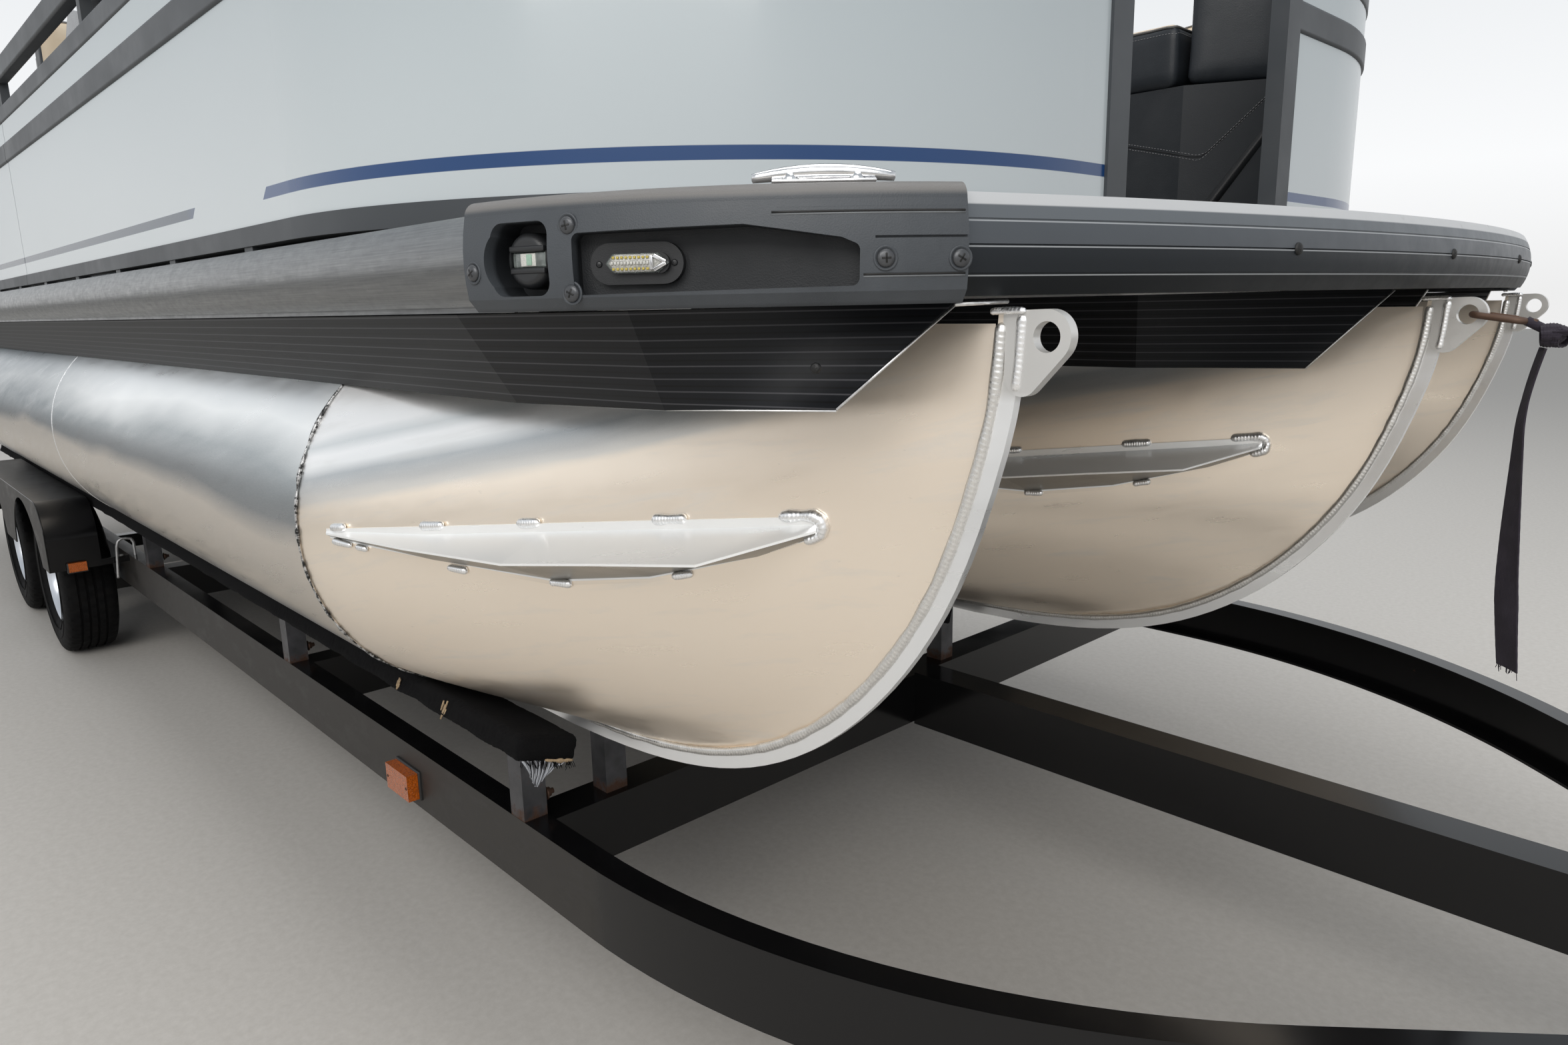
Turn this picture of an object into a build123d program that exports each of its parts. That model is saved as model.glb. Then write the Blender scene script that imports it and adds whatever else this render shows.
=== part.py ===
"""Three-tube pontoon boat on its tandem road trailer, in millimetres.

Frame: +X to the bow and the coupler, +Y to port, +Z up, ground at z = 0.
Lengths along the boat are given from SEAM, the weld seam behind the outer nose cones.
"""

import os
from math import asin, cos, degrees, pi, radians, sin, sqrt, tan

from build123d import *

os.makedirs("parts", exist_ok=True)

# Places of the boat along X
SEAM = 1630.0
DECK_AFT = SEAM - 6060.0
TUBE_AFT = SEAM - 5900.0

# Tubes and nose cones
TUBE_R = 317.5
TUBE_Y = 962.0
TUBE_Z = 930.0
CENTER_LEAD = 105.0
NOSE_TAPER = 1.3
KEEL_THICK = 10.0
KEEL_DEEP = 20.0
KEEL_IN = 8.0
STEM_TOP = 1257.0
EYE_X = 1152.7
EYE_Z = 1233.5
EYE_HOLE_R = 14.5
EYE_R = 25.5
EYE_TOE = (1126.0, 1196.0, 19.0)
EYE_THICK = 12.0

# Deck and its frame
DECK_TOP = 1365.5
DECK_THICK = 19.5
FRAME_LOW = 1272.0
FRAME_PITCH = 406.0
SEAT_GAP = 0.3

# Bow edge: front arc and corner arc of the deck's outer edge
BOW_X = 1261.0
BOW_R = 3396.0
BUMPER_THICK = 30.0
CORNER_X = 630.0
RAIL_OUT = 1295.0
CORNER_Y = RAIL_OUT - 529.0
CORNER_R = 543.0
CORNER_FROM = -82.6
CORNER_TO = -29.0
CAP_THICK = 46.0
CAP_LOW = 1266.0
CAP_TOP = 1373.0
# the deck ends where the corner caps begin
DECK_HALF = CORNER_Y + (CORNER_R - CAP_THICK) * sin(radians(-CORNER_FROM))
SKIRT_TOP = CAP_LOW - 0.5

# Fence
FENCE_OUT = RAIL_OUT - 30.0
FENCE_DEEP = 32.0
FENCE_FRONT = 885.0
FENCE_STRAIGHT = 465.0
FENCE_R = FENCE_OUT - FENCE_STRAIGHT
RAIL_ROUND = 6.0
FENCE_AFT = -5330.0
BASE_LOW = 1375.0
BASE_TOP = 1405.0
PANEL_TOP = 1733.0
BAND_LOW = 1787.0
BAND_TOP = 1842.0
UPPER_TOP = 1886.0
TOP_LOW = 1950.0
FENCE_TOP = 2003.0
GATE_STARBOARD = 345.0
GATE_PORT = 200.0
POST_WIDE = 55.0
JOINT_X = -2250.0
SIDE_GATE_FORE = -1400.0
SIDE_GATE_AFT = -2100.0
STERN_GATE_HALF = 330.0
LEAF_GAP = 10.0

# Trailer
TRAILER_TOP = 424.0
CHANNEL_HIGH = 127.0
CHANNEL_WIDE = 45.0
CHANNEL_WALL = 6.0
TRAILER_HALF = 1045.0
TRAILER_AFT = -5000.0
BEND_X = 400.0
BEND_R = 1430.0
BEND_TURN = 42.0
BEAM_WIDE = 76.0
COUPLER_X = 3560.0
AXLE_X = (-3050.0, -3895.0)
TYRE_R = 295.0
TYRE_WIDE = 178.0
TYRE_OUT = 1245.0
RIM_R = 172.0
SPINDLE_R = 22.0
RUN_FIT = 0.05

# Motor
TILT_X = -6290.0
TILT_PIN_R = 16.0
STEER_R = 27.0
PROP_SHAFT_R = 12.0
TILT_Z = 1330.0
STEER_X = -6360.0
PROP_Z = 590.0


def slab(x0, x1, y0, y1, z0, z1, mode=Mode.ADD):
    """A box between two corners, in the part that is being built."""
    with Locations(((x0 + x1) / 2, (y0 + y1) / 2, (z0 + z1) / 2)):
        Box(abs(x1 - x0), abs(y1 - y0), abs(z1 - z0), mode=mode)


def finish_part(part, label):
    """Names a piece and writes its file."""
    part.label = label
    export_step(part, f"parts/{label}.step")


# Nose cone: stations forward of the seam and how far the keel line has risen there
STEM = ((120.0, 0.0), (273.0, 1.0), (515.0, 18.0), (705.0, 65.0), (840.0, 138.0), (945.0, 234.0),
        (1025.0, 349.0), (1078.0, 480.0), (1100.0, 568.0), (1106.0, 635.5))
STEM_POWER = 0.4


def stem_reach(z):
    """Station where the keel line stands at a height, on a smooth curve through its table."""
    rise = max(0.0, z - TUBE_Z + TUBE_R) ** STEM_POWER
    table = [(h**STEM_POWER, x) for x, h in STEM]
    slopes = [(b[1] - a[1]) / (b[0] - a[0]) for a, b in zip(table, table[1:])]
    for n in range(len(slopes)):
        if rise <= table[n + 1][0] or n == len(slopes) - 1:
            break
    (q0, x0), (q1, x1) = table[n], table[n + 1]
    start = (slopes[max(0, n - 1)] + slopes[n]) / 2
    end = (slopes[min(len(slopes) - 1, n + 1)] + slopes[n]) / 2
    wide = q1 - q0
    t = min(1.0, max(0.0, (rise - q0) / wide))
    return ((1 + 2 * t) * (1 - t) ** 2 * x0 + t * (1 - t) ** 2 * wide * start
            + t**2 * (3 - 2 * t) * x1 - t**2 * (1 - t) * wide * end)


def stem_height(x):
    """Height of the keel line at a station."""
    low, high = TUBE_Z - TUBE_R, TUBE_Z + TUBE_R
    if x <= STEM[0][0]:
        return low
    for _ in range(40):
        middle = (low + high) / 2
        if stem_reach(middle) < x:
            low = middle
        else:
            high = middle
    return low


def nose_half(x, z):
    """Half breadth of a nose cone at a station and a height."""
    round_half = sqrt(max(0.0, TUBE_R**2 - (z - TUBE_Z) ** 2))
    share = max(0.0, x) / stem_reach(z)
    if share >= 1.0:
        return 0.0
    return round_half * (1.0 - share**NOSE_TAPER) ** NOSE_TAPER


NOSE_STATIONS = (-6.0, 130.0, 270.0, 400.0, 515.0, 620.0, 705.0, 780.0, 840.0, 895.0, 945.0, 990.0, 1025.0, 1055.0,
                 1078.0, 1092.0)
NOSE_POINTS = 10
NOSE_SHARE = 0.994


def build_nose(y, seam):
    """Nose cone lofted through its sections, each from the keel line up to the top, set just inside the tube."""
    top = TUBE_Z + TUBE_R
    sections = []
    for x in NOSE_STATIONS:
        low = stem_height(x)
        heights = [low + (top - low) * (1 - cos(pi * k / NOSE_POINTS)) / 2 for k in range(1, NOSE_POINTS)]
        profile = [(0.0, low)] + [(nose_half(x, z), z) for z in heights] + [(0.0, top)]
        starboard = [(y - NOSE_SHARE * half, TUBE_Z + NOSE_SHARE * (z - TUBE_Z)) for half, z in profile]
        port = [(2 * y - a, z) for a, z in reversed(starboard)]
        with BuildSketch(Plane.YZ.offset(seam + x)) as section:
            with BuildLine():
                Spline(*starboard)
                Spline(*port)
            make_face()
        sections.append(section.sketch)
    loft(sections)


def stem_line(seam, outward):
    """Points of the keel line moved outward, in the upright plane along the boat."""
    points = []
    for k in range(2, len(STEM) + 1):
        x, z = (STEM[k][0], TUBE_Z - TUBE_R + STEM[k][1]) if k < len(STEM) else (STEM[-1][0] + 1.0, STEM_TOP)
        before = (STEM[k - 1][0], TUBE_Z - TUBE_R + STEM[k - 1][1])
        after = (STEM[k + 1][0], TUBE_Z - TUBE_R + STEM[k + 1][1]) if k < len(STEM) - 1 else (x + 1.0, z + 10.0)
        long = sqrt((after[0] - before[0]) ** 2 + (after[1] - before[1]) ** 2)
        points.append((seam + x + outward * (after[1] - before[1]) / long,
                       z - outward * (after[0] - before[0]) / long))
    return points


def add_keel(y, seam):
    """Keel strip along the bottom and up the stem, and the bow eye."""
    low = TUBE_Z - TUBE_R
    outer = stem_line(seam, KEEL_DEEP)
    inner = stem_line(seam, -KEEL_IN)
    start = seam + STEM[1][0]
    with BuildSketch(Plane.XZ.offset(-y - KEEL_THICK / 2)) as strip:
        with BuildLine():
            Line((TUBE_AFT + 40, low - KEEL_DEEP), (start, low - KEEL_DEEP))
            Spline((start, low - KEEL_DEEP), *outer)
            Line(outer[-1], inner[-1])
            Spline(*reversed(inner), (start, low + KEEL_IN))
            Polyline((start, low + KEEL_IN), (TUBE_AFT + 40, low + KEEL_IN), (TUBE_AFT + 40, low - KEEL_DEEP))
        make_face()
    extrude(strip.sketch, amount=KEEL_THICK)
    with BuildSketch(Plane.XZ.offset(-y - EYE_THICK / 2)) as plate:
        with Locations((seam + EYE_X, EYE_Z)):
            Circle(EYE_R)
        with Locations((seam + EYE_TOE[0], EYE_TOE[1])):
            Circle(EYE_TOE[2])
        with Locations((seam + STEM[-1][0] + 6, EYE_Z + EYE_R - 6)):
            Circle(5)
        make_hull()
    extrude(plate.sketch, amount=EYE_THICK)
    with BuildSketch(Plane.XZ.offset(-y - EYE_THICK)) as hole:
        with Locations((seam + EYE_X, EYE_Z)):
            Circle(EYE_HOLE_R)
    extrude(hole.sketch, amount=2 * EYE_THICK, mode=Mode.SUBTRACT)


# Strakes: station, height of the upper weld, how far and at what height the edge stands out, lower weld
STRAKE = ((90.0, 948.0, 4.0, 940.0, 931.0), (300.0, 970.0, 39.0, 944.0, 917.0), (505.0, 992.0, 72.0, 949.0, 910.0),
          (650.0, 1007.5, 83.0, 966.0, 931.0), (803.0, 1024.0, 93.0, 983.0, 976.0),
          (885.0, 1033.0, 5.0, 1016.0, 1009.0))
STRAKE_SHEET = 3.0
STRAKE_LIP = 11.0
STRAKE_IN = 9.0


def add_strake(y, seam, side):
    """A folded lifting strake on one side of a nose cone: a lip on the shell, a sloping plate and its return."""
    sections = []
    for x, high, reach, edge, low in STRAKE:
        lip = min(STRAKE_LIP, (high - edge) / 2)
        top = nose_half(x, high)
        outer = nose_half(x, edge) + reach
        half = min(STRAKE_SHEET, edge - low) / 2
        points = ((top - STRAKE_IN, high), (top + STRAKE_SHEET, high),
                  (nose_half(x, high - lip) + STRAKE_SHEET, high - lip),
                  (outer, edge + half), (outer, edge - half), (nose_half(x, low) - STRAKE_IN, low))
        with BuildSketch(Plane.YZ.offset(seam + x)) as section:
            with BuildLine():
                Polyline(*((y + side * max(0.5, out), z) for out, z in points), close=True)
            make_face()
        sections.append(section.sketch)
    loft(sections, ruled=True)


TUBES = (("tube_starboard", -TUBE_Y, SEAM), ("tube_center", 0.0, SEAM + CENTER_LEAD), ("tube_port", TUBE_Y, SEAM))
for label, tube_y, tube_seam in TUBES:
    with BuildPart() as tube:
        build_nose(tube_y, tube_seam)
        with BuildSketch(Plane.YZ.offset(TUBE_AFT)):
            with Locations((tube_y, TUBE_Z)):
                Circle(TUBE_R)
        extrude(amount=tube_seam - TUBE_AFT)
        add_keel(tube_y, tube_seam)
        add_strake(tube_y, tube_seam, -1)
        add_strake(tube_y, tube_seam, 1)
    finish_part(tube.part, label)

# Cross members and risers
CROSS_COUNT = 17
with BuildPart() as cross_members:
    for n in range(CROSS_COUNT):
        x = DECK_AFT + 60 + n * FRAME_PITCH
        slab(x, x + 50, -DECK_HALF + 12, DECK_HALF - 12, FRAME_LOW, DECK_TOP - DECK_THICK)
        slab(x + 5, x + 51, -DECK_HALF + 12, DECK_HALF - 12, FRAME_LOW + 5, DECK_TOP - DECK_THICK - 5,
             mode=Mode.SUBTRACT)
        if TUBE_AFT < x < SEAM + 500:
            for y in (-TUBE_Y, 0.0, TUBE_Y):
                slab(x, x + 50, y - 60, y + 60, TUBE_Z + TUBE_R + SEAT_GAP, FRAME_LOW)
finish_part(cross_members.part, "cross_members")


def corner_point(radius, turn):
    """Point of the starboard bow corner at a radius and a turn."""
    return SEAM + CORNER_X + radius * cos(radians(turn)), -CORNER_Y + radius * sin(radians(turn))


def deck_outline():
    """Plan of the deck, inside the bumper, the corner caps and the rub rails."""
    radius = CORNER_R - CAP_THICK - SEAT_GAP
    front_r = BOW_R - BUMPER_THICK - SEAT_GAP
    front_center = SEAM + BOW_X - BOW_R
    start = corner_point(radius, CORNER_FROM)
    middle = corner_point(radius, (CORNER_FROM + CORNER_TO) / 2)
    end = corner_point(radius, CORNER_TO)
    front = (front_center + sqrt(front_r**2 - end[1] ** 2), end[1])
    with BuildLine() as outline:
        Polyline((start[0], -start[1]), (DECK_AFT, -start[1]), (DECK_AFT, start[1]), start)
        ThreePointArc(start, middle, end)
        Line(end, front)
        ThreePointArc(front, (front_center + front_r, 0.0), (front[0], -front[1]))
        Line((front[0], -front[1]), (end[0], -end[1]))
        ThreePointArc((end[0], -end[1]), (middle[0], -middle[1]), (start[0], -start[1]))
    make_face(outline.edges())


with BuildPart() as deck:
    with BuildSketch(Plane.XY.offset(DECK_TOP - DECK_THICK)):
        deck_outline()
    extrude(amount=DECK_THICK)
finish_part(deck.part, "deck")

# Side rub rails: rounded aluminium extrusions
with BuildPart() as rub_rails:
    for side in (-1, 1):
        with BuildSketch(Plane.YZ.offset(DECK_AFT)):
            with BuildLine():
                Polyline((side * (DECK_HALF - 8), SKIRT_TOP), (side * (DECK_HALF - 4), SKIRT_TOP),
                         (side * (DECK_HALF - 4), FRAME_LOW), (side * (DECK_HALF + 12), FRAME_LOW))
                ThreePointArc((side * (DECK_HALF + 12), FRAME_LOW), (side * RAIL_OUT, FRAME_LOW + 48),
                              (side * (DECK_HALF + 14), DECK_TOP))
                Polyline((side * (DECK_HALF + 14), DECK_TOP), (side * DECK_HALF, DECK_TOP),
                         (side * DECK_HALF, FRAME_LOW + 12), (side * (DECK_HALF - 8), FRAME_LOW + 12),
                         (side * (DECK_HALF - 8), SKIRT_TOP))
            make_face()
        extrude(amount=SEAM + CORNER_X + (CORNER_R - CAP_THICK) * cos(radians(CORNER_FROM)) - 1 - DECK_AFT)
finish_part(rub_rails.part, "rub_rails")

def cap_plane(turn, side=-1):
    """Upright plane through a corner's centre, local x outwards and local y up."""
    a = radians(turn)
    return Plane(origin=(SEAM + CORNER_X, side * CORNER_Y, 0), x_dir=(cos(a), -side * sin(a), 0),
                 z_dir=(-side * sin(a), -cos(a), 0))


# Front bumper: a grooved extrusion along the front arc, cut where the caps begin
BUMPER_TURN = degrees(asin((CORNER_Y + CORNER_R * sin(radians(-CORNER_TO))) / BOW_R)) + 1.0
bumper_start = Plane(
    origin=(SEAM + BOW_X - BOW_R, 0, 0),
    x_dir=(cos(radians(-BUMPER_TURN)), sin(radians(-BUMPER_TURN)), 0),
    z_dir=(sin(radians(-BUMPER_TURN)), -cos(radians(-BUMPER_TURN)), 0),
)
bumper_axis = Axis((SEAM + BOW_X - BOW_R, 0, 0), (0, 0, 1))
with BuildPart() as bumper_bow:
    with BuildSketch(bumper_start):
        with BuildLine():
            Polyline((BOW_R - BUMPER_THICK, FRAME_LOW), (BOW_R - 12, FRAME_LOW))
            ThreePointArc((BOW_R - 12, FRAME_LOW), (BOW_R, (FRAME_LOW + DECK_TOP) / 2), (BOW_R - 14, DECK_TOP))
            Polyline((BOW_R - 14, DECK_TOP), (BOW_R - BUMPER_THICK, DECK_TOP), (BOW_R - BUMPER_THICK, FRAME_LOW))
        make_face()
        for z in (1341.0, 1318.0, 1292.0):
            with Locations((BOW_R - 1.0, z)):
                Rectangle(7.0, 1.6, mode=Mode.SUBTRACT)
    revolve(axis=bumper_axis, revolution_arc=2 * BUMPER_TURN)
    split(bisect_by=cap_plane(CORNER_TO), keep=Keep.BOTTOM)
    split(bisect_by=cap_plane(CORNER_TO, side=1), keep=Keep.TOP)
finish_part(bumper_bow.part, "bumper_bow")

# Corner caps: moulded blocks with a lamp pocket and a long pocket
POCKET_DEEP = 34.0
LAMP_TURN = -74.6
LONG_TURN = -53.5
cap_axis = Axis((SEAM + CORNER_X, -CORNER_Y, 0), (0, 0, 1))


def cap_face(turn, out):
    """Upright plane that faces out of the cap at a turn, local x to the bow and local y up."""
    a = radians(turn)
    return Plane(origin=(*corner_point(out, turn), 0.0), x_dir=(-sin(a), cos(a), 0), z_dir=(cos(a), sin(a), 0))


# grooves at the cap's front end: height, and the turn where each begins
CAP_GROOVES = ((1352.0, -47.0), (1324.6, -38.0), (1296.0, -38.0))
with BuildPart() as cap:
    with BuildSketch(cap_plane(CORNER_FROM)):
        with BuildLine():
            Polyline((CORNER_R - CAP_THICK, CAP_LOW), (CORNER_R - 6, CAP_LOW), (CORNER_R + 4, CAP_LOW + 12))
            ThreePointArc((CORNER_R + 4, CAP_LOW + 12), (CORNER_R + 7, CAP_LOW + 58), (CORNER_R + 2, CAP_TOP - 15))
            ThreePointArc((CORNER_R + 2, CAP_TOP - 15), (CORNER_R - 3, CAP_TOP - 4), (CORNER_R - 14, CAP_TOP))
            Polyline((CORNER_R - 14, CAP_TOP), (CORNER_R - CAP_THICK, CAP_TOP), (CORNER_R - CAP_THICK, CAP_LOW))
        make_face()
    revolve(axis=cap_axis, revolution_arc=CORNER_TO - CORNER_FROM)
    with BuildSketch(cap_face(LAMP_TURN, CORNER_R - POCKET_DEEP)):
        with Locations((3, 1315)):
            RectangleRounded(74, 69, 14)
        with Locations((-12, 1314)):
            RectangleRounded(64, 62, 30)
    extrude(amount=POCKET_DEEP + 20, mode=Mode.SUBTRACT)
    with BuildSketch(cap_face(LONG_TURN, CORNER_R - POCKET_DEEP)) as long_pocket:
        with BuildLine():
            Polyline((-133, 1280), (133, 1283), (134, 1318), (118, 1325), (32, 1338), (-133, 1336), close=True)
        make_face()
        fillet(long_pocket.vertices(), 7.0)
    extrude(amount=POCKET_DEEP + 20, mode=Mode.SUBTRACT)
    for z, groove_from in CAP_GROOVES:
        with BuildSketch(cap_plane(groove_from)):
            with Locations((CORNER_R + 7, z)):
                Rectangle(7.0, 2.2)
        revolve(axis=cap_axis, revolution_arc=CORNER_TO - groove_from, mode=Mode.SUBTRACT)
with BuildPart() as corner_caps:
    add(cap.part)
    mirror(cap.part, about=Plane.XZ)
finish_part(corner_caps.part, "bow_corner_caps")

# Bow lamps on the floors of the pockets: a round lamp with a brow and a slim lamp in an oval bezel
with BuildPart() as lamp:
    with BuildSketch(cap_face(LAMP_TURN, CORNER_R - POCKET_DEEP + SEAT_GAP)):
        with Locations((0, 1314)):
            Circle(27)
    extrude(amount=27)
    fillet(lamp.edges().filter_by(GeomType.CIRCLE).sort_by(Axis.Y)[0], 8)
    with BuildSketch(cap_face(LAMP_TURN, CORNER_R - POCKET_DEEP + 18)):
        with Locations((2, 1315)):
            Rectangle(44, 15)
    extrude(amount=20, mode=Mode.SUBTRACT)
    with BuildSketch(cap_face(LONG_TURN, CORNER_R - POCKET_DEEP + SEAT_GAP)):
        with Locations((-76, 1308)):
            SlotOverall(90, 38)
    extrude(amount=9)
    with BuildSketch(cap_face(LONG_TURN, CORNER_R - POCKET_DEEP + 9)):
        with Locations((-73, 1308)):
            SlotOverall(60, 19)
    extrude(amount=6)
with BuildPart() as bow_lamps:
    add(lamp.part)
    mirror(lamp.part, about=Plane.XZ)
finish_part(bow_lamps.part, "bow_lamps")

# Cleats: a rounded bar on two short posts and a base plate
# place, turn about the vertical, height of the seat
BOW_CLEAT_TURN = -42.5
cleat_x, cleat_y = corner_point(CORNER_R - 28.0, BOW_CLEAT_TURN)
CLEATS = ((cleat_x, -cleat_y, BOW_CLEAT_TURN + 90.0, CAP_TOP + SEAT_GAP),
          (DECK_AFT + 160.0, RAIL_OUT - 70.0, 0.0, DECK_TOP))
CLEAT_LONG = 165.0
with BuildPart() as cleats:
    for x, y, turn, seat in CLEATS:
        for side in (-1, 1):
            base = Plane(Location((x, side * y, seat), (0, 0, -side * turn)))
            with BuildSketch(base):
                SlotOverall(96, 26)
            extrude(amount=3)
            with BuildSketch(base):
                with Locations((-30, 0), (30, 0)):
                    Circle(8)
            extrude(amount=14)
            with BuildSketch(base.offset(11)) as bar:
                SlotOverall(CLEAT_LONG, 15)
            extrude(bar.sketch, amount=9)
finish_part(cleats.part, "cleats")

# Ribbed skirts between the deck's edge and the outer tubes
SKIRT_THICK = 3.0
SKIRT_RIBS = 10
RIB_DEEP = 1.6
# sections: upper edge x, y, z and lower edge x, y, z, on the starboard side
SKIRT_EDGE = RAIL_OUT - 43.0
SKIRT_FOOT = TUBE_Y + 222.0
OUTER_SKIRT = ((DECK_AFT + 10.0, SKIRT_EDGE, SKIRT_TOP, DECK_AFT + 10.0, SKIRT_FOOT, 1160.0),
               (SEAM + 560.0, SKIRT_EDGE, SKIRT_TOP, SEAM + 560.0, SKIRT_FOOT, 1160.0),
               (SEAM + 830.0, SKIRT_EDGE - 47.0, SKIRT_TOP, SEAM + 815.0, 1154.0, 1163.0),
               (SEAM + 1062.0, 985.0, SKIRT_TOP, SEAM + 1005.0, 1095.0, 1168.0))
CENTER_SKIRT = ((SEAM + 430.0, 300.0, FRAME_LOW - SEAT_GAP, SEAM + 430.0, 290.0, 1158.0),
                (SEAM + 870.0, 262.0, FRAME_LOW - SEAT_GAP, SEAM + 870.0, 258.0, 1158.0),
                (SEAM + 1178.0, 80.0, FRAME_LOW - SEAT_GAP, SEAM + 1093.0, 166.0, 1158.0))


def add_skirt(skirt_sections):
    """A ribbed skirt along its upper and lower edges."""
    faces = []
    for top_x, top_y, top_z, low_x, low_y, low_z in skirt_sections:
        down = Vector(low_x - top_x, top_y - low_y, low_z - top_z)
        length = down.length
        out = down.normalized().cross(Vector(1, 0, 0)) * -1
        plane = Plane(origin=(top_x, -top_y, top_z), x_dir=down, z_dir=down.cross(out))
        step = length / SKIRT_RIBS
        points = [(0.0, 0.0)]
        for n in range(SKIRT_RIBS):
            points += [(n * step + 0.3 * step, RIB_DEEP), (n * step + 0.7 * step, RIB_DEEP), ((n + 1) * step, 0.0)]
        with BuildSketch(plane) as section:
            with BuildLine():
                Polyline(*points, (length, -SKIRT_THICK), (0.0, -SKIRT_THICK), close=True)
            make_face()
        faces.append(section.sketch)
    loft(faces, ruled=True)


with BuildPart() as skirt:
    add_skirt(OUTER_SKIRT)
    add_skirt(CENTER_SKIRT)
with BuildPart() as skirts:
    add(skirt.part)
    mirror(skirt.part, about=Plane.XZ)
finish_part(skirts.part, "deck_skirts")

# Fence: bands that follow the deck's edge, straight, round the bow corner and across
def bow_band(side, aft_x, gate_y, out, thick):
    """Plan of a fence piece from a side joint round the bow corner to the gate."""
    inner = out + thick
    center = FENCE_FRONT - FENCE_R
    straight = FENCE_OUT - FENCE_R
    outer_r = FENCE_R - out
    inner_r = FENCE_R - inner
    half = sin(radians(45))
    with BuildLine() as outline:
        Line((SEAM + aft_x, side * (FENCE_OUT - out)), (SEAM + center, side * (FENCE_OUT - out)))
        ThreePointArc((SEAM + center, side * (FENCE_OUT - out)),
                      (SEAM + center + outer_r * half, side * (straight + outer_r * half)),
                      (SEAM + center + outer_r, side * straight))
        Polyline((SEAM + center + outer_r, side * straight), (SEAM + center + outer_r, side * gate_y),
                 (SEAM + center + inner_r, side * gate_y), (SEAM + center + inner_r, side * straight))
        ThreePointArc((SEAM + center + inner_r, side * straight),
                      (SEAM + center + inner_r * half, side * (straight + inner_r * half)),
                      (SEAM + center, side * (FENCE_OUT - inner)))
        Polyline((SEAM + center, side * (FENCE_OUT - inner)), (SEAM + aft_x, side * (FENCE_OUT - inner)),
                 (SEAM + aft_x, side * (FENCE_OUT - out)))
    make_face(outline.edges())


def stern_band(side, fore_x, gate_y, out, thick):
    """Plan of a fence piece from a side joint round the stern corner to the gate."""
    inner = out + thick
    with BuildLine() as outline:
        Polyline((SEAM + fore_x, side * (FENCE_OUT - out)), (SEAM + FENCE_AFT + out, side * (FENCE_OUT - out)),
                 (SEAM + FENCE_AFT + out, side * gate_y), (SEAM + FENCE_AFT + inner, side * gate_y),
                 (SEAM + FENCE_AFT + inner, side * (FENCE_OUT - inner)),
                 (SEAM + fore_x, side * (FENCE_OUT - inner)), close=True)
    make_face(outline.edges())


# side, name, end of the bow piece, start of the stern piece, gate post
FENCES = ((-1, "starboard", JOINT_X + 2, JOINT_X - 2, GATE_STARBOARD),
          (1, "port", SIDE_GATE_FORE, SIDE_GATE_AFT, GATE_PORT))
# rails: low, high, set back from the outer face
RAILS = ((PANEL_TOP, BAND_LOW, 0.0), (BAND_TOP, UPPER_TOP, 2.0), (TOP_LOW, FENCE_TOP, 0.0))
PANEL_SET = 5.0
PANEL_THICK = 3.0
for side, name, bow_end, stern_end, gate_y in FENCES:
    with BuildPart() as rails:
        for low, high, back in RAILS:
            with BuildSketch(Plane.XY.offset(low)) as band:
                bow_band(side, bow_end, gate_y, back, FENCE_DEEP - back)
                stern_band(side, stern_end, STERN_GATE_HALF, back, FENCE_DEEP - back)
            with BuildPart(mode=Mode.PRIVATE) as rail:
                extrude(band.sketch, amount=high - low)
                fillet(rail.edges().filter_by_position(Axis.Z, low - 0.1, low + 0.1)
                       + rail.edges().filter_by_position(Axis.Z, high - 0.1, high + 0.1), RAIL_ROUND)
            add(rail.part)
        # posts
        front_x = SEAM + FENCE_FRONT
        slab(front_x - FENCE_DEEP, front_x, side * gate_y, side * (gate_y + POST_WIDE), DECK_TOP, FENCE_TOP)
        for x in (bow_end, (bow_end + FENCE_FRONT - FENCE_R) / 2, FENCE_FRONT - FENCE_R - 30):
            slab(SEAM + x, SEAM + x + 30, side * (FENCE_OUT - FENCE_DEEP), side * (FENCE_OUT - 9), BASE_TOP, FENCE_TOP)
        for x in (stern_end, (stern_end + FENCE_AFT) / 2, FENCE_AFT + FENCE_DEEP + 30):
            slab(SEAM + x - 30, SEAM + x, side * (FENCE_OUT - FENCE_DEEP), side * (FENCE_OUT - 9), BASE_TOP, FENCE_TOP)
        aft_x = SEAM + FENCE_AFT
        slab(aft_x, aft_x + FENCE_DEEP, side * STERN_GATE_HALF, side * (STERN_GATE_HALF + 40), DECK_TOP, FENCE_TOP)
    finish_part(rails.part, f"fence_rails_{name}")
    with BuildPart() as panels:
        with BuildSketch(Plane.XY.offset(BASE_TOP)):
            bow_band(side, bow_end + 1, gate_y + POST_WIDE, PANEL_SET, PANEL_THICK)
            stern_band(side, stern_end - 1, STERN_GATE_HALF + 40, PANEL_SET, PANEL_THICK)
        extrude(amount=PANEL_TOP - BASE_TOP)
        with BuildSketch(Plane.XY.offset(BAND_LOW)):
            bow_band(side, bow_end + 1, gate_y + POST_WIDE, PANEL_SET, PANEL_THICK)
            stern_band(side, stern_end - 1, STERN_GATE_HALF + 40, PANEL_SET, PANEL_THICK)
        extrude(amount=BAND_TOP - BAND_LOW)
    finish_part(panels.part, f"fence_panels_{name}")

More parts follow.
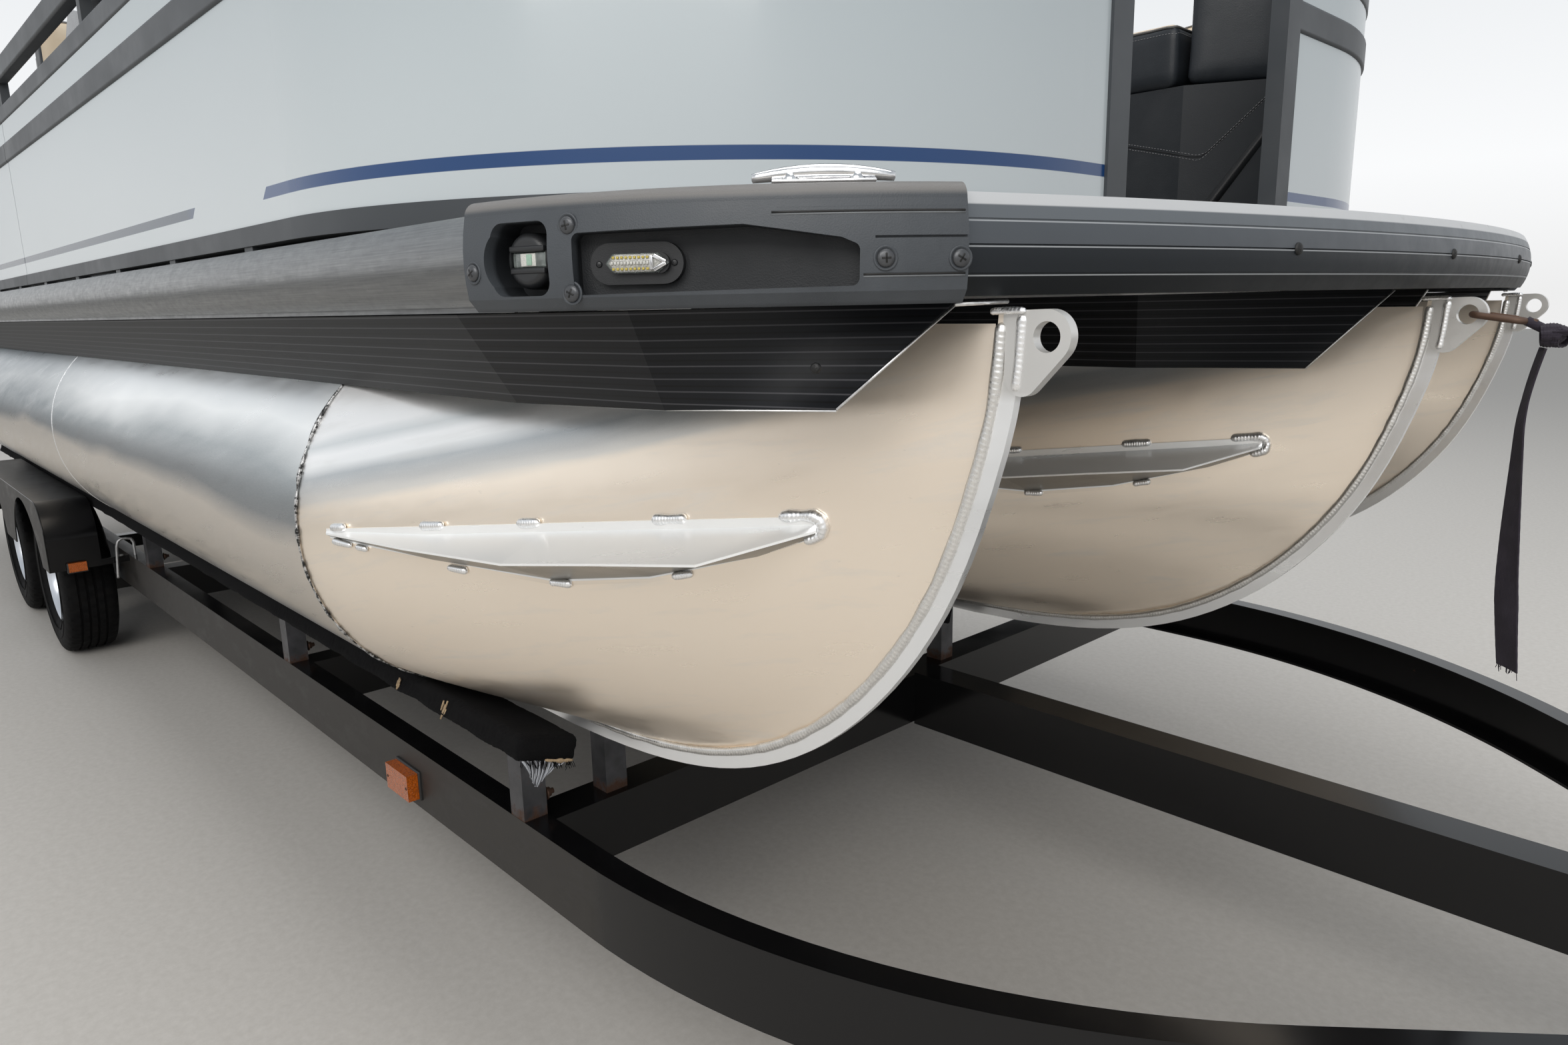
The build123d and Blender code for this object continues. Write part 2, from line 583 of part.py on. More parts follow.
with BuildPart() as base_rails:
    for side, name, bow_end, stern_end, gate_y in FENCES:
        with BuildSketch(Plane.XY.offset(BASE_LOW)):
            bow_band(side, bow_end, gate_y + POST_WIDE, 2.0, FENCE_DEEP - 2.0)
            stern_band(side, stern_end, STERN_GATE_HALF + 40, 2.0, FENCE_DEEP - 2.0)
        extrude(amount=BASE_TOP - BASE_LOW)
        for n in range(12):
            x = SEAM + FENCE_AFT + 120 + n * 460
            inside_gate = SIDE_GATE_AFT - 20 < x - SEAM < SIDE_GATE_FORE + 20
            if not (side > 0 and inside_gate):
                slab(x, x + 40, side * (FENCE_OUT - FENCE_DEEP), side * (FENCE_OUT - 6), DECK_TOP, BASE_LOW)
finish_part(base_rails.part, "fence_base_rails")


# Gates: a framed leaf hung on one post
def gate_leaf(x0, x1, y0, y1):
    """Leaf between two plan corners: frame tubes, a panel and a band."""
    slab(x0, x1, y0, y1, BASE_LOW + 6, FENCE_TOP - 4)
    along_x = abs(x1 - x0) > abs(y1 - y0)
    rim = 30.0
    for low, high in ((BASE_TOP, PANEL_TOP), (BAND_LOW, BAND_TOP), (UPPER_TOP, TOP_LOW)):
        keep = 0.0 if low == UPPER_TOP else PANEL_THICK
        if along_x:
            middle = (y0 + y1) / 2
            slab(x0 + rim, x1 - rim, y0, middle - keep / 2, low, high, mode=Mode.SUBTRACT)
            slab(x0 + rim, x1 - rim, middle + keep / 2, y1, low, high, mode=Mode.SUBTRACT)
        else:
            middle = (x0 + x1) / 2
            slab(x0, middle - keep / 2, y0 + rim, y1 - rim, low, high, mode=Mode.SUBTRACT)
            slab(middle + keep / 2, x1, y0 + rim, y1 - rim, low, high, mode=Mode.SUBTRACT)


# Hinges: pins on plates of the posts, running in knuckles of the leaves
HINGE_PIN_R = 5.0
KNUCKLE_R = 9.0
KNUCKLE_HIGH = 30.0
HINGE_OFF = 14.0
LEAF_OFF = 12.0
HINGE_Z = (1470.0, 1900.0)
PLATE_HIGH = 4.0


def add_knuckles(axis_x, axis_y, leaf_x, leaf_y):
    """Knuckles at a hinge axis, joined to the leaf's near corner."""
    for z in HINGE_Z:
        low = z + SEAT_GAP
        slab(min(axis_x, leaf_x), max(axis_x, leaf_x), min(axis_y, leaf_y), max(axis_y, leaf_y), low,
             low + KNUCKLE_HIGH)
        with Locations((axis_x, axis_y, low + KNUCKLE_HIGH / 2)):
            Cylinder(KNUCKLE_R, KNUCKLE_HIGH)
            Cylinder(HINGE_PIN_R + RUN_FIT, KNUCKLE_HIGH, mode=Mode.SUBTRACT)


GATE_THICK = 25.0
GATE_SET = 3.0
bow_post_x = SEAM + FENCE_FRONT - FENCE_DEEP
bow_hinge = (bow_post_x - HINGE_OFF, -GATE_STARBOARD - LEAF_OFF)
BOW_GATE_LONG = GATE_STARBOARD + GATE_PORT - 2 * LEAF_GAP
with BuildPart() as gate_bow:
    gate_leaf(bow_hinge[0] - BOW_GATE_LONG, bow_hinge[0] - LEAF_OFF, bow_hinge[1] - GATE_THICK, bow_hinge[1])
    add_knuckles(*bow_hinge, bow_hinge[0] - LEAF_OFF - 4, bow_hinge[1] - KNUCKLE_R)
finish_part(gate_bow.part, "gate_bow")

side_hinge = (SEAM + SIDE_GATE_AFT + HINGE_OFF, FENCE_OUT - GATE_SET - GATE_THICK - KNUCKLE_R)
with BuildPart() as gate_side:
    gate_leaf(side_hinge[0] + LEAF_OFF, SEAM + SIDE_GATE_FORE - LEAF_GAP,
              FENCE_OUT - GATE_THICK - GATE_SET, FENCE_OUT - GATE_SET)
    add_knuckles(*side_hinge, side_hinge[0] + LEAF_OFF + 4, side_hinge[1] + KNUCKLE_R + 4)
finish_part(gate_side.part, "gate_side")

stern_hinge = (SEAM + FENCE_AFT + GATE_SET + GATE_THICK + KNUCKLE_R, -STERN_GATE_HALF + HINGE_OFF)
with BuildPart() as gate_stern:
    gate_leaf(SEAM + FENCE_AFT + GATE_SET, SEAM + FENCE_AFT + GATE_SET + GATE_THICK,
              stern_hinge[1] + LEAF_OFF, STERN_GATE_HALF - LEAF_GAP)
    add_knuckles(*stern_hinge, stern_hinge[0] - KNUCKLE_R - 4, stern_hinge[1] + LEAF_OFF + 4)
finish_part(gate_stern.part, "gate_stern")

# plates: axis, far corner on the post
HINGE_PLATES = ((bow_hinge, (bow_post_x, bow_hinge[1] - 5)),
                (side_hinge, (SEAM + SIDE_GATE_AFT, FENCE_OUT - FENCE_DEEP + 12)),
                (stern_hinge, (SEAM + FENCE_AFT + FENCE_DEEP - 12, -STERN_GATE_HALF)))
with BuildPart() as gate_hinges:
    for (axis_x, axis_y), (far_x, far_y) in HINGE_PLATES:
        for z in HINGE_Z:
            with Locations((axis_x, axis_y, z - PLATE_HIGH / 2)):
                Cylinder(HINGE_PIN_R + 1.5, PLATE_HIGH)
            with Locations((axis_x, axis_y, z + KNUCKLE_HIGH / 2)):
                Cylinder(HINGE_PIN_R, KNUCKLE_HIGH)
            slab(min(axis_x, far_x), max(axis_x, far_x), min(axis_y, far_y), max(axis_y, far_y), z - PLATE_HIGH, z)
finish_part(gate_hinges.part, "gate_hinges")

# Lounges: bases, seat cushions and backs, on both sides
SEAT_BASE_TOP = 1735.0
SEAT_TOP = 1875.0
BACK_TOP = 1990.0
INSIDE = FENCE_OUT - FENCE_DEEP - 20.0
# side, aft end, fore end of the seat, inner edge
LOUNGES = ((1, -1280.0, 510.0, 560.0), (-1, -1280.0, 510.0, 600.0))
# the end piece ahead of a seat: fore end, and how far its inner corner stands outboard
END_FORE = 700.0
END_IN = 95.0


def lounge_plan(side, aft, fore, inner, clear, width=0.0, nose=0.0):
    """Plan of a lounge piece that follows the fence at a clearance, to an inner edge or of a set width."""
    center = FENCE_FRONT - FENCE_R
    straight = FENCE_STRAIGHT
    radius = FENCE_R - FENCE_DEEP - clear
    reach = straight + sqrt(radius**2 - (fore - center) ** 2)
    turn = asin((fore - center) / radius) / 2
    with BuildLine() as outline:
        Line((SEAM + aft, side * (straight + radius)), (SEAM + center, side * (straight + radius)))
        ThreePointArc((SEAM + center, side * (straight + radius)),
                      (SEAM + center + radius * sin(turn), side * (straight + radius * cos(turn))),
                      (SEAM + fore, side * reach))
        if width:
            within = radius - width
            back = straight + sqrt(within**2 - (fore - center) ** 2)
            turn = asin((fore - center) / within) / 2
            Line((SEAM + fore, side * reach), (SEAM + fore, side * back))
            ThreePointArc((SEAM + fore, side * back),
                          (SEAM + center + within * sin(turn), side * (straight + within * cos(turn))),
                          (SEAM + center, side * (straight + within)))
            Polyline((SEAM + center, side * (straight + within)), (SEAM + aft, side * (straight + within)),
                     (SEAM + aft, side * (straight + radius)))
        else:
            inner_points = [(SEAM + fore, side * (inner + nose))]
            if nose:
                inner_points.append((SEAM + LOUNGES[0][2] + END_GAP, side * inner))
            inner_points.append((SEAM + aft, side * inner))
            Polyline((SEAM + fore, side * reach), *inner_points, (SEAM + aft, side * (straight + radius)))
    make_face(outline.edges())


def end_plan(side, aft, fore, inner, clear):
    """Plan of a lounge's end piece, between the seat and the front of the fence."""
    center = FENCE_FRONT - FENCE_R
    radius = FENCE_R - FENCE_DEEP - clear
    ends = [FENCE_STRAIGHT + sqrt(radius**2 - (x - center) ** 2) for x in (aft, (aft + fore) / 2, fore)]
    with BuildLine() as outline:
        ThreePointArc((SEAM + aft, side * ends[0]), (SEAM + (aft + fore) / 2, side * ends[1]),
                      (SEAM + fore, side * ends[2]))
        Polyline((SEAM + fore, side * ends[2]), (SEAM + fore, side * (inner + END_IN)),
                 (SEAM + aft, side * inner), (SEAM + aft, side * ends[0]))
    make_face(outline.edges())


BACK_THICK = 150.0
BACK_GAP = 10.0
END_GAP = 10.0
FOOT_DEEP = 50.0
FOOT_HIGH = 90.0
STERN_AFT = FENCE_AFT + FENCE_DEEP + 20.0
STERN_FORE = STERN_AFT + 680.0
STERN_SIDE_FORE = STERN_FORE + 900.0
STERN_WIDE = 620.0
STERN_INNER = STERN_GATE_HALF + 60.0
stern_back_x = SEAM + STERN_AFT + 5 + BACK_THICK
with BuildPart() as lounge_bases:
    for side, aft, fore, inner in LOUNGES:
        with BuildSketch(Plane.XY.offset(DECK_TOP)):
            lounge_plan(side, aft, END_FORE, inner, 20.0, nose=END_IN)
        extrude(amount=SEAT_BASE_TOP - DECK_TOP)
        slab(SEAM + aft + 30, SEAM + fore - 30, side * (inner - 1), side * (inner + FOOT_DEEP), DECK_TOP,
             DECK_TOP + FOOT_HIGH, mode=Mode.SUBTRACT)
    for side in (-1, 1):
        slab(SEAM + STERN_AFT, SEAM + STERN_FORE, side * STERN_INNER, side * INSIDE, DECK_TOP, SEAT_BASE_TOP)
    slab(SEAM + STERN_FORE, SEAM + STERN_SIDE_FORE, INSIDE - STERN_WIDE, INSIDE, DECK_TOP, SEAT_BASE_TOP)
finish_part(lounge_bases.part, "lounge_bases")
with BuildPart() as lounge_seats:
    for side, aft, fore, inner in LOUNGES:
        with BuildSketch(Plane.XY.offset(SEAT_BASE_TOP)):
            lounge_plan(side, aft + 10, fore, inner - 15, 20.0 + BACK_GAP + BACK_THICK)
        extrude(amount=SEAT_TOP - SEAT_BASE_TOP)
    seat_side = INSIDE - BACK_THICK - BACK_GAP
    slab(stern_back_x + BACK_GAP, SEAM + STERN_FORE + 10, STERN_INNER, seat_side, SEAT_BASE_TOP, SEAT_TOP)
    slab(stern_back_x + BACK_GAP, SEAM + STERN_FORE + 10, -STERN_INNER, -INSIDE + 10, SEAT_BASE_TOP, SEAT_TOP)
    slab(SEAM + STERN_FORE + 20, SEAM + STERN_SIDE_FORE - 10, INSIDE - STERN_WIDE - 10, seat_side, SEAT_BASE_TOP,
         SEAT_TOP)
finish_part(lounge_seats.part, "lounge_seats")
with BuildPart() as lounge_backs:
    for side, aft, fore, inner in LOUNGES:
        with BuildSketch(Plane.XY.offset(SEAT_BASE_TOP)):
            lounge_plan(side, aft + 10, fore, inner, 20.0, width=BACK_THICK)
        extrude(amount=BACK_TOP - SEAT_BASE_TOP)
        with BuildSketch(Plane.XY.offset(SEAT_BASE_TOP)):
            end_plan(side, fore + END_GAP, END_FORE, inner, 20.0)
        extrude(amount=BACK_TOP + 10 - SEAT_BASE_TOP)
    slab(SEAM + STERN_AFT + 5, stern_back_x, STERN_INNER, seat_side - 5, SEAT_BASE_TOP, BACK_TOP)
    slab(SEAM + STERN_AFT + 5, stern_back_x, -STERN_INNER, -INSIDE + 10, SEAT_BASE_TOP, BACK_TOP)
    slab(SEAM + STERN_AFT + 5, SEAM + STERN_SIDE_FORE - 10, INSIDE - BACK_THICK - 5, INSIDE, SEAT_BASE_TOP, BACK_TOP)
finish_part(lounge_backs.part, "lounge_backs")

# Helm console, windscreen, steering wheel and chair
HELM_X = SEAM - 2150.0
HELM_Y = 505.0 - FENCE_OUT
WHEEL_TILT = 35.0
WHEEL_STUB_R = 12.0
wheel_center = (HELM_X - 175.0, HELM_Y + 40.0, 1985.0)
wheel_plane = Plane(origin=wheel_center, x_dir=(0, 1, 0),
                    z_dir=(-cos(radians(WHEEL_TILT)), 0, sin(radians(WHEEL_TILT))))
with BuildPart() as console:
    with BuildSketch(Plane.XZ.offset(-HELM_Y - 330)):
        with BuildLine():
            Polyline((HELM_X - 120, DECK_TOP), (HELM_X + 330, DECK_TOP), (HELM_X + 360, 2080), (HELM_X + 120, 2140),
                     (HELM_X - 80, 1990), (HELM_X - 110, 1800), close=True)
        make_face()
    extrude(amount=660)
    fillet(console.edges().filter_by(Axis.Y).group_by(Axis.Z)[-1], 25)
    with BuildSketch(wheel_plane.offset(-150)):
        Circle(WHEEL_STUB_R)
    extrude(amount=146)
finish_part(console.part, "helm_console")

with BuildPart() as windscreen:
    with BuildSketch(Plane.XZ.offset(-HELM_Y - 300)):
        with BuildLine():
            Polyline((HELM_X + 335, 2087), (HELM_X + 341, 2086), (HELM_X + 221, 2330), (HELM_X + 215, 2330),
                     close=True)
        make_face()
    extrude(amount=600)
finish_part(windscreen.part, "windscreen")

with BuildPart() as steering_wheel:
    with BuildSketch(Plane(origin=wheel_center, x_dir=wheel_plane.x_dir, z_dir=wheel_plane.y_dir)):
        with Locations((175, 0)):
            Circle(14)
    revolve(axis=Axis(wheel_center, wheel_plane.z_dir), revolution_arc=360)
    with BuildSketch(wheel_plane.offset(-8)):
        Circle(38)
        with PolarLocations(0, 3):
            with Locations((88, 0)):
                Rectangle(160, 26)
    extrude(amount=14)
    with BuildSketch(wheel_plane.offset(-45)):
        Circle(22)
    extrude(amount=45)
    with BuildSketch(wheel_plane.offset(-46)):
        Circle(WHEEL_STUB_R + RUN_FIT)
    extrude(amount=43, mode=Mode.SUBTRACT)
finish_part(steering_wheel.part, "steering_wheel")

CHAIR_X = SEAM - 2960.0
with BuildPart() as chair_pedestal:
    with BuildSketch(Plane.XY.offset(DECK_TOP)):
        with Locations((CHAIR_X, HELM_Y)):
            Circle(150)
    extrude(amount=14)
    with BuildSketch(Plane.XY.offset(DECK_TOP)):
        with Locations((CHAIR_X, HELM_Y)):
            Circle(38)
    extrude(amount=330)
    with BuildSketch(Plane.XY.offset(DECK_TOP + 330)):
        with Locations((CHAIR_X, HELM_Y)):
            Circle(20)
    extrude(amount=22)
finish_part(chair_pedestal.part, "chair_pedestal")
with BuildPart() as chair_shell:
    slab(CHAIR_X - 200, CHAIR_X + 200, HELM_Y - 200, HELM_Y + 200, DECK_TOP + 331, DECK_TOP + 356)
    slab(CHAIR_X - 250, CHAIR_X - 200, HELM_Y - 230, HELM_Y + 230, DECK_TOP + 331, DECK_TOP + 860)
    with BuildSketch(Plane.XY.offset(DECK_TOP + 330)):
        with Locations((CHAIR_X, HELM_Y)):
            Circle(20 + RUN_FIT)
    extrude(amount=27, mode=Mode.SUBTRACT)
    for side in (-1, 1):
        slab(CHAIR_X - 250, CHAIR_X + 160, HELM_Y + side * 270, HELM_Y + side * 325, DECK_TOP + 600, DECK_TOP + 650)
        slab(CHAIR_X - 250, CHAIR_X - 200, HELM_Y + side * 225, HELM_Y + side * 325, DECK_TOP + 600, DECK_TOP + 650)
finish_part(chair_shell.part, "chair_shell")
with BuildPart() as chair_cushions:
    slab(CHAIR_X - 190, CHAIR_X + 260, HELM_Y - 255, HELM_Y + 255, DECK_TOP + 356, DECK_TOP + 480)
    slab(CHAIR_X - 200, CHAIR_X - 80, HELM_Y - 250, HELM_Y + 250, DECK_TOP + 484, DECK_TOP + 980)
finish_part(chair_cushions.part, "chair_cushions")

# Stern: motor pod and boarding ladder
POD_AFT = SEAM - 6200.0
with BuildPart() as motor_pod:
    with BuildSketch(Plane.XZ.offset(-300)):
        with BuildLine():
            Polyline((TUBE_AFT - 1, 700), (POD_AFT, 840), (POD_AFT, 1262), (POD_AFT + 90, 1262), (POD_AFT + 90, FRAME_LOW),
                     (TUBE_AFT - 1, FRAME_LOW), close=True)
        make_face()
    extrude(amount=600)
    slab(POD_AFT, POD_AFT + 60, -260, 260, 1200, 1290)
finish_part(motor_pod.part, "motor_pod")

# Ladder, folded up on its bracket
LADDER_Y = -720.0
LADDER_HALF = 160.0
LADDER_PIN_R = 8.0
ladder_hinge = (DECK_AFT - 28.0, LADDER_Y, DECK_TOP - 30.0)
with BuildPart() as ladder_bracket:
    for side in (-1, 1):
        slab(DECK_AFT - 45, DECK_AFT, LADDER_Y + side * (LADDER_HALF + 22), LADDER_Y + side * (LADDER_HALF + 30),
             ladder_hinge[2] - 25, DECK_TOP)
    with Locations(Location(ladder_hinge, (90, 0, 0))):
        Cylinder(LADDER_PIN_R, 2 * LADDER_HALF + 50)
finish_part(ladder_bracket.part, "ladder_bracket")
with BuildPart() as ladder:
    for side in (-1, 1):
        with Locations(Location((ladder_hinge[0], LADDER_Y + side * LADDER_HALF, ladder_hinge[2] + 310))):
            Cylinder(14, 620)
    for n in range(4):
        with Locations(Location((ladder_hinge[0], LADDER_Y, ladder_hinge[2] + 60 + n * 170), (90, 0, 0))):
            Cylinder(11, 2 * LADDER_HALF)
    with Locations(Location(ladder_hinge, (90, 0, 0))):
        Cylinder(16, 2 * LADDER_HALF + 32)
        Cylinder(LADDER_PIN_R + RUN_FIT, 2 * LADDER_HALF + 60, mode=Mode.SUBTRACT)
finish_part(ladder.part, "boarding_ladder")

# Outboard motor: bracket, swivel, steered leg with cowl, propeller
with BuildPart() as motor_bracket:
    for side in (-1, 1):
        slab(POD_AFT - 120, POD_AFT, side * 95, side * 120, 1050, 1370)
    slab(POD_AFT - 20, POD_AFT, -120, 120, 1050, 1180)
    with Locations(Location((SEAM + TILT_X, 0, TILT_Z), (90, 0, 0))):
        Cylinder(TILT_PIN_R, 200)
finish_part(motor_bracket.part, "motor_bracket")
with BuildPart() as motor_swivel:
    slab(SEAM + STEER_X - 50, SEAM + TILT_X + 35, -85, 85, 1290, 1370)
    slab(SEAM + STEER_X - 50, SEAM + STEER_X + 50, -60, 60, 960, 1290)
    with BuildSketch(Plane.XY.offset(900)):
        with Locations((SEAM + STEER_X, 0)):
            Circle(STEER_R)
    extrude(amount=600, mode=Mode.SUBTRACT)
    with Locations(Location((SEAM + TILT_X, 0, TILT_Z), (90, 0, 0))):
        Cylinder(TILT_PIN_R + RUN_FIT, 200, mode=Mode.SUBTRACT)
finish_part(motor_swivel.part, "motor_swivel")
gear_aft = SEAM + STEER_X - 250.0
with BuildPart() as motor_leg:
    with BuildSketch(Plane.XY.offset(880)):
        with Locations((SEAM + STEER_X, 0)):
            Circle(STEER_R - RUN_FIT)
    extrude(amount=520)
    slab(SEAM + STEER_X - 230, SEAM + STEER_X + 60, -70, 70, 1385, 1440)
    slab(SEAM + STEER_X - 230, SEAM + STEER_X - 105, -60, 60, 900, 1440)
    slab(SEAM + STEER_X - 230, SEAM + STEER_X + 50, -50, 50, 850, 940)
    slab(SEAM + STEER_X - 230, SEAM + STEER_X - 20, -22, 22, PROP_Z - 260, 860)
    slab(SEAM + STEER_X - 330, SEAM + STEER_X + 60, -130, 130, PROP_Z + 195, PROP_Z + 205)
    with Locations(Location((gear_aft + 190, 0, PROP_Z), (0, 90, 0))):
        Cylinder(52, 380)
    with Locations(Location((gear_aft - 45, 0, PROP_Z), (0, 90, 0))):
        Cylinder(PROP_SHAFT_R, 100)
finish_part(motor_leg.part, "motor_leg")
# cowl sections: height, middle, length, breadth, corner radius
COWL = ((1440.0, -150.0, 420.0, 310.0, 90.0), (1560.0, -160.0, 520.0, 360.0, 100.0),
        (1760.0, -165.0, 590.0, 390.0, 110.0), (1900.0, -175.0, 540.0, 350.0, 100.0),
        (1965.0, -185.0, 400.0, 250.0, 80.0))
with BuildPart() as motor_cowl:
    cowl_sections = []
    for z, middle, long, wide, corner in COWL:
        with BuildSketch(Plane.XY.offset(z)) as section:
            with Locations((SEAM + STEER_X + middle, 0)):
                RectangleRounded(long, wide, corner)
        cowl_sections.append(section.sketch)
    loft(cowl_sections)
finish_part(motor_cowl.part, "motor_cowl")
prop_center = (gear_aft - 54.0, 0.0, PROP_Z)
with BuildPart() as propeller:
    with Locations(Location(prop_center, (0, 90, 0))):
        Cylinder(50, 96)
    for n in range(3):
        with Locations(Location(prop_center, (120.0 * n, 0, 0))):
            with Locations(Location((0, 0, 105), (0, 0, 28))):
                Box(95, 9, 130)
    with Locations(Location(prop_center, (0, 90, 0))):
        Cylinder(PROP_SHAFT_R + RUN_FIT, 100, mode=Mode.SUBTRACT)
finish_part(propeller.part, "propeller")

# Trailer frame: swept channels, centre beam, cross members
BEND_SIN = sin(radians(BEND_TURN))
BEND_COS = cos(radians(BEND_TURN))


def rail_plan(side, inset, wide):
    """Plan of a main rail: straight, bent in, straight to the centre beam."""
    outer = TRAILER_HALF - inset
    outer_r = BEND_R - inset
    inner = outer - wide
    inner_r = outer_r - wide
    center_y = TRAILER_HALF - BEND_R
    half = radians(BEND_TURN / 2)
    run = (center_y + outer_r * BEND_COS - BEAM_WIDE / 2) / BEND_SIN
    run_in = (center_y + inner_r * BEND_COS - BEAM_WIDE / 2) / BEND_SIN
    with BuildLine() as outline:
        Line((SEAM + TRAILER_AFT, side * outer), (SEAM + BEND_X, side * outer))
        ThreePointArc((SEAM + BEND_X, side * outer),
                      (SEAM + BEND_X + outer_r * sin(half), side * (center_y + outer_r * cos(half))),
                      (SEAM + BEND_X + outer_r * BEND_SIN, side * (center_y + outer_r * BEND_COS)))
        Polyline((SEAM + BEND_X + outer_r * BEND_SIN, side * (center_y + outer_r * BEND_COS)),
                 (SEAM + BEND_X + outer_r * BEND_SIN + run * BEND_COS, side * BEAM_WIDE / 2),
                 (SEAM + BEND_X + inner_r * BEND_SIN + run_in * BEND_COS, side * BEAM_WIDE / 2),
                 (SEAM + BEND_X + inner_r * BEND_SIN, side * (center_y + inner_r * BEND_COS)))
        ThreePointArc((SEAM + BEND_X + inner_r * BEND_SIN, side * (center_y + inner_r * BEND_COS)),
                      (SEAM + BEND_X + inner_r * sin(half), side * (center_y + inner_r * cos(half))),
                      (SEAM + BEND_X, side * inner))
        Polyline((SEAM + BEND_X, side * inner), (SEAM + TRAILER_AFT, side * inner),
                 (SEAM + TRAILER_AFT, side * outer))
    make_face(outline.edges())


with BuildPart() as trailer_rails:
    for side in (-1, 1):
        with BuildSketch(Plane.XY.offset(TRAILER_TOP - CHANNEL_HIGH)):
            rail_plan(side, 0.0, CHANNEL_WALL)
        extrude(amount=CHANNEL_HIGH)
        for z in (TRAILER_TOP - CHANNEL_WALL, TRAILER_TOP - CHANNEL_HIGH):
            with BuildSketch(Plane.XY.offset(z)):
                rail_plan(side, 0.0, CHANNEL_WIDE)
            extrude(amount=CHANNEL_WALL)
finish_part(trailer_rails.part, "trailer_rails")

BEAM_AFT = SEAM + 240.0
with BuildPart() as trailer_beam:
    slab(BEAM_AFT, SEAM + COUPLER_X - 190, -BEAM_WIDE / 2, BEAM_WIDE / 2, TRAILER_TOP - CHANNEL_HIGH, TRAILER_TOP)
finish_part(trailer_beam.part, "trailer_beam")

# cross members: place, kept under the rails' inner faces
CROSS_PLACES = (240.0, -900.0, -2300.0, -4900.0)
CROSS_WIDE = 76.0
with BuildPart() as trailer_cross:
    for x in CROSS_PLACES:
        slab(SEAM + x - CROSS_WIDE, SEAM + x, -TRAILER_HALF + CHANNEL_WALL, TRAILER_HALF - CHANNEL_WALL,
             TRAILER_TOP - CHANNEL_HIGH + CHANNEL_WALL, TRAILER_TOP - CHANNEL_WALL)
finish_part(trailer_cross.part, "trailer_crossmembers")

# Axles: square tubes under the rails with drop plates and spindles
AXLE_LOW = 215.0
AXLE_HIGH = 275.0
PLATE_THICK = 12.0
SPINDLE_LONG = 150.0
with BuildPart() as axles:
    for x in AXLE_X:
        slab(SEAM + x - 30, SEAM + x + 30, -TRAILER_HALF - PLATE_THICK, TRAILER_HALF + PLATE_THICK, AXLE_LOW,
             AXLE_HIGH)
        for side in (-1, 1):
            slab(SEAM + x - 60, SEAM + x + 60, side * (TRAILER_HALF - CHANNEL_WIDE), side * TRAILER_HALF, AXLE_HIGH,
                 TRAILER_TOP - CHANNEL_HIGH)
            slab(SEAM + x - 45, SEAM + x + 45, side * (TRAILER_HALF + 1), side * (TRAILER_HALF + PLATE_THICK),
                 AXLE_LOW, TYRE_R + 45)
            middle = side * (TRAILER_HALF + 1 + SPINDLE_LONG / 2)
            with Locations(Location((SEAM + x, middle, TYRE_R), (90, 0, 0))):
                Cylinder(SPINDLE_R, SPINDLE_LONG)
finish_part(axles.part, "trailer_axles")

# Bunks: carpeted boards in pairs under each tube, on short brackets
BUNK_HIGH = 42.0
BUNK_WIDE = 108.0
BUNK_OFF = 104.0
BUNK_ROUND = 8.0
BUNK_AFT = -5000.0
BUNK_FORE = 362.0
BRACKET_WIDE = 44.0
bunk_turn = asin(BUNK_OFF / (TUBE_R + SEAT_GAP + BUNK_HIGH / 2))
bunk_z = TUBE_Z - (TUBE_R + SEAT_GAP + BUNK_HIGH / 2) * cos(bunk_turn)
bunk_under = TUBE_R + SEAT_GAP + BUNK_HIGH
with BuildPart() as bunks:
    for tube_y in (-TUBE_Y, 0.0, TUBE_Y):
        for side in (-1, 1):
            middle = SEAM + (BUNK_AFT + BUNK_FORE) / 2
            with Locations(Location((middle, tube_y + side * BUNK_OFF, bunk_z), (side * degrees(bunk_turn), 0, 0))):
                Box(BUNK_FORE - BUNK_AFT, BUNK_WIDE, BUNK_HIGH)
    fillet(bunks.edges().filter_by(Axis.X), BUNK_ROUND)
finish_part(bunks.part, "bunk_boards")
with BuildPart() as bunk_brackets:
    for x in CROSS_PLACES:
        for tube_y in (-TUBE_Y, 0.0, TUBE_Y):
            for side in (-1, 1):
                # the outer boards stand on the rails, the others on the cross members
                place = tube_y + side * BUNK_OFF
                on_rail = abs(place) > TRAILER_HALF - CHANNEL_WIDE
                middle = side * (TRAILER_HALF - CHANNEL_WIDE / 2) if on_rail else place
                low = TRAILER_TOP if on_rail else TRAILER_TOP - CHANNEL_WALL
                face_y = tube_y + side * bunk_under * sin(bunk_turn)
                face_z = TUBE_Z - bunk_under * cos(bunk_turn)
                tops = [(y, face_z + (y - face_y) * side * tan(bunk_turn))
                        for y in (middle - BRACKET_WIDE / 2, middle + BRACKET_WIDE / 2)]
                with BuildSketch(Plane.YZ.offset(SEAM + x - 60)) as post:
                    with BuildLine():
                        Polyline((tops[0][0], low), tops[0], tops[1], (tops[1][0], low), close=True)
                    make_face()
                extrude(post.sketch, amount=BRACKET_WIDE)
finish_part(bunk_brackets.part, "bunk_brackets")

# Fenders: sheet over both wheels of a side, rounded down at both ends, with a side cut round the wheels
FENDER_IN = 1132.0
FENDER_OUT = 1290.0
FENDER_TOP = 640.0
FENDER_LOW = 400.0
FENDER_WALL = 4.0
FENDER_ROUND = 130.0
WHEEL_OPENING_R = 322.0
fender_fore = SEAM + AXLE_X[0] + TYRE_R + 140.0
fender_aft = SEAM + AXLE_X[1] - TYRE_R - 140.0


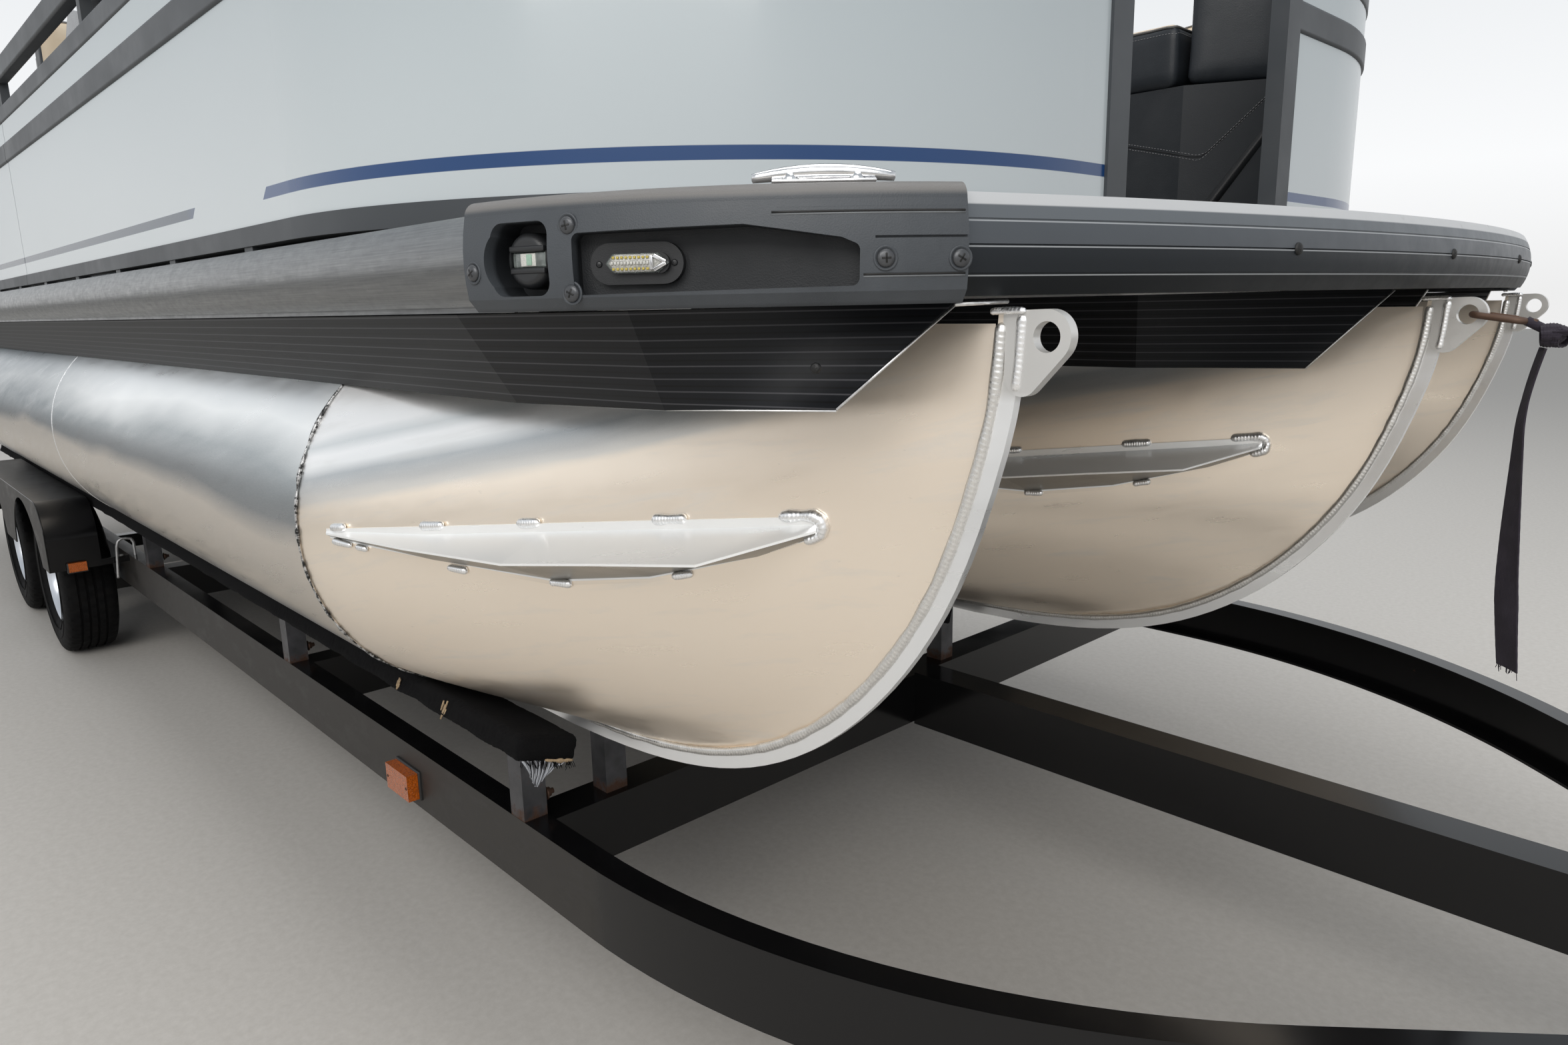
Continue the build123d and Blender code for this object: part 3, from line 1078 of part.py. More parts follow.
def fender_edge(inset, low):
    """Outline of a fender from the side, inset from its outer face, down to a height."""
    aft, fore, top = fender_aft + inset, fender_fore - inset, FENDER_TOP - inset
    turn = FENDER_ROUND - inset
    short = turn * (1 - sin(radians(45)))
    Line((aft, low), (aft, top - turn))
    ThreePointArc((aft, top - turn), (aft + short, top - short), (aft + turn, top))
    Line((aft + turn, top), (fore - turn, top))
    ThreePointArc((fore - turn, top), (fore - short, top - short), (fore, top - turn))
    Line((fore, top - turn), (fore, low))
    Line((fore, low), (aft, low))


def fender_sheet(start, amount, inset, low):
    """A plate of the fender's outline from a place across the trailer."""
    with BuildSketch(Plane.XZ.offset(-start)) as sheet:
        with BuildLine() as outline:
            fender_edge(inset, low)
        make_face(outline.edges())
    extrude(sheet.sketch, amount=amount)


with BuildPart() as fender:
    fender_sheet(-FENDER_IN, FENDER_OUT - FENDER_IN, 0.0, FENDER_LOW)
    with BuildSketch(Plane.XZ.offset(FENDER_IN - 1)) as inside:
        with BuildLine() as outline:
            fender_edge(FENDER_WALL, FENDER_LOW - 1)
        make_face(outline.edges())
    extrude(inside.sketch, amount=FENDER_OUT - FENDER_IN - FENDER_WALL + 1, mode=Mode.SUBTRACT)
    for x in AXLE_X:
        with BuildSketch(Plane.XZ.offset(FENDER_OUT - FENDER_WALL - 1)) as opening:
            with Locations((SEAM + x, TYRE_R)):
                Circle(WHEEL_OPENING_R)
        extrude(opening.sketch, amount=FENDER_WALL + 2, mode=Mode.SUBTRACT)
    # brackets from the rail to the fender's two ends
    for x in (fender_fore - 9, fender_aft + 5):
        slab(x, x + 4, -TRAILER_HALF, -FENDER_OUT + FENDER_WALL, TRAILER_TOP - 24, TRAILER_TOP - 1)
with BuildPart() as fenders:
    add(fender.part)
    mirror(fender.part, about=Plane.XZ)
finish_part(fenders.part, "fenders")

# Winch stand, winch, strap
WINCH_X = SEAM + 2050.0
with BuildPart() as winch_stand:
    slab(WINCH_X - 40, WINCH_X + 40, -38, 38, TRAILER_TOP, 1150)
    slab(WINCH_X - 120, WINCH_X + 60, -45, 45, 1150, 1160)
    slab(WINCH_X - 120, WINCH_X + 60, -38, 38, TRAILER_TOP, TRAILER_TOP + 8)
finish_part(winch_stand.part, "winch_stand")
with BuildPart() as winch:
    for side in (-1, 1):
        slab(WINCH_X - 90, WINCH_X + 60, side * 38, side * 43, 1160, 1310)
    with Locations(Location((WINCH_X - 20, 0, 1240), (90, 0, 0))):
        Cylinder(28, 76)
finish_part(winch.part, "winch")
# Strap: hook in the middle bow eye, webbing to the winch, knot and a free tail
STRAP_THICK = 4.0
HOOK_R = 5.0
KNOT_X = SEAM + 1366.0
KNOT_Z = 1204.0
eye_x = SEAM + CENTER_LEAD + EYE_X
HOOK_SLOPE = 9.0
hook_plane = Plane(Location((eye_x + 38.7, 0, EYE_Z - 5.2), (0, HOOK_SLOPE, 0)))
with BuildPart() as strap_hook:
    with BuildSketch(hook_plane) as ring:
        SlotOverall(78, 17 + 4 * HOOK_R)
        SlotOverall(78 - 4 * HOOK_R, 17, mode=Mode.SUBTRACT)
        with Locations((35.8, 0)):
            SlotOverall(30, 2 * HOOK_R)
    extrude(ring.sketch, amount=HOOK_R, both=True)
finish_part(strap_hook.part, "strap_hook")
with BuildPart() as winch_strap:
    with BuildSketch(Plane.XZ.offset(-25)) as run:
        with BuildLine():
            Polyline((KNOT_X, KNOT_Z), (WINCH_X - 20, 1268.2), (WINCH_X - 20, 1272.2), (KNOT_X, KNOT_Z + STRAP_THICK),
                     close=True)
        make_face()
    extrude(run.sketch, amount=50)
    with BuildSketch(Plane.XY.offset(KNOT_Z - 18)) as knot:
        with Locations((KNOT_X - 2, 0)):
            RectangleRounded(34, 46, 10)
    extrude(knot.sketch, amount=36)
finish_part(winch_strap.part, "winch_strap")
# tail: height, place along the boat, turn of the webbing about the vertical
TAIL = ((1185.7, 1354.0, -70.0), (1110.0, 1337.0, -70.0), (1010.0, 1340.0, -60.0), (910.0, 1343.0, -48.0),
        (810.0, 1348.0, -38.0), (705.0, 1361.0, -44.0))
TAIL_WIDE = 45.0
TAIL_THICK = 3.0
with BuildPart() as strap_tail:
    tail_sections = []
    for z, x, turn in TAIL:
        with BuildSketch(Plane(Location((SEAM + x, 0, z), (0, 0, turn)))) as section:
            Rectangle(TAIL_WIDE, TAIL_THICK)
        tail_sections.append(section.sketch)
    loft(tail_sections)
finish_part(strap_tail.part, "strap_tail")

# Coupler and tongue jack
with BuildPart() as coupler:
    slab(SEAM + COUPLER_X - 190, SEAM + COUPLER_X - 60, -42, 42, TRAILER_TOP - 60, TRAILER_TOP)
    with BuildSketch(Plane.XY.offset(TRAILER_TOP - 75)):
        with Locations((SEAM + COUPLER_X - 45, 0)):
            Circle(45)
    extrude(amount=65)
    with BuildSketch(Plane.XY.offset(TRAILER_TOP - 76)):
        with Locations((SEAM + COUPLER_X - 45, 0)):
            Circle(25.6)
    extrude(amount=45, mode=Mode.SUBTRACT)
finish_part(coupler.part, "coupler")
JACK_X = SEAM + 2950.0
with BuildPart() as jack:
    slab(JACK_X - 30, JACK_X + 30, -BEAM_WIDE / 2 - 66, -BEAM_WIDE / 2, TRAILER_TOP - 100, TRAILER_TOP - 20)
    with BuildSketch(Plane.XY.offset(140)):
        with Locations((JACK_X, -BEAM_WIDE / 2 - 36)):
            Circle(28)
    extrude(amount=620)
    with BuildSketch(Plane.XY.offset(10)):
        with Locations((JACK_X, -BEAM_WIDE / 2 - 36)):
            Circle(22)
    extrude(amount=130)
    with BuildSketch(Plane.XY):
        with Locations((JACK_X, -BEAM_WIDE / 2 - 36)):
            Rectangle(160, 160)
    extrude(amount=10)
finish_part(jack.part, "tongue_jack")

# Lamps on the trailer
with BuildPart() as trailer_lamps:
    for side in (-1, 1):
        slab(SEAM - 290, SEAM - 190, side * TRAILER_HALF, side * (TRAILER_HALF + 28), 322, 376)
        slab(fender_fore + 0.5, fender_fore + 18, side * 1180, side * 1235, FENDER_LOW - 5, FENDER_LOW + 27)
        slab(SEAM + TRAILER_AFT - 30, SEAM + TRAILER_AFT, side * 950, side * 1045, 330, 420)
finish_part(trailer_lamps.part, "trailer_lamps")

# Wheels
WHEELS = [(n, side) for n in (0, 1) for side in (-1, 1)]
for n, side in WHEELS:
    name = f"{'front' if n == 0 else 'rear'}_{'starboard' if side < 0 else 'port'}"
    x = SEAM + AXLE_X[n]
    middle = side * (TYRE_OUT - TYRE_WIDE / 2)
    with BuildPart() as tyre:
        with BuildSketch(Plane.XY.offset(TYRE_R)):
            with Locations((x + (TYRE_R + RIM_R) / 2, middle)):
                RectangleRounded(TYRE_R - RIM_R, TYRE_WIDE, 36)
        revolve(axis=Axis((x, middle, TYRE_R), (0, 1, 0)), revolution_arc=360)
    finish_part(tyre.part, f"tyre_{name}")
    with BuildPart() as rim:
        with Locations(Location((x, middle, TYRE_R), (90, 0, 0))):
            Cylinder(RIM_R, 140)
            Cylinder(RIM_R - 10, 142, mode=Mode.SUBTRACT)
        with Locations(Location((x, middle + side * 10, TYRE_R), (90, 0, 0))):
            Cylinder(RIM_R - 9, 12)
            Cylinder(60, 60)
            Cylinder(SPINDLE_R + RUN_FIT, 172, mode=Mode.SUBTRACT)
    finish_part(rim.part, f"rim_{name}")
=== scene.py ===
"""Looks of a three-tube pontoon boat on its tandem trailer, in metres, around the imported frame."""

import math
import random

import bmesh
import bpy
import numpy as np
from mathutils import Matrix, Vector


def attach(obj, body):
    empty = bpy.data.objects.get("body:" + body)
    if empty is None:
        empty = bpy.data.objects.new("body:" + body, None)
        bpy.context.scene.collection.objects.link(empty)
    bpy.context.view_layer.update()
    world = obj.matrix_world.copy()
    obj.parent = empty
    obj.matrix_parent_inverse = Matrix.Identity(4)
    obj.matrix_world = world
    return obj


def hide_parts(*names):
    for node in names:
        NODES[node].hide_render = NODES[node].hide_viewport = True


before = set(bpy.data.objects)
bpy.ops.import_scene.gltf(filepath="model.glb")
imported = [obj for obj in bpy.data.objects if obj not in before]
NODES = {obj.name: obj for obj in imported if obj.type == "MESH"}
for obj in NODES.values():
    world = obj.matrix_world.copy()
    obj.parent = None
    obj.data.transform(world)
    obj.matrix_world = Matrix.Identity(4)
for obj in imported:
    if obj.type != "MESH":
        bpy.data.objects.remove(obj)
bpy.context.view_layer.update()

# The weld seam behind the outer nose cones: lengths along the boat are given from it
SEAM = 1.630

# Camera at the photograph's viewing angle
CAMERA_AT = (SEAM + 1.683, -1.806, 1.2673)
CAMERA_YAW = 0.8150
CAMERA_PITCH = 0.2090
CAMERA_ROLL = -0.0207
PHOTO_WIDE = 2352
FOCAL_PIXELS = 1537.4
SENSOR = 36.0

# Hull, as in the CAD: radius, height and place of the tubes, and how far the middle one leads
TUBE_R = 0.3175
TUBE_Y = 0.962
TUBE_Z = 0.930
CENTER_LEAD = 0.105
TUBES = ((-TUBE_Y, SEAM), (0.0, SEAM + CENTER_LEAD), (TUBE_Y, SEAM))
KEEL_THICK = 0.010
KEEL_DEEP = 0.020
STEM = ((0.120, 0.0), (0.273, 0.001), (0.515, 0.018), (0.705, 0.065), (0.840, 0.138), (0.945, 0.234),
        (1.025, 0.349), (1.078, 0.480), (1.100, 0.568), (1.106, 0.6355))
STEM_POWER = 0.4
NOSE_TAPER = 1.3
STRAKE_TOP = 0.9395
STRAKE_SLOPE = 0.107
EYE_X = 1.1527
EYE_Z = 1.2335

# Bow corners and front edge, as in the CAD
CORNER_X = 0.630
RAIL_OUT = 1.295
CORNER_Y = RAIL_OUT - 0.529
CORNER_R = 0.543
BOW_X = 1.261
BOW_R = 3.396
DECK_TOP = 1.3655
FENCE_OUT = RAIL_OUT - 0.030
FENCE_STRAIGHT = 0.465
FENCE_R = FENCE_OUT - FENCE_STRAIGHT
FENCE_FRONT = 0.885
FENCE_DEEP = 0.032
TYRE_R = 0.295
RIM_R = 0.172
WHEEL_OUT = 1.245
WHEEL_WIDE = 0.178
AXLE_X = (-3.050, -3.895)
STRAP_WIDE = 0.045
SIM_FRAMES = 20
UP = np.array((0.0, 0.0, 1.0))
PORT = np.array((0.0, 1.0, 0.0))
ABREAST = ((1, 0, 0), (0, 1, 0), (0, 0, 1))
ROUND_CORNERS = ((1, 1), (-1, 1), (-1, -1), (1, -1))

# Bunk boards: half the space between a pair, distance from the tube's axis, ends, and half section with rounding
BUNK_SPREAD = 0.104
BUNK_REACH = 0.3388
BUNK_FORE = 0.362
BUNK_AFT = -5.0
BUNK_SECTION = (0.054, 0.021, 0.011)
CROSS_X = (0.240, -0.900, -2.300, -4.900)

# Lounges: inner edge of the two bow ones, their stations, how their ends flare, and heights
LOUNGES = ((1, 0.560), (-1, 0.600))
LOUNGE_AFT = -1.270
LOUNGE_BEND = 0.520
LOUNGE_END = 0.700
LOUNGE_FLARE = 0.095
SEAT_LOW = 1.735
SEAT_TOP = 1.875
BACK_TOP = 1.990
SINK_DEEP = 0.0065
SINK_WIDE = 0.0045

# Helm console, its chair and the motor's steering axis
HELM_X = -2.150
HELM_Y = 0.505 - FENCE_OUT
CHAIR_X = -2.960
MOTOR_X = SEAM - 6.360


def add_camera():
    """The camera, turned by yaw, pitch and roll."""
    forward = Vector((-math.sin(CAMERA_YAW), math.cos(CAMERA_YAW), 0.0))
    right = Vector((math.cos(CAMERA_YAW), math.sin(CAMERA_YAW), 0.0))
    up = Vector((0.0, 0.0, 1.0))
    look = forward * math.cos(CAMERA_PITCH) - up * math.sin(CAMERA_PITCH)
    above = up * math.cos(CAMERA_PITCH) + forward * math.sin(CAMERA_PITCH)
    side = right * math.cos(CAMERA_ROLL) + above * math.sin(CAMERA_ROLL)
    above = above * math.cos(CAMERA_ROLL) - right * math.sin(CAMERA_ROLL)
    data = bpy.data.cameras.new("camera")
    data.sensor_fit = "HORIZONTAL"
    data.sensor_width = SENSOR
    data.lens = SENSOR * FOCAL_PIXELS / PHOTO_WIDE
    data.clip_start = 0.02
    data.clip_end = 200.0
    camera = bpy.data.objects.new("camera", data)
    turn = Matrix((side, above, -look)).transposed()
    camera.matrix_world = Matrix.Translation(CAMERA_AT) @ turn.to_4x4()
    bpy.context.scene.collection.objects.link(camera)
    bpy.context.scene.camera = camera


class Shape:
    """Points and faces of one piece, gathered from several forms, each with its material's place."""

    def __init__(self):
        self.points = []
        self.faces = []
        self.kinds = []

    def add(self, points, faces, kind=0):
        """Adds a form given as points and faces."""
        base = len(self.points)
        self.points += [tuple(float(c) for c in p) for p in points]
        self.faces += [tuple(base + n for n in face) for face in faces]
        self.kinds += [kind] * len(faces)

    def rings(self, rings, kind=0, along=False):
        """A skin over rings of equal length, closed along where asked, else with flat ends."""
        wide = len(rings[0])
        points = [p for ring in rings for p in ring]
        faces = []
        for a in range(len(rings) if along else len(rings) - 1):
            b = (a + 1) % len(rings)
            for n in range(wide):
                m = (n + 1) % wide
                faces.append((a * wide + n, a * wide + m, b * wide + m, b * wide + n))
        if not along:
            faces.append(tuple(range(wide))[::-1])
            faces.append(tuple((len(rings) - 1) * wide + n for n in range(wide)))
        self.add(points, faces, kind)

    def finish(self, name, materials, slot, body="boat", angle=None):
        """Makes the piece from named materials and lets it ride on a body; the slot is not used."""
        mesh = bpy.data.meshes.new(name)
        mesh.from_pydata(self.points, [], self.faces)
        for material in materials:
            mesh.materials.append(MATERIALS[material])
        mesh.polygons.foreach_set("material_index", self.kinds)
        mesh.polygons.foreach_set("use_smooth", [True] * len(self.faces))
        work = bmesh.new()
        work.from_mesh(mesh)
        bmesh.ops.recalc_face_normals(work, faces=work.faces)
        work.to_mesh(mesh)
        work.free()
        if angle is not None:
            mesh.set_sharp_from_angle(angle=math.radians(angle))
        mesh.update()
        piece = bpy.data.objects.new(name, mesh)
        bpy.context.scene.collection.objects.link(piece)
        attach(piece, body)
        return piece


def vec(x, y, z):
    """A point or a direction."""
    return np.array((x, y, z), float)


def circle(count):
    """Even angles round a circle."""
    return [math.tau * n / count for n in range(count)]


def unit(vector):
    """The vector at length one."""
    vector = np.asarray(vector, float)
    return vector / max(1e-12, np.linalg.norm(vector))


def cross_frame(tangents):
    """Two directions across each tangent that turn as little as possible along the line."""
    first = UP if abs(tangents[0][2]) < 0.9 else vec(1, 0, 0)
    across = unit(np.cross(tangents[0], first))
    out = []
    for tangent in tangents:
        across = unit(across - tangent * across.dot(tangent))
        out.append((across, np.cross(tangent, across)))
    return out


def tangents_of(points, along=False):
    """Directions of a line at its points."""
    points = np.asarray(points, float)
    if along:
        return [unit(points[(n + 1) % len(points)] - points[n - 1]) for n in range(len(points))]
    steps = np.gradient(points, axis=0)
    return [unit(step) for step in steps]


def rod(shape, points, radius, kind=0, sides=10, along=False):
    """A round bar along points, of one radius or one for each point."""
    points = [np.asarray(p, float) for p in points]
    tangents = tangents_of(points, along)
    radii = radius if isinstance(radius, (list, tuple)) else [radius] * len(points)
    rings = []
    for point, (across, other), r in zip(points, cross_frame(tangents), radii):
        rings.append([point + r * (math.cos(t) * across + math.sin(t) * other) for t in circle(sides)])
    shape.rings(rings, kind, along=along)


def lathe(shape, at, axis, profile, kind=0, sides=24):
    """Turns a profile of (radius, distance along the axis) about an axis through a point."""
    axis = unit(axis)
    first = unit(np.cross(axis, (0, 0, 1) if abs(axis[2]) < 0.9 else (1, 0, 0)))
    second = np.cross(axis, first)
    rings = []
    for radius, far in profile:
        middle = np.asarray(at) + axis * far
        rings.append([middle + max(radius, 1e-5) * (math.cos(t) * first + math.sin(t) * second)
                      for t in circle(sides)])
    shape.rings(rings, kind)


def block(shape, center, axes, half, rounding=0.0, kind=0, steps=3):
    """A box with rounded edges, about a centre, along three directions."""
    axes = [unit(a) for a in axes]
    inner = [max(h - rounding, 1e-5) for h in half]
    rounding = min(rounding, min(half) * 0.999)
    count = 2 * (steps + 1)
    turns = [math.pi / 2 * n / steps for n in range(steps + 1)]
    rings = []
    for n in range(count):
        up = math.sin(turns[n] - math.pi / 2) if n <= steps else math.sin(turns[n - steps - 1])
        out = math.cos(turns[n] - math.pi / 2) if n <= steps else math.cos(turns[n - steps - 1])
        high = (-inner[2] if n <= steps else inner[2]) + rounding * up
        ring = []
        for q, (sx, sy) in enumerate(ROUND_CORNERS):
            for t in turns:
                a = t + q * math.pi / 2
                ring.append((sx * inner[0] + rounding * out * math.cos(a),
                             sy * inner[1] + rounding * out * math.sin(a), high))
        rings.append([np.asarray(center) + sum(c * axis for c, axis in zip(p, axes)) for p in ring])
    shape.rings(rings, kind)


def even_line(points, step, along=False):
    """The line again with points an even step apart."""
    points = np.asarray(points, float)
    if along:
        points = np.vstack([points, points[:1]])
    lengths = np.concatenate([[0.0], np.cumsum(np.linalg.norm(np.diff(points, axis=0), axis=1))])
    count = max(3, int(round(lengths[-1] / step)) + 1)
    places = np.linspace(0.0, lengths[-1], count)
    out = np.stack([np.interp(places, lengths, points[:, k]) for k in range(3)], 1)
    return out[:-1] if along else out


def bead(shape, points, outward, width, high, pitch=0.0042, seed=1, kind=0, rough=0.12, sides=7):
    """A weld bead with crescent ripples along a line, standing outward from it."""
    dice = random.Random(seed)
    step = pitch / 3.0
    line = even_line(points, step)
    count = len(line)
    outs = np.asarray(outward, float)
    if outs.ndim == 1:
        outs = np.repeat(outs[None], count, 0)
    else:
        at = np.linspace(0, 1, len(outs))
        to = np.linspace(0, 1, count)
        outs = np.stack([np.interp(to, at, outs[:, k]) for k in range(3)], 1)
    wobble = [dice.uniform(-1, 1) for _ in range(count // 9 + 3)]
    rings = []
    for n, (point, tangent) in enumerate(zip(line, tangents_of(line))):
        out = unit(outs[n] - tangent * outs[n].dot(tangent))
        across = np.cross(tangent, out)
        place, share = divmod(n / 9.0, 1.0)
        swing = wobble[int(place)] * (1 - share) + wobble[int(place) + 1] * share
        # both ends taper over about half the bead's width
        near = min(1.0, min(n, count - 1 - n) * step / (width * 0.6))
        size = (1.0 + rough * swing) * math.sqrt(near * (2 - near))
        ring = []
        for k in range(sides):
            a = math.radians(-25 + 230 * k / (sides - 1))
            side = math.cos(a)
            phase = ((n / 3.0) + 0.45 * side * side) % 1.0
            ripple = 0.80 + 0.20 * math.sin(math.pi * phase) ** 0.7
            ring.append(point + across * side * width / 2 * size * (0.94 + 0.06 * ripple)
                        + out * (math.sin(a) * high * ripple * size - 0.0004))
        rings.append(ring)
    shape.rings(rings, kind)


def stem_reach(z):
    """Station of the keel line at a height."""
    rise = max(0.0, z - TUBE_Z + TUBE_R) ** STEM_POWER
    table = [(h**STEM_POWER, x) for x, h in STEM]
    slopes = [(b[1] - a[1]) / (b[0] - a[0]) for a, b in zip(table, table[1:])]
    for n in range(len(slopes)):
        if rise <= table[n + 1][0] or n == len(slopes) - 1:
            break
    (q0, x0), (q1, x1) = table[n], table[n + 1]
    start = (slopes[max(0, n - 1)] + slopes[n]) / 2
    end = (slopes[min(len(slopes) - 1, n + 1)] + slopes[n]) / 2
    wide = q1 - q0
    t = min(1.0, max(0.0, (rise - q0) / wide))
    return ((1 + 2 * t) * (1 - t) ** 2 * x0 + t * (1 - t) ** 2 * wide * start
            + t**2 * (3 - 2 * t) * x1 - t**2 * (1 - t) * wide * end)


def nose_half(x, z):
    """Half breadth of a nose cone at a station and a height."""
    round_half = math.sqrt(max(0.0, TUBE_R**2 - (z - TUBE_Z) ** 2))
    share = max(0.0, x) / stem_reach(z)
    return 0.0 if share >= 1.0 else round_half * (1.0 - share**NOSE_TAPER) ** NOSE_TAPER


def stem_line(seam, y, outward, start=0.15, top=1.247):
    """Points of the keel line from a station up to a height, moved outward, with their outward directions."""
    low = TUBE_Z - TUBE_R
    flat = [(x, low) for x in np.linspace(start, 0.26, 4)] if start < 0.26 else []
    first = 0.001 ** STEM_POWER
    last = (top - low) ** STEM_POWER
    heights = [low + (first + (last - first) * n / 60) ** (1 / STEM_POWER) for n in range(61)]
    line = np.array(flat + [(stem_reach(z), z) for z in heights if stem_reach(z) >= start])
    steps = np.gradient(line, axis=0)
    steps /= np.linalg.norm(steps, axis=1)[:, None]
    outs = np.stack([steps[:, 1], np.zeros(len(line)), -steps[:, 0]], 1)
    points = np.stack([seam + line[:, 0], np.full(len(line), y), line[:, 1]], 1) + outs * outward
    return points, outs


def set_stops(node, stops):
    """Sets a colour ramp's stops."""
    ramp = node.color_ramp.elements
    while len(ramp) < len(stops):
        ramp.new(0.5)
    for element, (place, color) in zip(ramp, stops):
        element.position = place
        element.color = (*color, 1.0)


class Graph:
    """A node material with short ways to add textures to its Principled shader."""

    def __init__(self, name, color=(0.5, 0.5, 0.5), rough=0.5, metal=0.0, **sockets):
        self.material = bpy.data.materials.new(name)
        self.material.use_nodes = True
        self.tree = self.material.node_tree
        self.shader = self.tree.nodes["Principled BSDF"]
        self.set("Base Color", (*color, 1.0))
        self.set("Roughness", rough)
        self.set("Metallic", metal)
        for key, value in sockets.items():
            self.set(key.replace("_", " "), value)
        self.place = self.add("ShaderNodeTexCoord").outputs["Object"]

    def add(self, kind, **settings):
        """A new node with its attributes set."""
        node = self.tree.nodes.new(kind)
        for key, value in settings.items():
            setattr(node, key, value)
        return node

    def set(self, name, value):
        """Sets one socket of the shader."""
        self.shader.inputs[name].default_value = value

    def feed(self, node, name, value):
        """Gives a socket a number, a colour or another node's output."""
        socket = node.inputs[name]
        if isinstance(value, bpy.types.NodeSocket):
            self.tree.links.new(value, socket)
        else:
            socket.default_value = value

    def stretch(self, scale):
        """Coordinates scaled along X, Y and Z."""
        node = self.add("ShaderNodeMapping")
        self.feed(node, "Vector", self.place)
        self.feed(node, "Scale", scale)
        return node.outputs["Vector"]

    def noise(self, scale, detail=3.0, rough=0.5, vector=None, distortion=0.0):
        """Cloud noise, 0 to 1."""
        node = self.add("ShaderNodeTexNoise")
        for name, value in (("Vector", vector or self.place), ("Scale", scale), ("Detail", detail),
                            ("Roughness", rough), ("Distortion", distortion)):
            self.feed(node, name, value)
        return node.outputs["Fac"]

    def cells(self, scale, feature="F1"):
        """Cell distances."""
        node = self.add("ShaderNodeTexVoronoi", feature=feature)
        self.feed(node, "Vector", self.place)
        self.feed(node, "Scale", scale)
        return node.outputs["Distance"]

    def wave(self, scale, axis="X", distortion=0.0):
        """Bands along an axis, 0 to 1."""
        node = self.add("ShaderNodeTexWave", bands_direction=axis)
        self.feed(node, "Vector", self.place)
        self.feed(node, "Scale", scale)
        self.feed(node, "Distortion", distortion)
        return node.outputs["Fac"]

    def span(self, value, low, high, out_low=0.0, out_high=1.0):
        """Maps a range of a value to another, clamped."""
        node = self.add("ShaderNodeMapRange")
        for name, number in (("Value", value), ("From Min", low), ("From Max", high), ("To Min", out_low),
                             ("To Max", out_high)):
            self.feed(node, name, number)
        return node.outputs["Result"]

    def math(self, kind, a, b=0.0):
        """One arithmetic step."""
        node = self.add("ShaderNodeMath", operation=kind)
        for n, value in enumerate((a, b)):
            self.feed(node, n, value)
        return node.outputs["Value"]

    def plus(self, a, b):
        """Sum."""
        return self.math("ADD", a, b)

    def minus(self, a, b):
        """Difference."""
        return self.math("SUBTRACT", a, b)

    def times(self, a, b):
        """Product."""
        return self.math("MULTIPLY", a, b)

    def band(self, value, low, high, soft=0.0004):
        """One between two limits of a value and nothing outside."""
        return self.times(self.span(value, low - soft, low + soft),
                          self.span(value, high - soft, high + soft, 1.0, 0.0))

    def mix(self, fac, a, b):
        """Mixes two colours."""
        node = self.add("ShaderNodeMix", data_type="RGBA")
        self.feed(node, "Factor", fac)
        # sockets 6 and 7 are the two colours and output 2 the mixed one
        for socket, value in ((6, a), (7, b)):
            self.feed(node, socket, value if isinstance(value, bpy.types.NodeSocket) else (*value, 1.0))
        return node.outputs[2]

    def part(self, vector, name):
        """One part of a vector."""
        node = self.add("ShaderNodeSeparateXYZ")
        self.feed(node, "Vector", vector)
        return node.outputs[name]

    def axis(self, name):
        """One coordinate of the place on the object."""
        return self.part(self.place, name)

    def facing(self, name):
        """One part of the surface's direction."""
        return self.part(self.add("ShaderNodeNewGeometry").outputs["Normal"], name)

    def ramp(self, value, stops):
        """A colour ramp over a value."""
        node = self.add("ShaderNodeValToRGB")
        set_stops(node, stops)
        self.feed(node, "Fac", value)
        return node.outputs["Color"]

    def color(self, output):
        """Links the base colour."""
        self.tree.links.new(output, self.shader.inputs["Base Color"])

    def rough(self, output):
        """Links the roughness."""
        self.tree.links.new(output, self.shader.inputs["Roughness"])

    def bump(self, height, strength=0.3, distance=0.001):
        """Links a bump, on top of an earlier one."""
        node = self.add("ShaderNodeBump")
        self.feed(node, "Height", height)
        self.feed(node, "Strength", strength)
        self.feed(node, "Distance", distance)
        earlier = self.shader.inputs["Normal"].links
        if earlier:
            self.feed(node, "Normal", earlier[0].from_socket)
        self.tree.links.new(node.outputs["Normal"], self.shader.inputs["Normal"])


def strake_mask(g, station, lift):
    """One on the strakes: between the welds' lines, the lower one lifted, and the two end stations."""
    z = g.axis("Z")
    low = None
    knees = ((0.090, 0.929), (0.505, 0.9075), (0.650, 0.928), (0.803, 0.973), (0.885, 1.006))
    for (x0, z0), (x1, z1) in zip(knees, knees[1:]):
        slope = (z1 - z0) / (x1 - x0)
        line = g.plus(g.times(station, slope), z0 - slope * x0)
        low = line if low is None else g.math("MAXIMUM", low, line)
    high = g.plus(g.times(station, STRAKE_SLOPE), STRAKE_TOP - 0.0013)
    inside = g.times(g.math("GREATER_THAN", z, g.plus(low, lift)), g.math("LESS_THAN", z, high))
    return g.times(inside, g.band(station, 0.0895, 0.886, 0.0005))


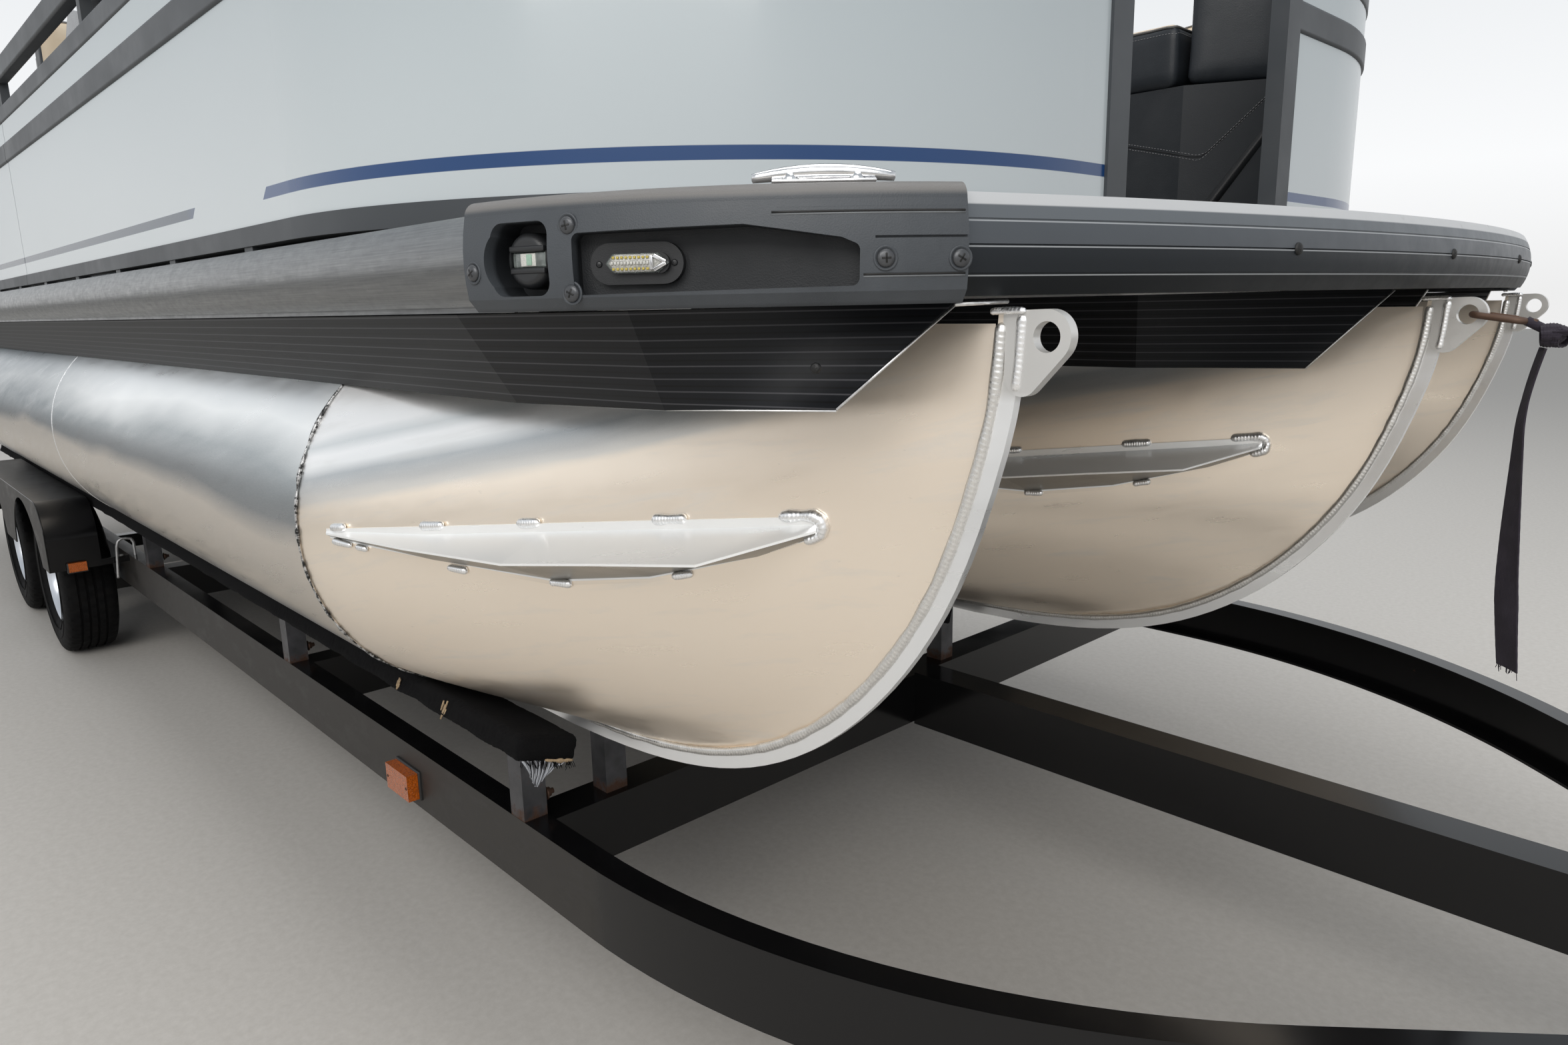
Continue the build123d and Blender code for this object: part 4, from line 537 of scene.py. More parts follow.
def tube_painted_reflections(g, station, z):
    """Painted reflections on the rolled tube: light and dark bands by height, and painted shade on its top far aft.
    """
    drift = g.times(g.minus(g.noise(1.6, 3.0, 0.5, g.stretch((0.5, 1.0, 2.0))), 0.5), 0.16)
    share = g.span(g.plus(z, drift), TUBE_Z - TUBE_R, TUBE_Z + TUBE_R)
    # the bands are painted reflections of the surroundings, from dark to bright by height
    bands = g.ramp(share, (
        (0.00, (0.12, 0.13, 0.15)), (0.14, (0.24, 0.24, 0.24)), (0.25, (0.66, 0.60, 0.52)),
        (0.47, (0.72, 0.66, 0.59)), (0.53, (0.26, 0.28, 0.30)), (0.63, (0.34, 0.38, 0.40)),
        (0.73, (0.98, 1.0, 1.0)), (0.82, (0.90, 0.93, 0.95)), (0.90, (0.26, 0.31, 0.34)),
        (1.00, (0.14, 0.17, 0.20))))
    # painted shade on the top of the tube far aft
    far = g.times(g.span(station, -1.3, -2.4), g.span(share, 0.50, 0.58))
    return g.mix(g.times(far, 0.62), bands, (0.06, 0.10, 0.13))


def nose_painted_reflections(g, station, z):
    """The nose's warm painted reflection of the ground, with streaks of painted reflection that rise towards the bow,
    and the streaks' fine noise.
    """
    slant = g.plus(z, g.times(station, -0.207))
    lean = g.add("ShaderNodeCombineXYZ")
    g.feed(lean, "X", g.times(slant, 7.0))
    g.feed(lean, "Y", station)
    g.feed(lean, "Z", g.axis("Y"))
    lean = lean.outputs["Vector"]
    level = g.plus(slant, g.times(g.minus(g.noise(1.5, 3.0, 0.55, lean), 0.5), 0.05))
    # the sheen ramp is painted reflection: light and dark streaks up to white
    sheen = g.ramp(g.span(level, 0.960, 1.120), (
        (0.00, (0.98, 0.87, 0.74)), (0.09, (0.74, 0.71, 0.66)), (0.19, (0.56, 0.56, 0.55)),
        (0.33, (0.48, 0.51, 0.53)), (0.44, (0.92, 0.93, 0.93)), (0.53, (1.0, 1.0, 1.0)),
        (0.63, (0.74, 0.77, 0.78)), (0.73, (1.0, 1.0, 1.0))))
    # the warm tone is a painted reflection of the pale ground
    warm = g.mix(g.noise(2.2, 3.0), (0.96, 0.83, 0.69), (1.0, 0.91, 0.79))
    nose = g.mix(g.times(g.span(level, 0.955, 0.975), g.span(station, 0.98, 0.70)), warm, sheen)
    fine = g.noise(5.0, 4.0, 0.6, lean, 0.4)
    return g.mix(g.span(fine, 0.54, 0.74, 0.0, 0.35), nose, (0.74, 0.74, 0.72)), fine


def bare_plate(g, station, z):
    """One on the keel plates ahead of the cone and on the eyes."""
    beside = g.math("ABSOLUTE", g.axis("Y"))
    beside = g.math("MINIMUM", beside, g.math("ABSOLUTE", g.minus(beside, TUBE_Y)))
    low, high = TUBE_Z - TUBE_R, 1.262
    count, longest = 24, 1.3
    heights = [low + (n / count) ** (1 / STEM_POWER) * (high - low) for n in range(count + 1)]
    reach = g.ramp(g.math("POWER", g.span(z, low, high), STEM_POWER),
                   [(n / count, (stem_reach(h) / longest,) * 3) for n, h in enumerate(heights)])
    ahead = g.span(g.minus(station, g.times(reach, longest)), -0.0020, -0.0005)
    return g.times(g.span(beside, 0.0070, 0.0065), ahead)


def hull_sheet():
    """Rolled aluminium with painted reflections: banded tubes, noses with a warm painted ground reflection and
    painted sheen, bare stems, bright strakes with painted highlight and shade, scuffs.
    """
    g = Graph("hull_sheet", (0.75, 0.72, 0.68), 0.3, 0.86)
    grain = g.noise(90.0, 4.0, 0.6, g.stretch((1.0, 22.0, 22.0)))
    middle = g.span(g.math("ABSOLUTE", g.axis("Y")), 0.499, 0.501, CENTER_LEAD, 0.0)
    station = g.minus(g.minus(g.axis("X"), SEAM), middle)
    z = g.axis("Z")
    nose, fine = nose_painted_reflections(g, station, z)
    tint = g.mix(g.span(station, -0.004, 0.002), tube_painted_reflections(g, station, z), nose)
    tint = g.mix(g.span(grain, 0.35, 0.75, 0.0, 0.16), tint, (0.96, 0.95, 0.93))
    scuffs = g.noise(34.0, 6.0, 0.72, g.stretch((1.0, 1.0, 3.0)))
    tint = g.mix(g.span(scuffs, 0.68, 0.76, 0.0, 0.30), tint, (0.36, 0.33, 0.30))
    plate = g.mix(g.span(z, 1.170, 1.182), (0.93, 0.94, 0.95), (0.70, 0.695, 0.68))
    tint = g.mix(bare_plate(g, station, z), tint, plate)
    # strakes are bright bare metal with a painted sky highlight, and painted shade darkens their downward faces
    strakes = strake_mask(g, station, 0.0035)
    # painted shade on the strakes' downward faces
    under = g.times(strake_mask(g, station, -0.002), g.span(g.facing("Z"), -0.15, -0.35))
    g.color(g.mix(under, g.mix(strakes, tint, (0.99, 1.0, 1.0)), (0.22, 0.21, 0.19)))
    shade = g.times(g.span(z, 1.06, 1.14), g.span(station, -0.1, 0.0))
    g.feed(g.shader, "Metallic", g.minus(0.86, g.plus(g.times(strakes, 0.45), g.times(shade, 0.34))))
    g.rough(g.span(fine, 0.3, 0.7, 0.26, 0.38))
    g.bump(grain, 0.04, 0.0006)
    g.bump(g.noise(3.5, 2.0, 0.5), 0.10, 0.004)
    return g.material


def cut_aluminium(name, color, rough):
    """Extruded or cut aluminium with light scuffs."""
    g = Graph(name, color, rough, 1.0)
    scuffs = g.noise(45.0, 5.0, 0.65, g.stretch((1.0, 3.0, 3.0)))
    dark = tuple(c * 0.84 for c in color)
    light = tuple(min(1.0, c * 1.12) for c in color)
    g.color(g.mix(g.span(scuffs, 0.35, 0.65), dark, light))
    g.rough(g.span(scuffs, 0.3, 0.7, rough - 0.06, rough + 0.12))
    g.bump(scuffs, 0.06, 0.0005)
    return g.material


def weld_metal(name, color, soot):
    """Bright weld metal with soot in its valleys."""
    g = Graph(name, color, 0.32, 1.0)
    spots = g.noise(320.0, 4.0, 0.6)
    g.color(g.mix(g.span(spots, 0.5, 0.75, 0.0, soot), color, (0.30, 0.29, 0.28)))
    g.rough(g.span(spots, 0.3, 0.7, 0.22, 0.48))
    g.bump(g.noise(600.0, 3.0), 0.25, 0.0004)
    return g.material


def ragged_weld():
    """Rough girth weld: bright metal broken by black, which is scale and painted shadow in the ragged seam."""
    g = Graph("girth_weld_metal", (0.3, 0.3, 0.3), 0.4, 0.8)
    scale = g.noise(170.0, 4.0, 0.65)
    # the black is scale and painted shadow in the seam
    g.color(g.mix(g.span(scale, 0.44, 0.56), (0.55, 0.55, 0.55), (0.025, 0.025, 0.025)))
    g.bump(g.noise(400.0, 3.0), 0.3, 0.0005)
    return g.material


def cap_skin():
    """Moulded corner caps: fine grain, painted shade in the pockets and a painted highlight on the upper bevel."""
    g = Graph("cap_grey", (0.052, 0.059, 0.068), 0.5)
    x = g.minus(g.axis("X"), SEAM + CORNER_X)
    y = g.minus(g.math("ABSOLUTE", g.axis("Y")), CORNER_Y)
    far = g.math("SQRT", g.plus(g.times(x, x), g.times(y, y)))
    z = g.axis("Z")
    clouds = g.noise(14.0, 5.0, 0.6)
    tint = g.mix(g.span(clouds, 0.4, 0.75, 0.0, 0.5), (0.052, 0.059, 0.068), (0.085, 0.095, 0.108))
    # painted highlight on the upward bevel
    tint = g.mix(g.span(z, 1.3605, 1.3650), tint, (0.17, 0.165, 0.16))
    # painted shade inside the lamp pockets
    painted_pocket_shade = g.times(g.span(far, CORNER_R - 0.009, CORNER_R - 0.003, 1.0, 0.0), g.span(z, 1.350, 1.356, 1.0, 0.0))
    g.color(g.mix(painted_pocket_shade, tint, (0.013, 0.015, 0.018)))
    g.rough(g.span(clouds, 0.3, 0.7, 0.42, 0.6))
    g.bump(g.cells(700.0), 0.3, 0.0004)
    return g.material


def grained_plastic(name, color, rough, grain=900.0, strength=0.35):
    """Moulded plastic with a fine leather grain and a little dust."""
    g = Graph(name, color, rough)
    cells = g.cells(grain)
    clouds = g.noise(14.0, 5.0, 0.6)
    lighter = tuple(min(1.0, c * 1.5 + 0.010) for c in color)
    g.color(g.mix(g.span(clouds, 0.4, 0.75, 0.0, 0.5), color, lighter))
    g.rough(g.span(clouds, 0.3, 0.7, rough - 0.08, rough + 0.1))
    g.bump(cells, strength, 0.0004)
    return g.material


def painted(name, color, rough=0.3, coat=0.3, dirt=(0.10, 0.09, 0.08), amount=0.15, metal=0.0):
    """Painted metal with faint orange peel and thin dust."""
    g = Graph(name, color, rough, metal, Coat_Weight=coat, Coat_Roughness=0.10)
    dust = g.noise(7.0, 6.0, 0.62)
    g.color(g.mix(g.span(dust, 0.48, 0.8, 0.0, amount), color, dirt))
    g.rough(g.span(dust, 0.3, 0.75, rough, rough + 0.14))
    g.bump(g.noise(260.0, 2.0), 0.04, 0.0004)
    return g.material


def fabric(name, color, light, scale, strength):
    """Pile or weave with fine fibres."""
    g = Graph(name, color, 0.95, Specular_IOR_Level=0.1)
    fibres = g.noise(scale, 6.0, 0.75)
    patches = g.noise(9.0, 4.0, 0.6)
    tint = g.mix(g.span(fibres, 0.35, 0.7), color, light)
    g.color(g.mix(g.span(patches, 0.4, 0.75, 0.0, 0.4), tint, light))
    g.bump(fibres, strength, 0.003)
    return g.material


def webbing(name, color, light):
    """Woven strap: cross threads and ribs along it."""
    g = Graph(name, color, 0.85, Specular_IOR_Level=0.2, Sheen_Weight=0.1, Sheen_Roughness=0.5)
    threads = g.wave(260.0, "Z", 1.5)
    faded = g.noise(24.0, 5.0, 0.65)
    tint = g.mix(g.span(threads, 0.2, 0.8, 0.0, 0.5), color, light)
    g.color(g.mix(g.span(faded, 0.45, 0.75, 0.0, 0.6), tint, light))
    g.bump(threads, 0.6, 0.0008)
    return g.material


def vinyl(name, color, light, rough):
    """Upholstery vinyl with a pebbled grain and soft creases."""
    g = Graph(name, color, rough, Specular_IOR_Level=0.35)
    wear = g.noise(11.0, 4.0, 0.6)
    g.color(g.mix(g.span(wear, 0.42, 0.75), color, light))
    g.rough(g.span(wear, 0.3, 0.7, rough - 0.05, rough + 0.1))
    g.bump(g.cells(520.0, "SMOOTH_F1"), 0.3, 0.0005)
    g.bump(g.noise(16.0, 3.0, 0.5), 0.12, 0.004)
    return g.material


def rubber():
    """Tyre rubber with dust in its grain."""
    black = (0.003, 0.003, 0.0035)
    g = Graph("tyre_rubber", black, 0.7, Specular_IOR_Level=0.15)
    clouds = g.noise(22.0, 6.0, 0.65)
    g.color(g.mix(g.span(clouds, 0.45, 0.78, 0.0, 0.6), black, (0.014, 0.013, 0.012)))
    g.rough(g.span(clouds, 0.3, 0.7, 0.6, 0.85))
    g.bump(g.noise(420.0, 3.0), 0.25, 0.0005)
    return g.material


def polished(name):
    """Polished or plated steel with faint swirls."""
    g = Graph(name, (0.80, 0.80, 0.81), 0.12, 1.0)
    swirls = g.noise(70.0, 4.0, 0.6)
    g.color(g.mix(g.span(swirls, 0.35, 0.7), (0.66, 0.66, 0.67), (0.86, 0.86, 0.86)))
    g.rough(g.span(swirls, 0.3, 0.7, 0.08, 0.2))
    return g.material


def lens(name, color, rough, clear, facets):
    """Moulded lens with small facets inside."""
    g = Graph(name, color, rough, 0.0, Transmission_Weight=clear, IOR=1.49, Coat_Weight=0.6)
    cells = g.cells(facets)
    dark = tuple(c * 0.6 for c in color)
    g.color(g.mix(g.span(cells, 0.1, 0.7), color, dark))
    g.bump(cells, 0.5, 0.001)
    return g.material


def glass_sheet():
    """Tinted acrylic with faint smears."""
    g = Graph("tinted_acrylic", (0.30, 0.33, 0.36), 0.06, 0.0, Transmission_Weight=0.85, IOR=1.49)
    smears = g.noise(6.0, 4.0, 0.6)
    g.rough(g.span(smears, 0.3, 0.7, 0.03, 0.12))
    return g.material


def panel_paint():
    """Gloss pale panel paint, darker towards the top, and the blue line that runs round the fence."""
    g = Graph("panel_paint", (0.50, 0.57, 0.62), 0.26, 0.0, Coat_Weight=0.25, Coat_Roughness=0.08)
    clouds = g.noise(0.9, 3.0, 0.5, g.stretch((0.7, 0.7, 1.3)))
    x, z = g.axis("X"), g.axis("Z")
    rise = g.span(g.plus(z, g.times(clouds, 0.25)), 1.45, 1.95)
    tint = g.mix(rise, (0.60, 0.655, 0.685), (0.42, 0.485, 0.52))
    # the line is one height all along, with a slanted gap in it
    slant = g.plus(x, g.times(z, -1.2))
    line = g.band(z, 1.439, 1.456)
    gap = g.band(slant, SEAM - 2.137, SEAM - 1.757, 0.001)
    line = g.times(line, g.minus(1.0, gap))
    aft = g.span(x, SEAM - 0.45, SEAM - 0.35)
    blue = g.mix(aft, (0.006, 0.030, 0.064), (0.001, 0.045, 0.170))
    g.color(g.mix(line, tint, blue))
    g.bump(g.noise(2.2, 2.0), 0.02, 0.002)
    return g.material


def bumper_skin():
    """Anodised bumper with painted light: a pale painted sky reflection on the upper lip, bands painted darker from
    groove to groove downward, and painted highlights on the grooves' lower lips.
    """
    g = Graph("bumper_skin", (0.030, 0.033, 0.038), 0.42, 0.3, Specular_IOR_Level=0.35)
    z = g.axis("Z")
    scuffs = g.noise(26.0, 6.0, 0.7)
    tint = (0.006, 0.008, 0.010)
    # bands painted lighter towards the top, where more light falls, up to the painted sky reflection on the lip
    for low, color in ((1.2925, (0.018, 0.022, 0.027)), (1.3165, (0.085, 0.095, 0.108)),
                       (1.3400, (0.135, 0.150, 0.165)), (1.3545, (0.60, 0.61, 0.62))):
        tint = g.mix(g.span(z, low - 0.0010, low + 0.0006), tint, color)
    tint = g.mix(g.span(scuffs, 0.62, 0.78, 0.0, 0.25), tint, (0.12, 0.12, 0.12))
    # painted highlight on the lower lip of each groove
    for height in (1.3393, 1.3163, 1.2903):
        tint = g.mix(g.band(z, height - 0.0006, height + 0.0006, 0.0003), tint, (0.40, 0.42, 0.44))
    g.color(tint)
    g.rough(g.span(scuffs, 0.3, 0.7, 0.36, 0.48))
    return g.material


def skirt_skin():
    """Black ribbed skirt with a fine painted highlight on each rib and a line of painted shade between."""
    foot, top, ribs = 1.160, 1.2655, 8
    g = Graph("skirt_skin", (0.006, 0.007, 0.009), 0.46, 0.0, Specular_IOR_Level=0.25)
    z = g.axis("Z")
    step = (top - foot) / ribs
    phase = g.math("FRACT", g.math("DIVIDE", g.minus(top, z), step))
    # light is a painted highlight on each rib, dark is painted shade between the ribs
    light = g.band(phase, 0.27, 0.35, 0.04)
    dark = g.band(phase, 0.80, 0.92, 0.05)
    scuffs = g.noise(20.0, 6.0, 0.7)
    tint = g.mix(g.span(scuffs, 0.6, 0.8, 0.0, 0.3), (0.006, 0.007, 0.009), (0.03, 0.03, 0.03))
    # painted shade line, then painted highlight line
    tint = g.mix(g.times(dark, 0.8), tint, (0.002, 0.002, 0.002))
    g.color(g.mix(g.times(light, 0.75), tint, (0.10, 0.10, 0.11)))
    return g.material


def deck_vinyl():
    """Woven deck flooring."""
    g = Graph("deck_vinyl", (0.34, 0.32, 0.30), 0.7)
    threads = g.wave(160.0, "X", 2.0)
    across = g.wave(160.0, "Y", 2.0)
    weave = g.times(threads, across)
    patches = g.noise(3.0, 5.0, 0.6)
    tint = g.mix(weave, (0.22, 0.215, 0.21), (0.40, 0.385, 0.36))
    g.color(g.mix(g.span(patches, 0.45, 0.75, 0.0, 0.3), tint, (0.30, 0.28, 0.25)))
    g.bump(weave, 0.3, 0.0008)
    return g.material


def wood():
    """Bare split wood."""
    g = Graph("bare_wood", (0.48, 0.36, 0.22), 0.8)
    fibres = g.noise(60.0, 6.0, 0.7, g.stretch((1.0, 14.0, 14.0)))
    g.color(g.mix(g.span(fibres, 0.35, 0.7), (0.30, 0.20, 0.11), (0.60, 0.47, 0.31)))
    g.bump(fibres, 0.8, 0.002)
    return g.material


def chip(name, color):
    """Small lamp chips and dial marks: matt colour with a faint pattern."""
    g = Graph(name, color, 0.35)
    cells = g.cells(1400.0)
    g.color(g.mix(g.span(cells, 0.2, 0.8), color, tuple(c * 0.7 for c in color)))
    return g.material


def add_tail():
    """The strap's loose end: woven webbing that hangs from the knot and frays at its end."""
    route = ((SEAM + 1.354, 0.0, 1.1857), (SEAM + 1.337, 0.0, 1.110), (SEAM + 1.340, 0.0, 1.010),
             (SEAM + 1.343, 0.0, 0.910), (SEAM + 1.348, 0.0, 0.810), (SEAM + 1.361, 0.0, 0.705))
    curve = bpy.data.curves.new("tail_line", "CURVE")
    curve.dimensions = "3D"
    curve.resolution_u = 16
    spline = curve.splines.new("NURBS")
    spline.points.add(len(route) - 1)
    for point, place in zip(spline.points, route):
        point.co = (*place, 1.0)
    spline.order_u = 3
    spline.use_endpoint_u = True
    holder = bpy.data.objects.new("tail_line", curve)
    bpy.context.scene.collection.objects.link(holder)
    bpy.context.view_layer.update()
    traced = bpy.data.meshes.new_from_object(holder.evaluated_get(bpy.context.evaluated_depsgraph_get()))
    path = [tuple(v.co) for v in traced.vertices]
    bpy.data.objects.remove(holder)
    bpy.data.curves.remove(curve)
    bpy.data.meshes.remove(traced)
    if path[0][2] < path[-1][2]:
        path.reverse()
    tail = Shape()
    drops = [-place[2] for place in route]
    turns = (-70, -70, -60, -48, -38, -44)
    wide, thick, columns = STRAP_WIDE, 0.0024, 45
    line = even_line(path, 0.0025)
    rings = []
    for n, point in enumerate(line):
        turn = math.radians(np.interp(-point[2], drops, turns))
        side = vec(math.cos(turn), math.sin(turn), 0.0)
        out = vec(-math.sin(turn), math.cos(turn), 0.0)
        # shallow ripple along the edges, and a cupped section
        cup = 0.0018 * math.sin(n * 0.11) + 0.0006 * math.sin(n * 0.37 + 1.0)
        front, back = [], []
        for k in range(columns + 1):
            s = 2.0 * k / columns - 1.0
            rib = 0.5 - 0.5 * math.cos(math.tau * k / 3)
            hem = 1.0 if abs(s) > 0.86 else 0.0
            bulge = thick / 2 * (0.72 + 0.28 * rib + 0.3 * hem * (1 - rib))
            reach = s * wide / 2 * (1.0 - 0.012 * math.sin(n * 0.45) ** 2)
            middle = point + side * reach + out * cup * (1 - s * s)
            front.append(middle + out * bulge)
            back.append(middle - out * bulge)
        rings.append(front + back[::-1])
    tail.rings(rings)
    # loose threads below the cut
    dice = random.Random(11)
    last = line[-1]
    turn = math.radians(turns[-1])
    side = vec(math.cos(turn), math.sin(turn), 0.0)
    for _ in range(14):
        s = dice.uniform(-0.95, 0.95)
        drop = dice.uniform(0.004, 0.013)
        lean = dice.uniform(-0.004, 0.004)
        start = last + side * s * wide / 2 + vec(0, 0, 0.002)
        rod(tail, [start, start + side * lean * 0.4 - vec(0, 0, drop * 0.5),
                   start + side * lean - vec(0, 0, drop)], 0.0005, sides=5)
    piece = tail.finish("tail_webbing", ("webbing",), slot="strap_webbing")
    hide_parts("strap_tail")


def add_welds():
    """Weld beads: along the keel strips, round the nose and rear seams, and along the eye plates."""
    keels, eyes, girths = Shape(), Shape(), Shape()
    turns = [math.radians(t) for t in np.linspace(-125, 305, 220) if t < 235]
    for n, (y, seam) in enumerate(TUBES):
        points, outs = stem_line(seam, y, -0.003)
        edge, edge_outs = stem_line(seam, y, KEEL_DEEP, start=1.05, top=1.256)
        eye = edge[:, 2] > 1.176
        for side in (-1, 1):
            abeam = vec(0.0, side * 0.9, 0.0)
            bead(keels, points + vec(0.0, side * (KEEL_THICK / 2 + 0.0005), 0.0), outs * 0.45 + abeam, 0.0138, 0.0058,
                 pitch=0.0056, seed=3 * n + side)
            bead(eyes, edge[eye] + vec(0.0, side * 0.0056, 0.0), edge_outs[eye] * 0.25 + abeam, 0.0115, 0.0040,
                 pitch=0.0054, seed=40 + 3 * n + side)
        lug = ((-0.062, 1.2575), (-0.040, 1.2580), (-0.022, 1.2578))
        bead(eyes, [(seam + EYE_X + x, y - 0.0075, z) for x, z in lug], (0, -0.5, 0.8), 0.008, 0.004, seed=50 + n)
        loop = [(seam + 0.0012, y + TUBE_R * math.cos(t), TUBE_Z + TUBE_R * math.sin(t)) for t in turns]
        outward = [(0.25, math.cos(t), math.sin(t)) for t in turns]
        bead(girths, loop, outward, 0.0062, 0.0022, pitch=0.006, seed=60 + n, rough=0.75, sides=5)
        for back in (2.13, 4.06):
            r = TUBE_R - 0.0004
            loop = [(seam - back, y + r * math.cos(t), TUBE_Z + r * math.sin(t)) for t in turns]
            outward = [(0.0, math.cos(t), math.sin(t)) for t in turns]
            bead(girths, loop, outward, 0.012, 0.0020, pitch=0.009, seed=70 + n, kind=1, rough=0.1, sides=5)
    keels.finish("keel_welds", ("keel_weld",), slot="hull_aluminium")
    eyes.finish("eye_welds", ("weld",), slot="hull_aluminium")
    girths.finish("girth_welds", ("girth_weld", "weld"), slot="hull_aluminium")


def nose_spot(y, seam, side, x, z, lift):
    """A point over a nose cone's skin and the skin's direction there."""
    step = 0.004
    fore = (nose_half(x + step, z) - nose_half(x - step, z)) / (2 * step)
    up = (nose_half(x, z + step) - nose_half(x, z - step)) / (2 * step)
    normal = unit((-fore, side, -up))
    return vec(seam + x, y + side * nose_half(x, z), z) + normal * lift, normal


def add_stitch_welds():
    """Short welds along both edges of each strake, and the one that wraps its tip."""
    upper = ((0.100, 0.134), (0.288, 0.332), (0.458, 0.496), (0.665, 0.714))
    lower = ((0.100, 0.142), (0.152, 0.176), (0.328, 0.363), (0.498, 0.533), (0.684, 0.714), (0.817, 0.861))
    low_x, low_z = zip((0.083, 0.932), (0.167, 0.926), (0.256, 0.920), (0.332, 0.914), (0.428, 0.909), (0.528, 0.912),
                       (0.622, 0.925), (0.720, 0.948), (0.774, 0.968), (0.817, 0.989), (0.861, 1.007))
    tip = ((0.836, 1.0290), (0.850, 1.0310), (0.866, 1.0330), (0.880, 1.0340), (0.889, 1.0300), (0.892, 1.0210),
           (0.889, 1.0120), (0.878, 1.0065), (0.866, 1.0035))
    welds = Shape()

    def weld(y, seam, side, line, lift, width, high, seed, **more):
        spots = [nose_spot(y, seam, side, x, z, lift) for x, z in line]
        bead(welds, [p for p, _ in spots], [q for _, q in spots], width, high, seed=seed, sides=9, **more)

    for n, (y, seam) in enumerate(TUBES):
        for side in (-1, 1):
            for k, ends in enumerate(upper):
                line = [(x, STRAKE_TOP + STRAKE_SLOPE * x) for x in np.linspace(*ends, 6)]
                weld(y, seam, side, line, 0.0022, 0.0135, 0.0066, 9 * n + k + side)
            for k, ends in enumerate(lower):
                line = [(x, float(np.interp(x, low_x, low_z)) - 0.001) for x in np.linspace(*ends, 6)]
                weld(y, seam, side, line, 0.001, 0.0110, 0.0056, 99 + 9 * n + k + side)
            weld(y, seam, side, tip, 0.0020, 0.0150, 0.0085, 199 + n + side, pitch=0.0052, rough=0.25)
    welds.finish("strake_welds", ("weld",), slot="hull_aluminium")


def corner_axes(turn, side, radius, z):
    """Place on a bow corner with its directions: out of the cap, towards the bow, and up."""
    a = math.radians(turn)
    place = vec(SEAM + CORNER_X + radius * math.cos(a), side * (CORNER_Y - radius * math.sin(a)), z)
    out = vec(math.cos(a), -side * math.sin(a), 0.0)
    along = vec(-math.sin(a), -side * math.cos(a), 0.0)
    return place, (out, along, UP)


def cap_radius(z):
    """Radius of a corner cap's outer face at a height."""
    rise = z - 1.324
    return CORNER_R + 0.007 - 0.0568 * rise - 2.653 * rise * rise


def pan_head(shape, at, out, radius, high, turn=0.6, kind=0, recess=1):
    """A pan-head screw with a cross recess."""
    lathe(shape, at, out, ((radius, -0.001), (radius, high * 0.25), (radius * 0.88, high * 0.7),
                           (radius * 0.6, high * 0.94), (0.0, high)), kind, 20)
    first = unit(np.cross(out, (0.3, 0.2, 1.0)))
    second = np.cross(unit(out), first)
    # the cross recess is two thin blocks in a dark material: painted shade
    for angle in (turn, turn + math.pi / 2):
        along = first * math.cos(angle) + second * math.sin(angle)
        block(shape, np.asarray(at) + unit(out) * high * 0.93, (along, np.cross(unit(out), along), out),
              (radius * 0.52, radius * 0.11, high * 0.12), 0.0002, recess, 1)


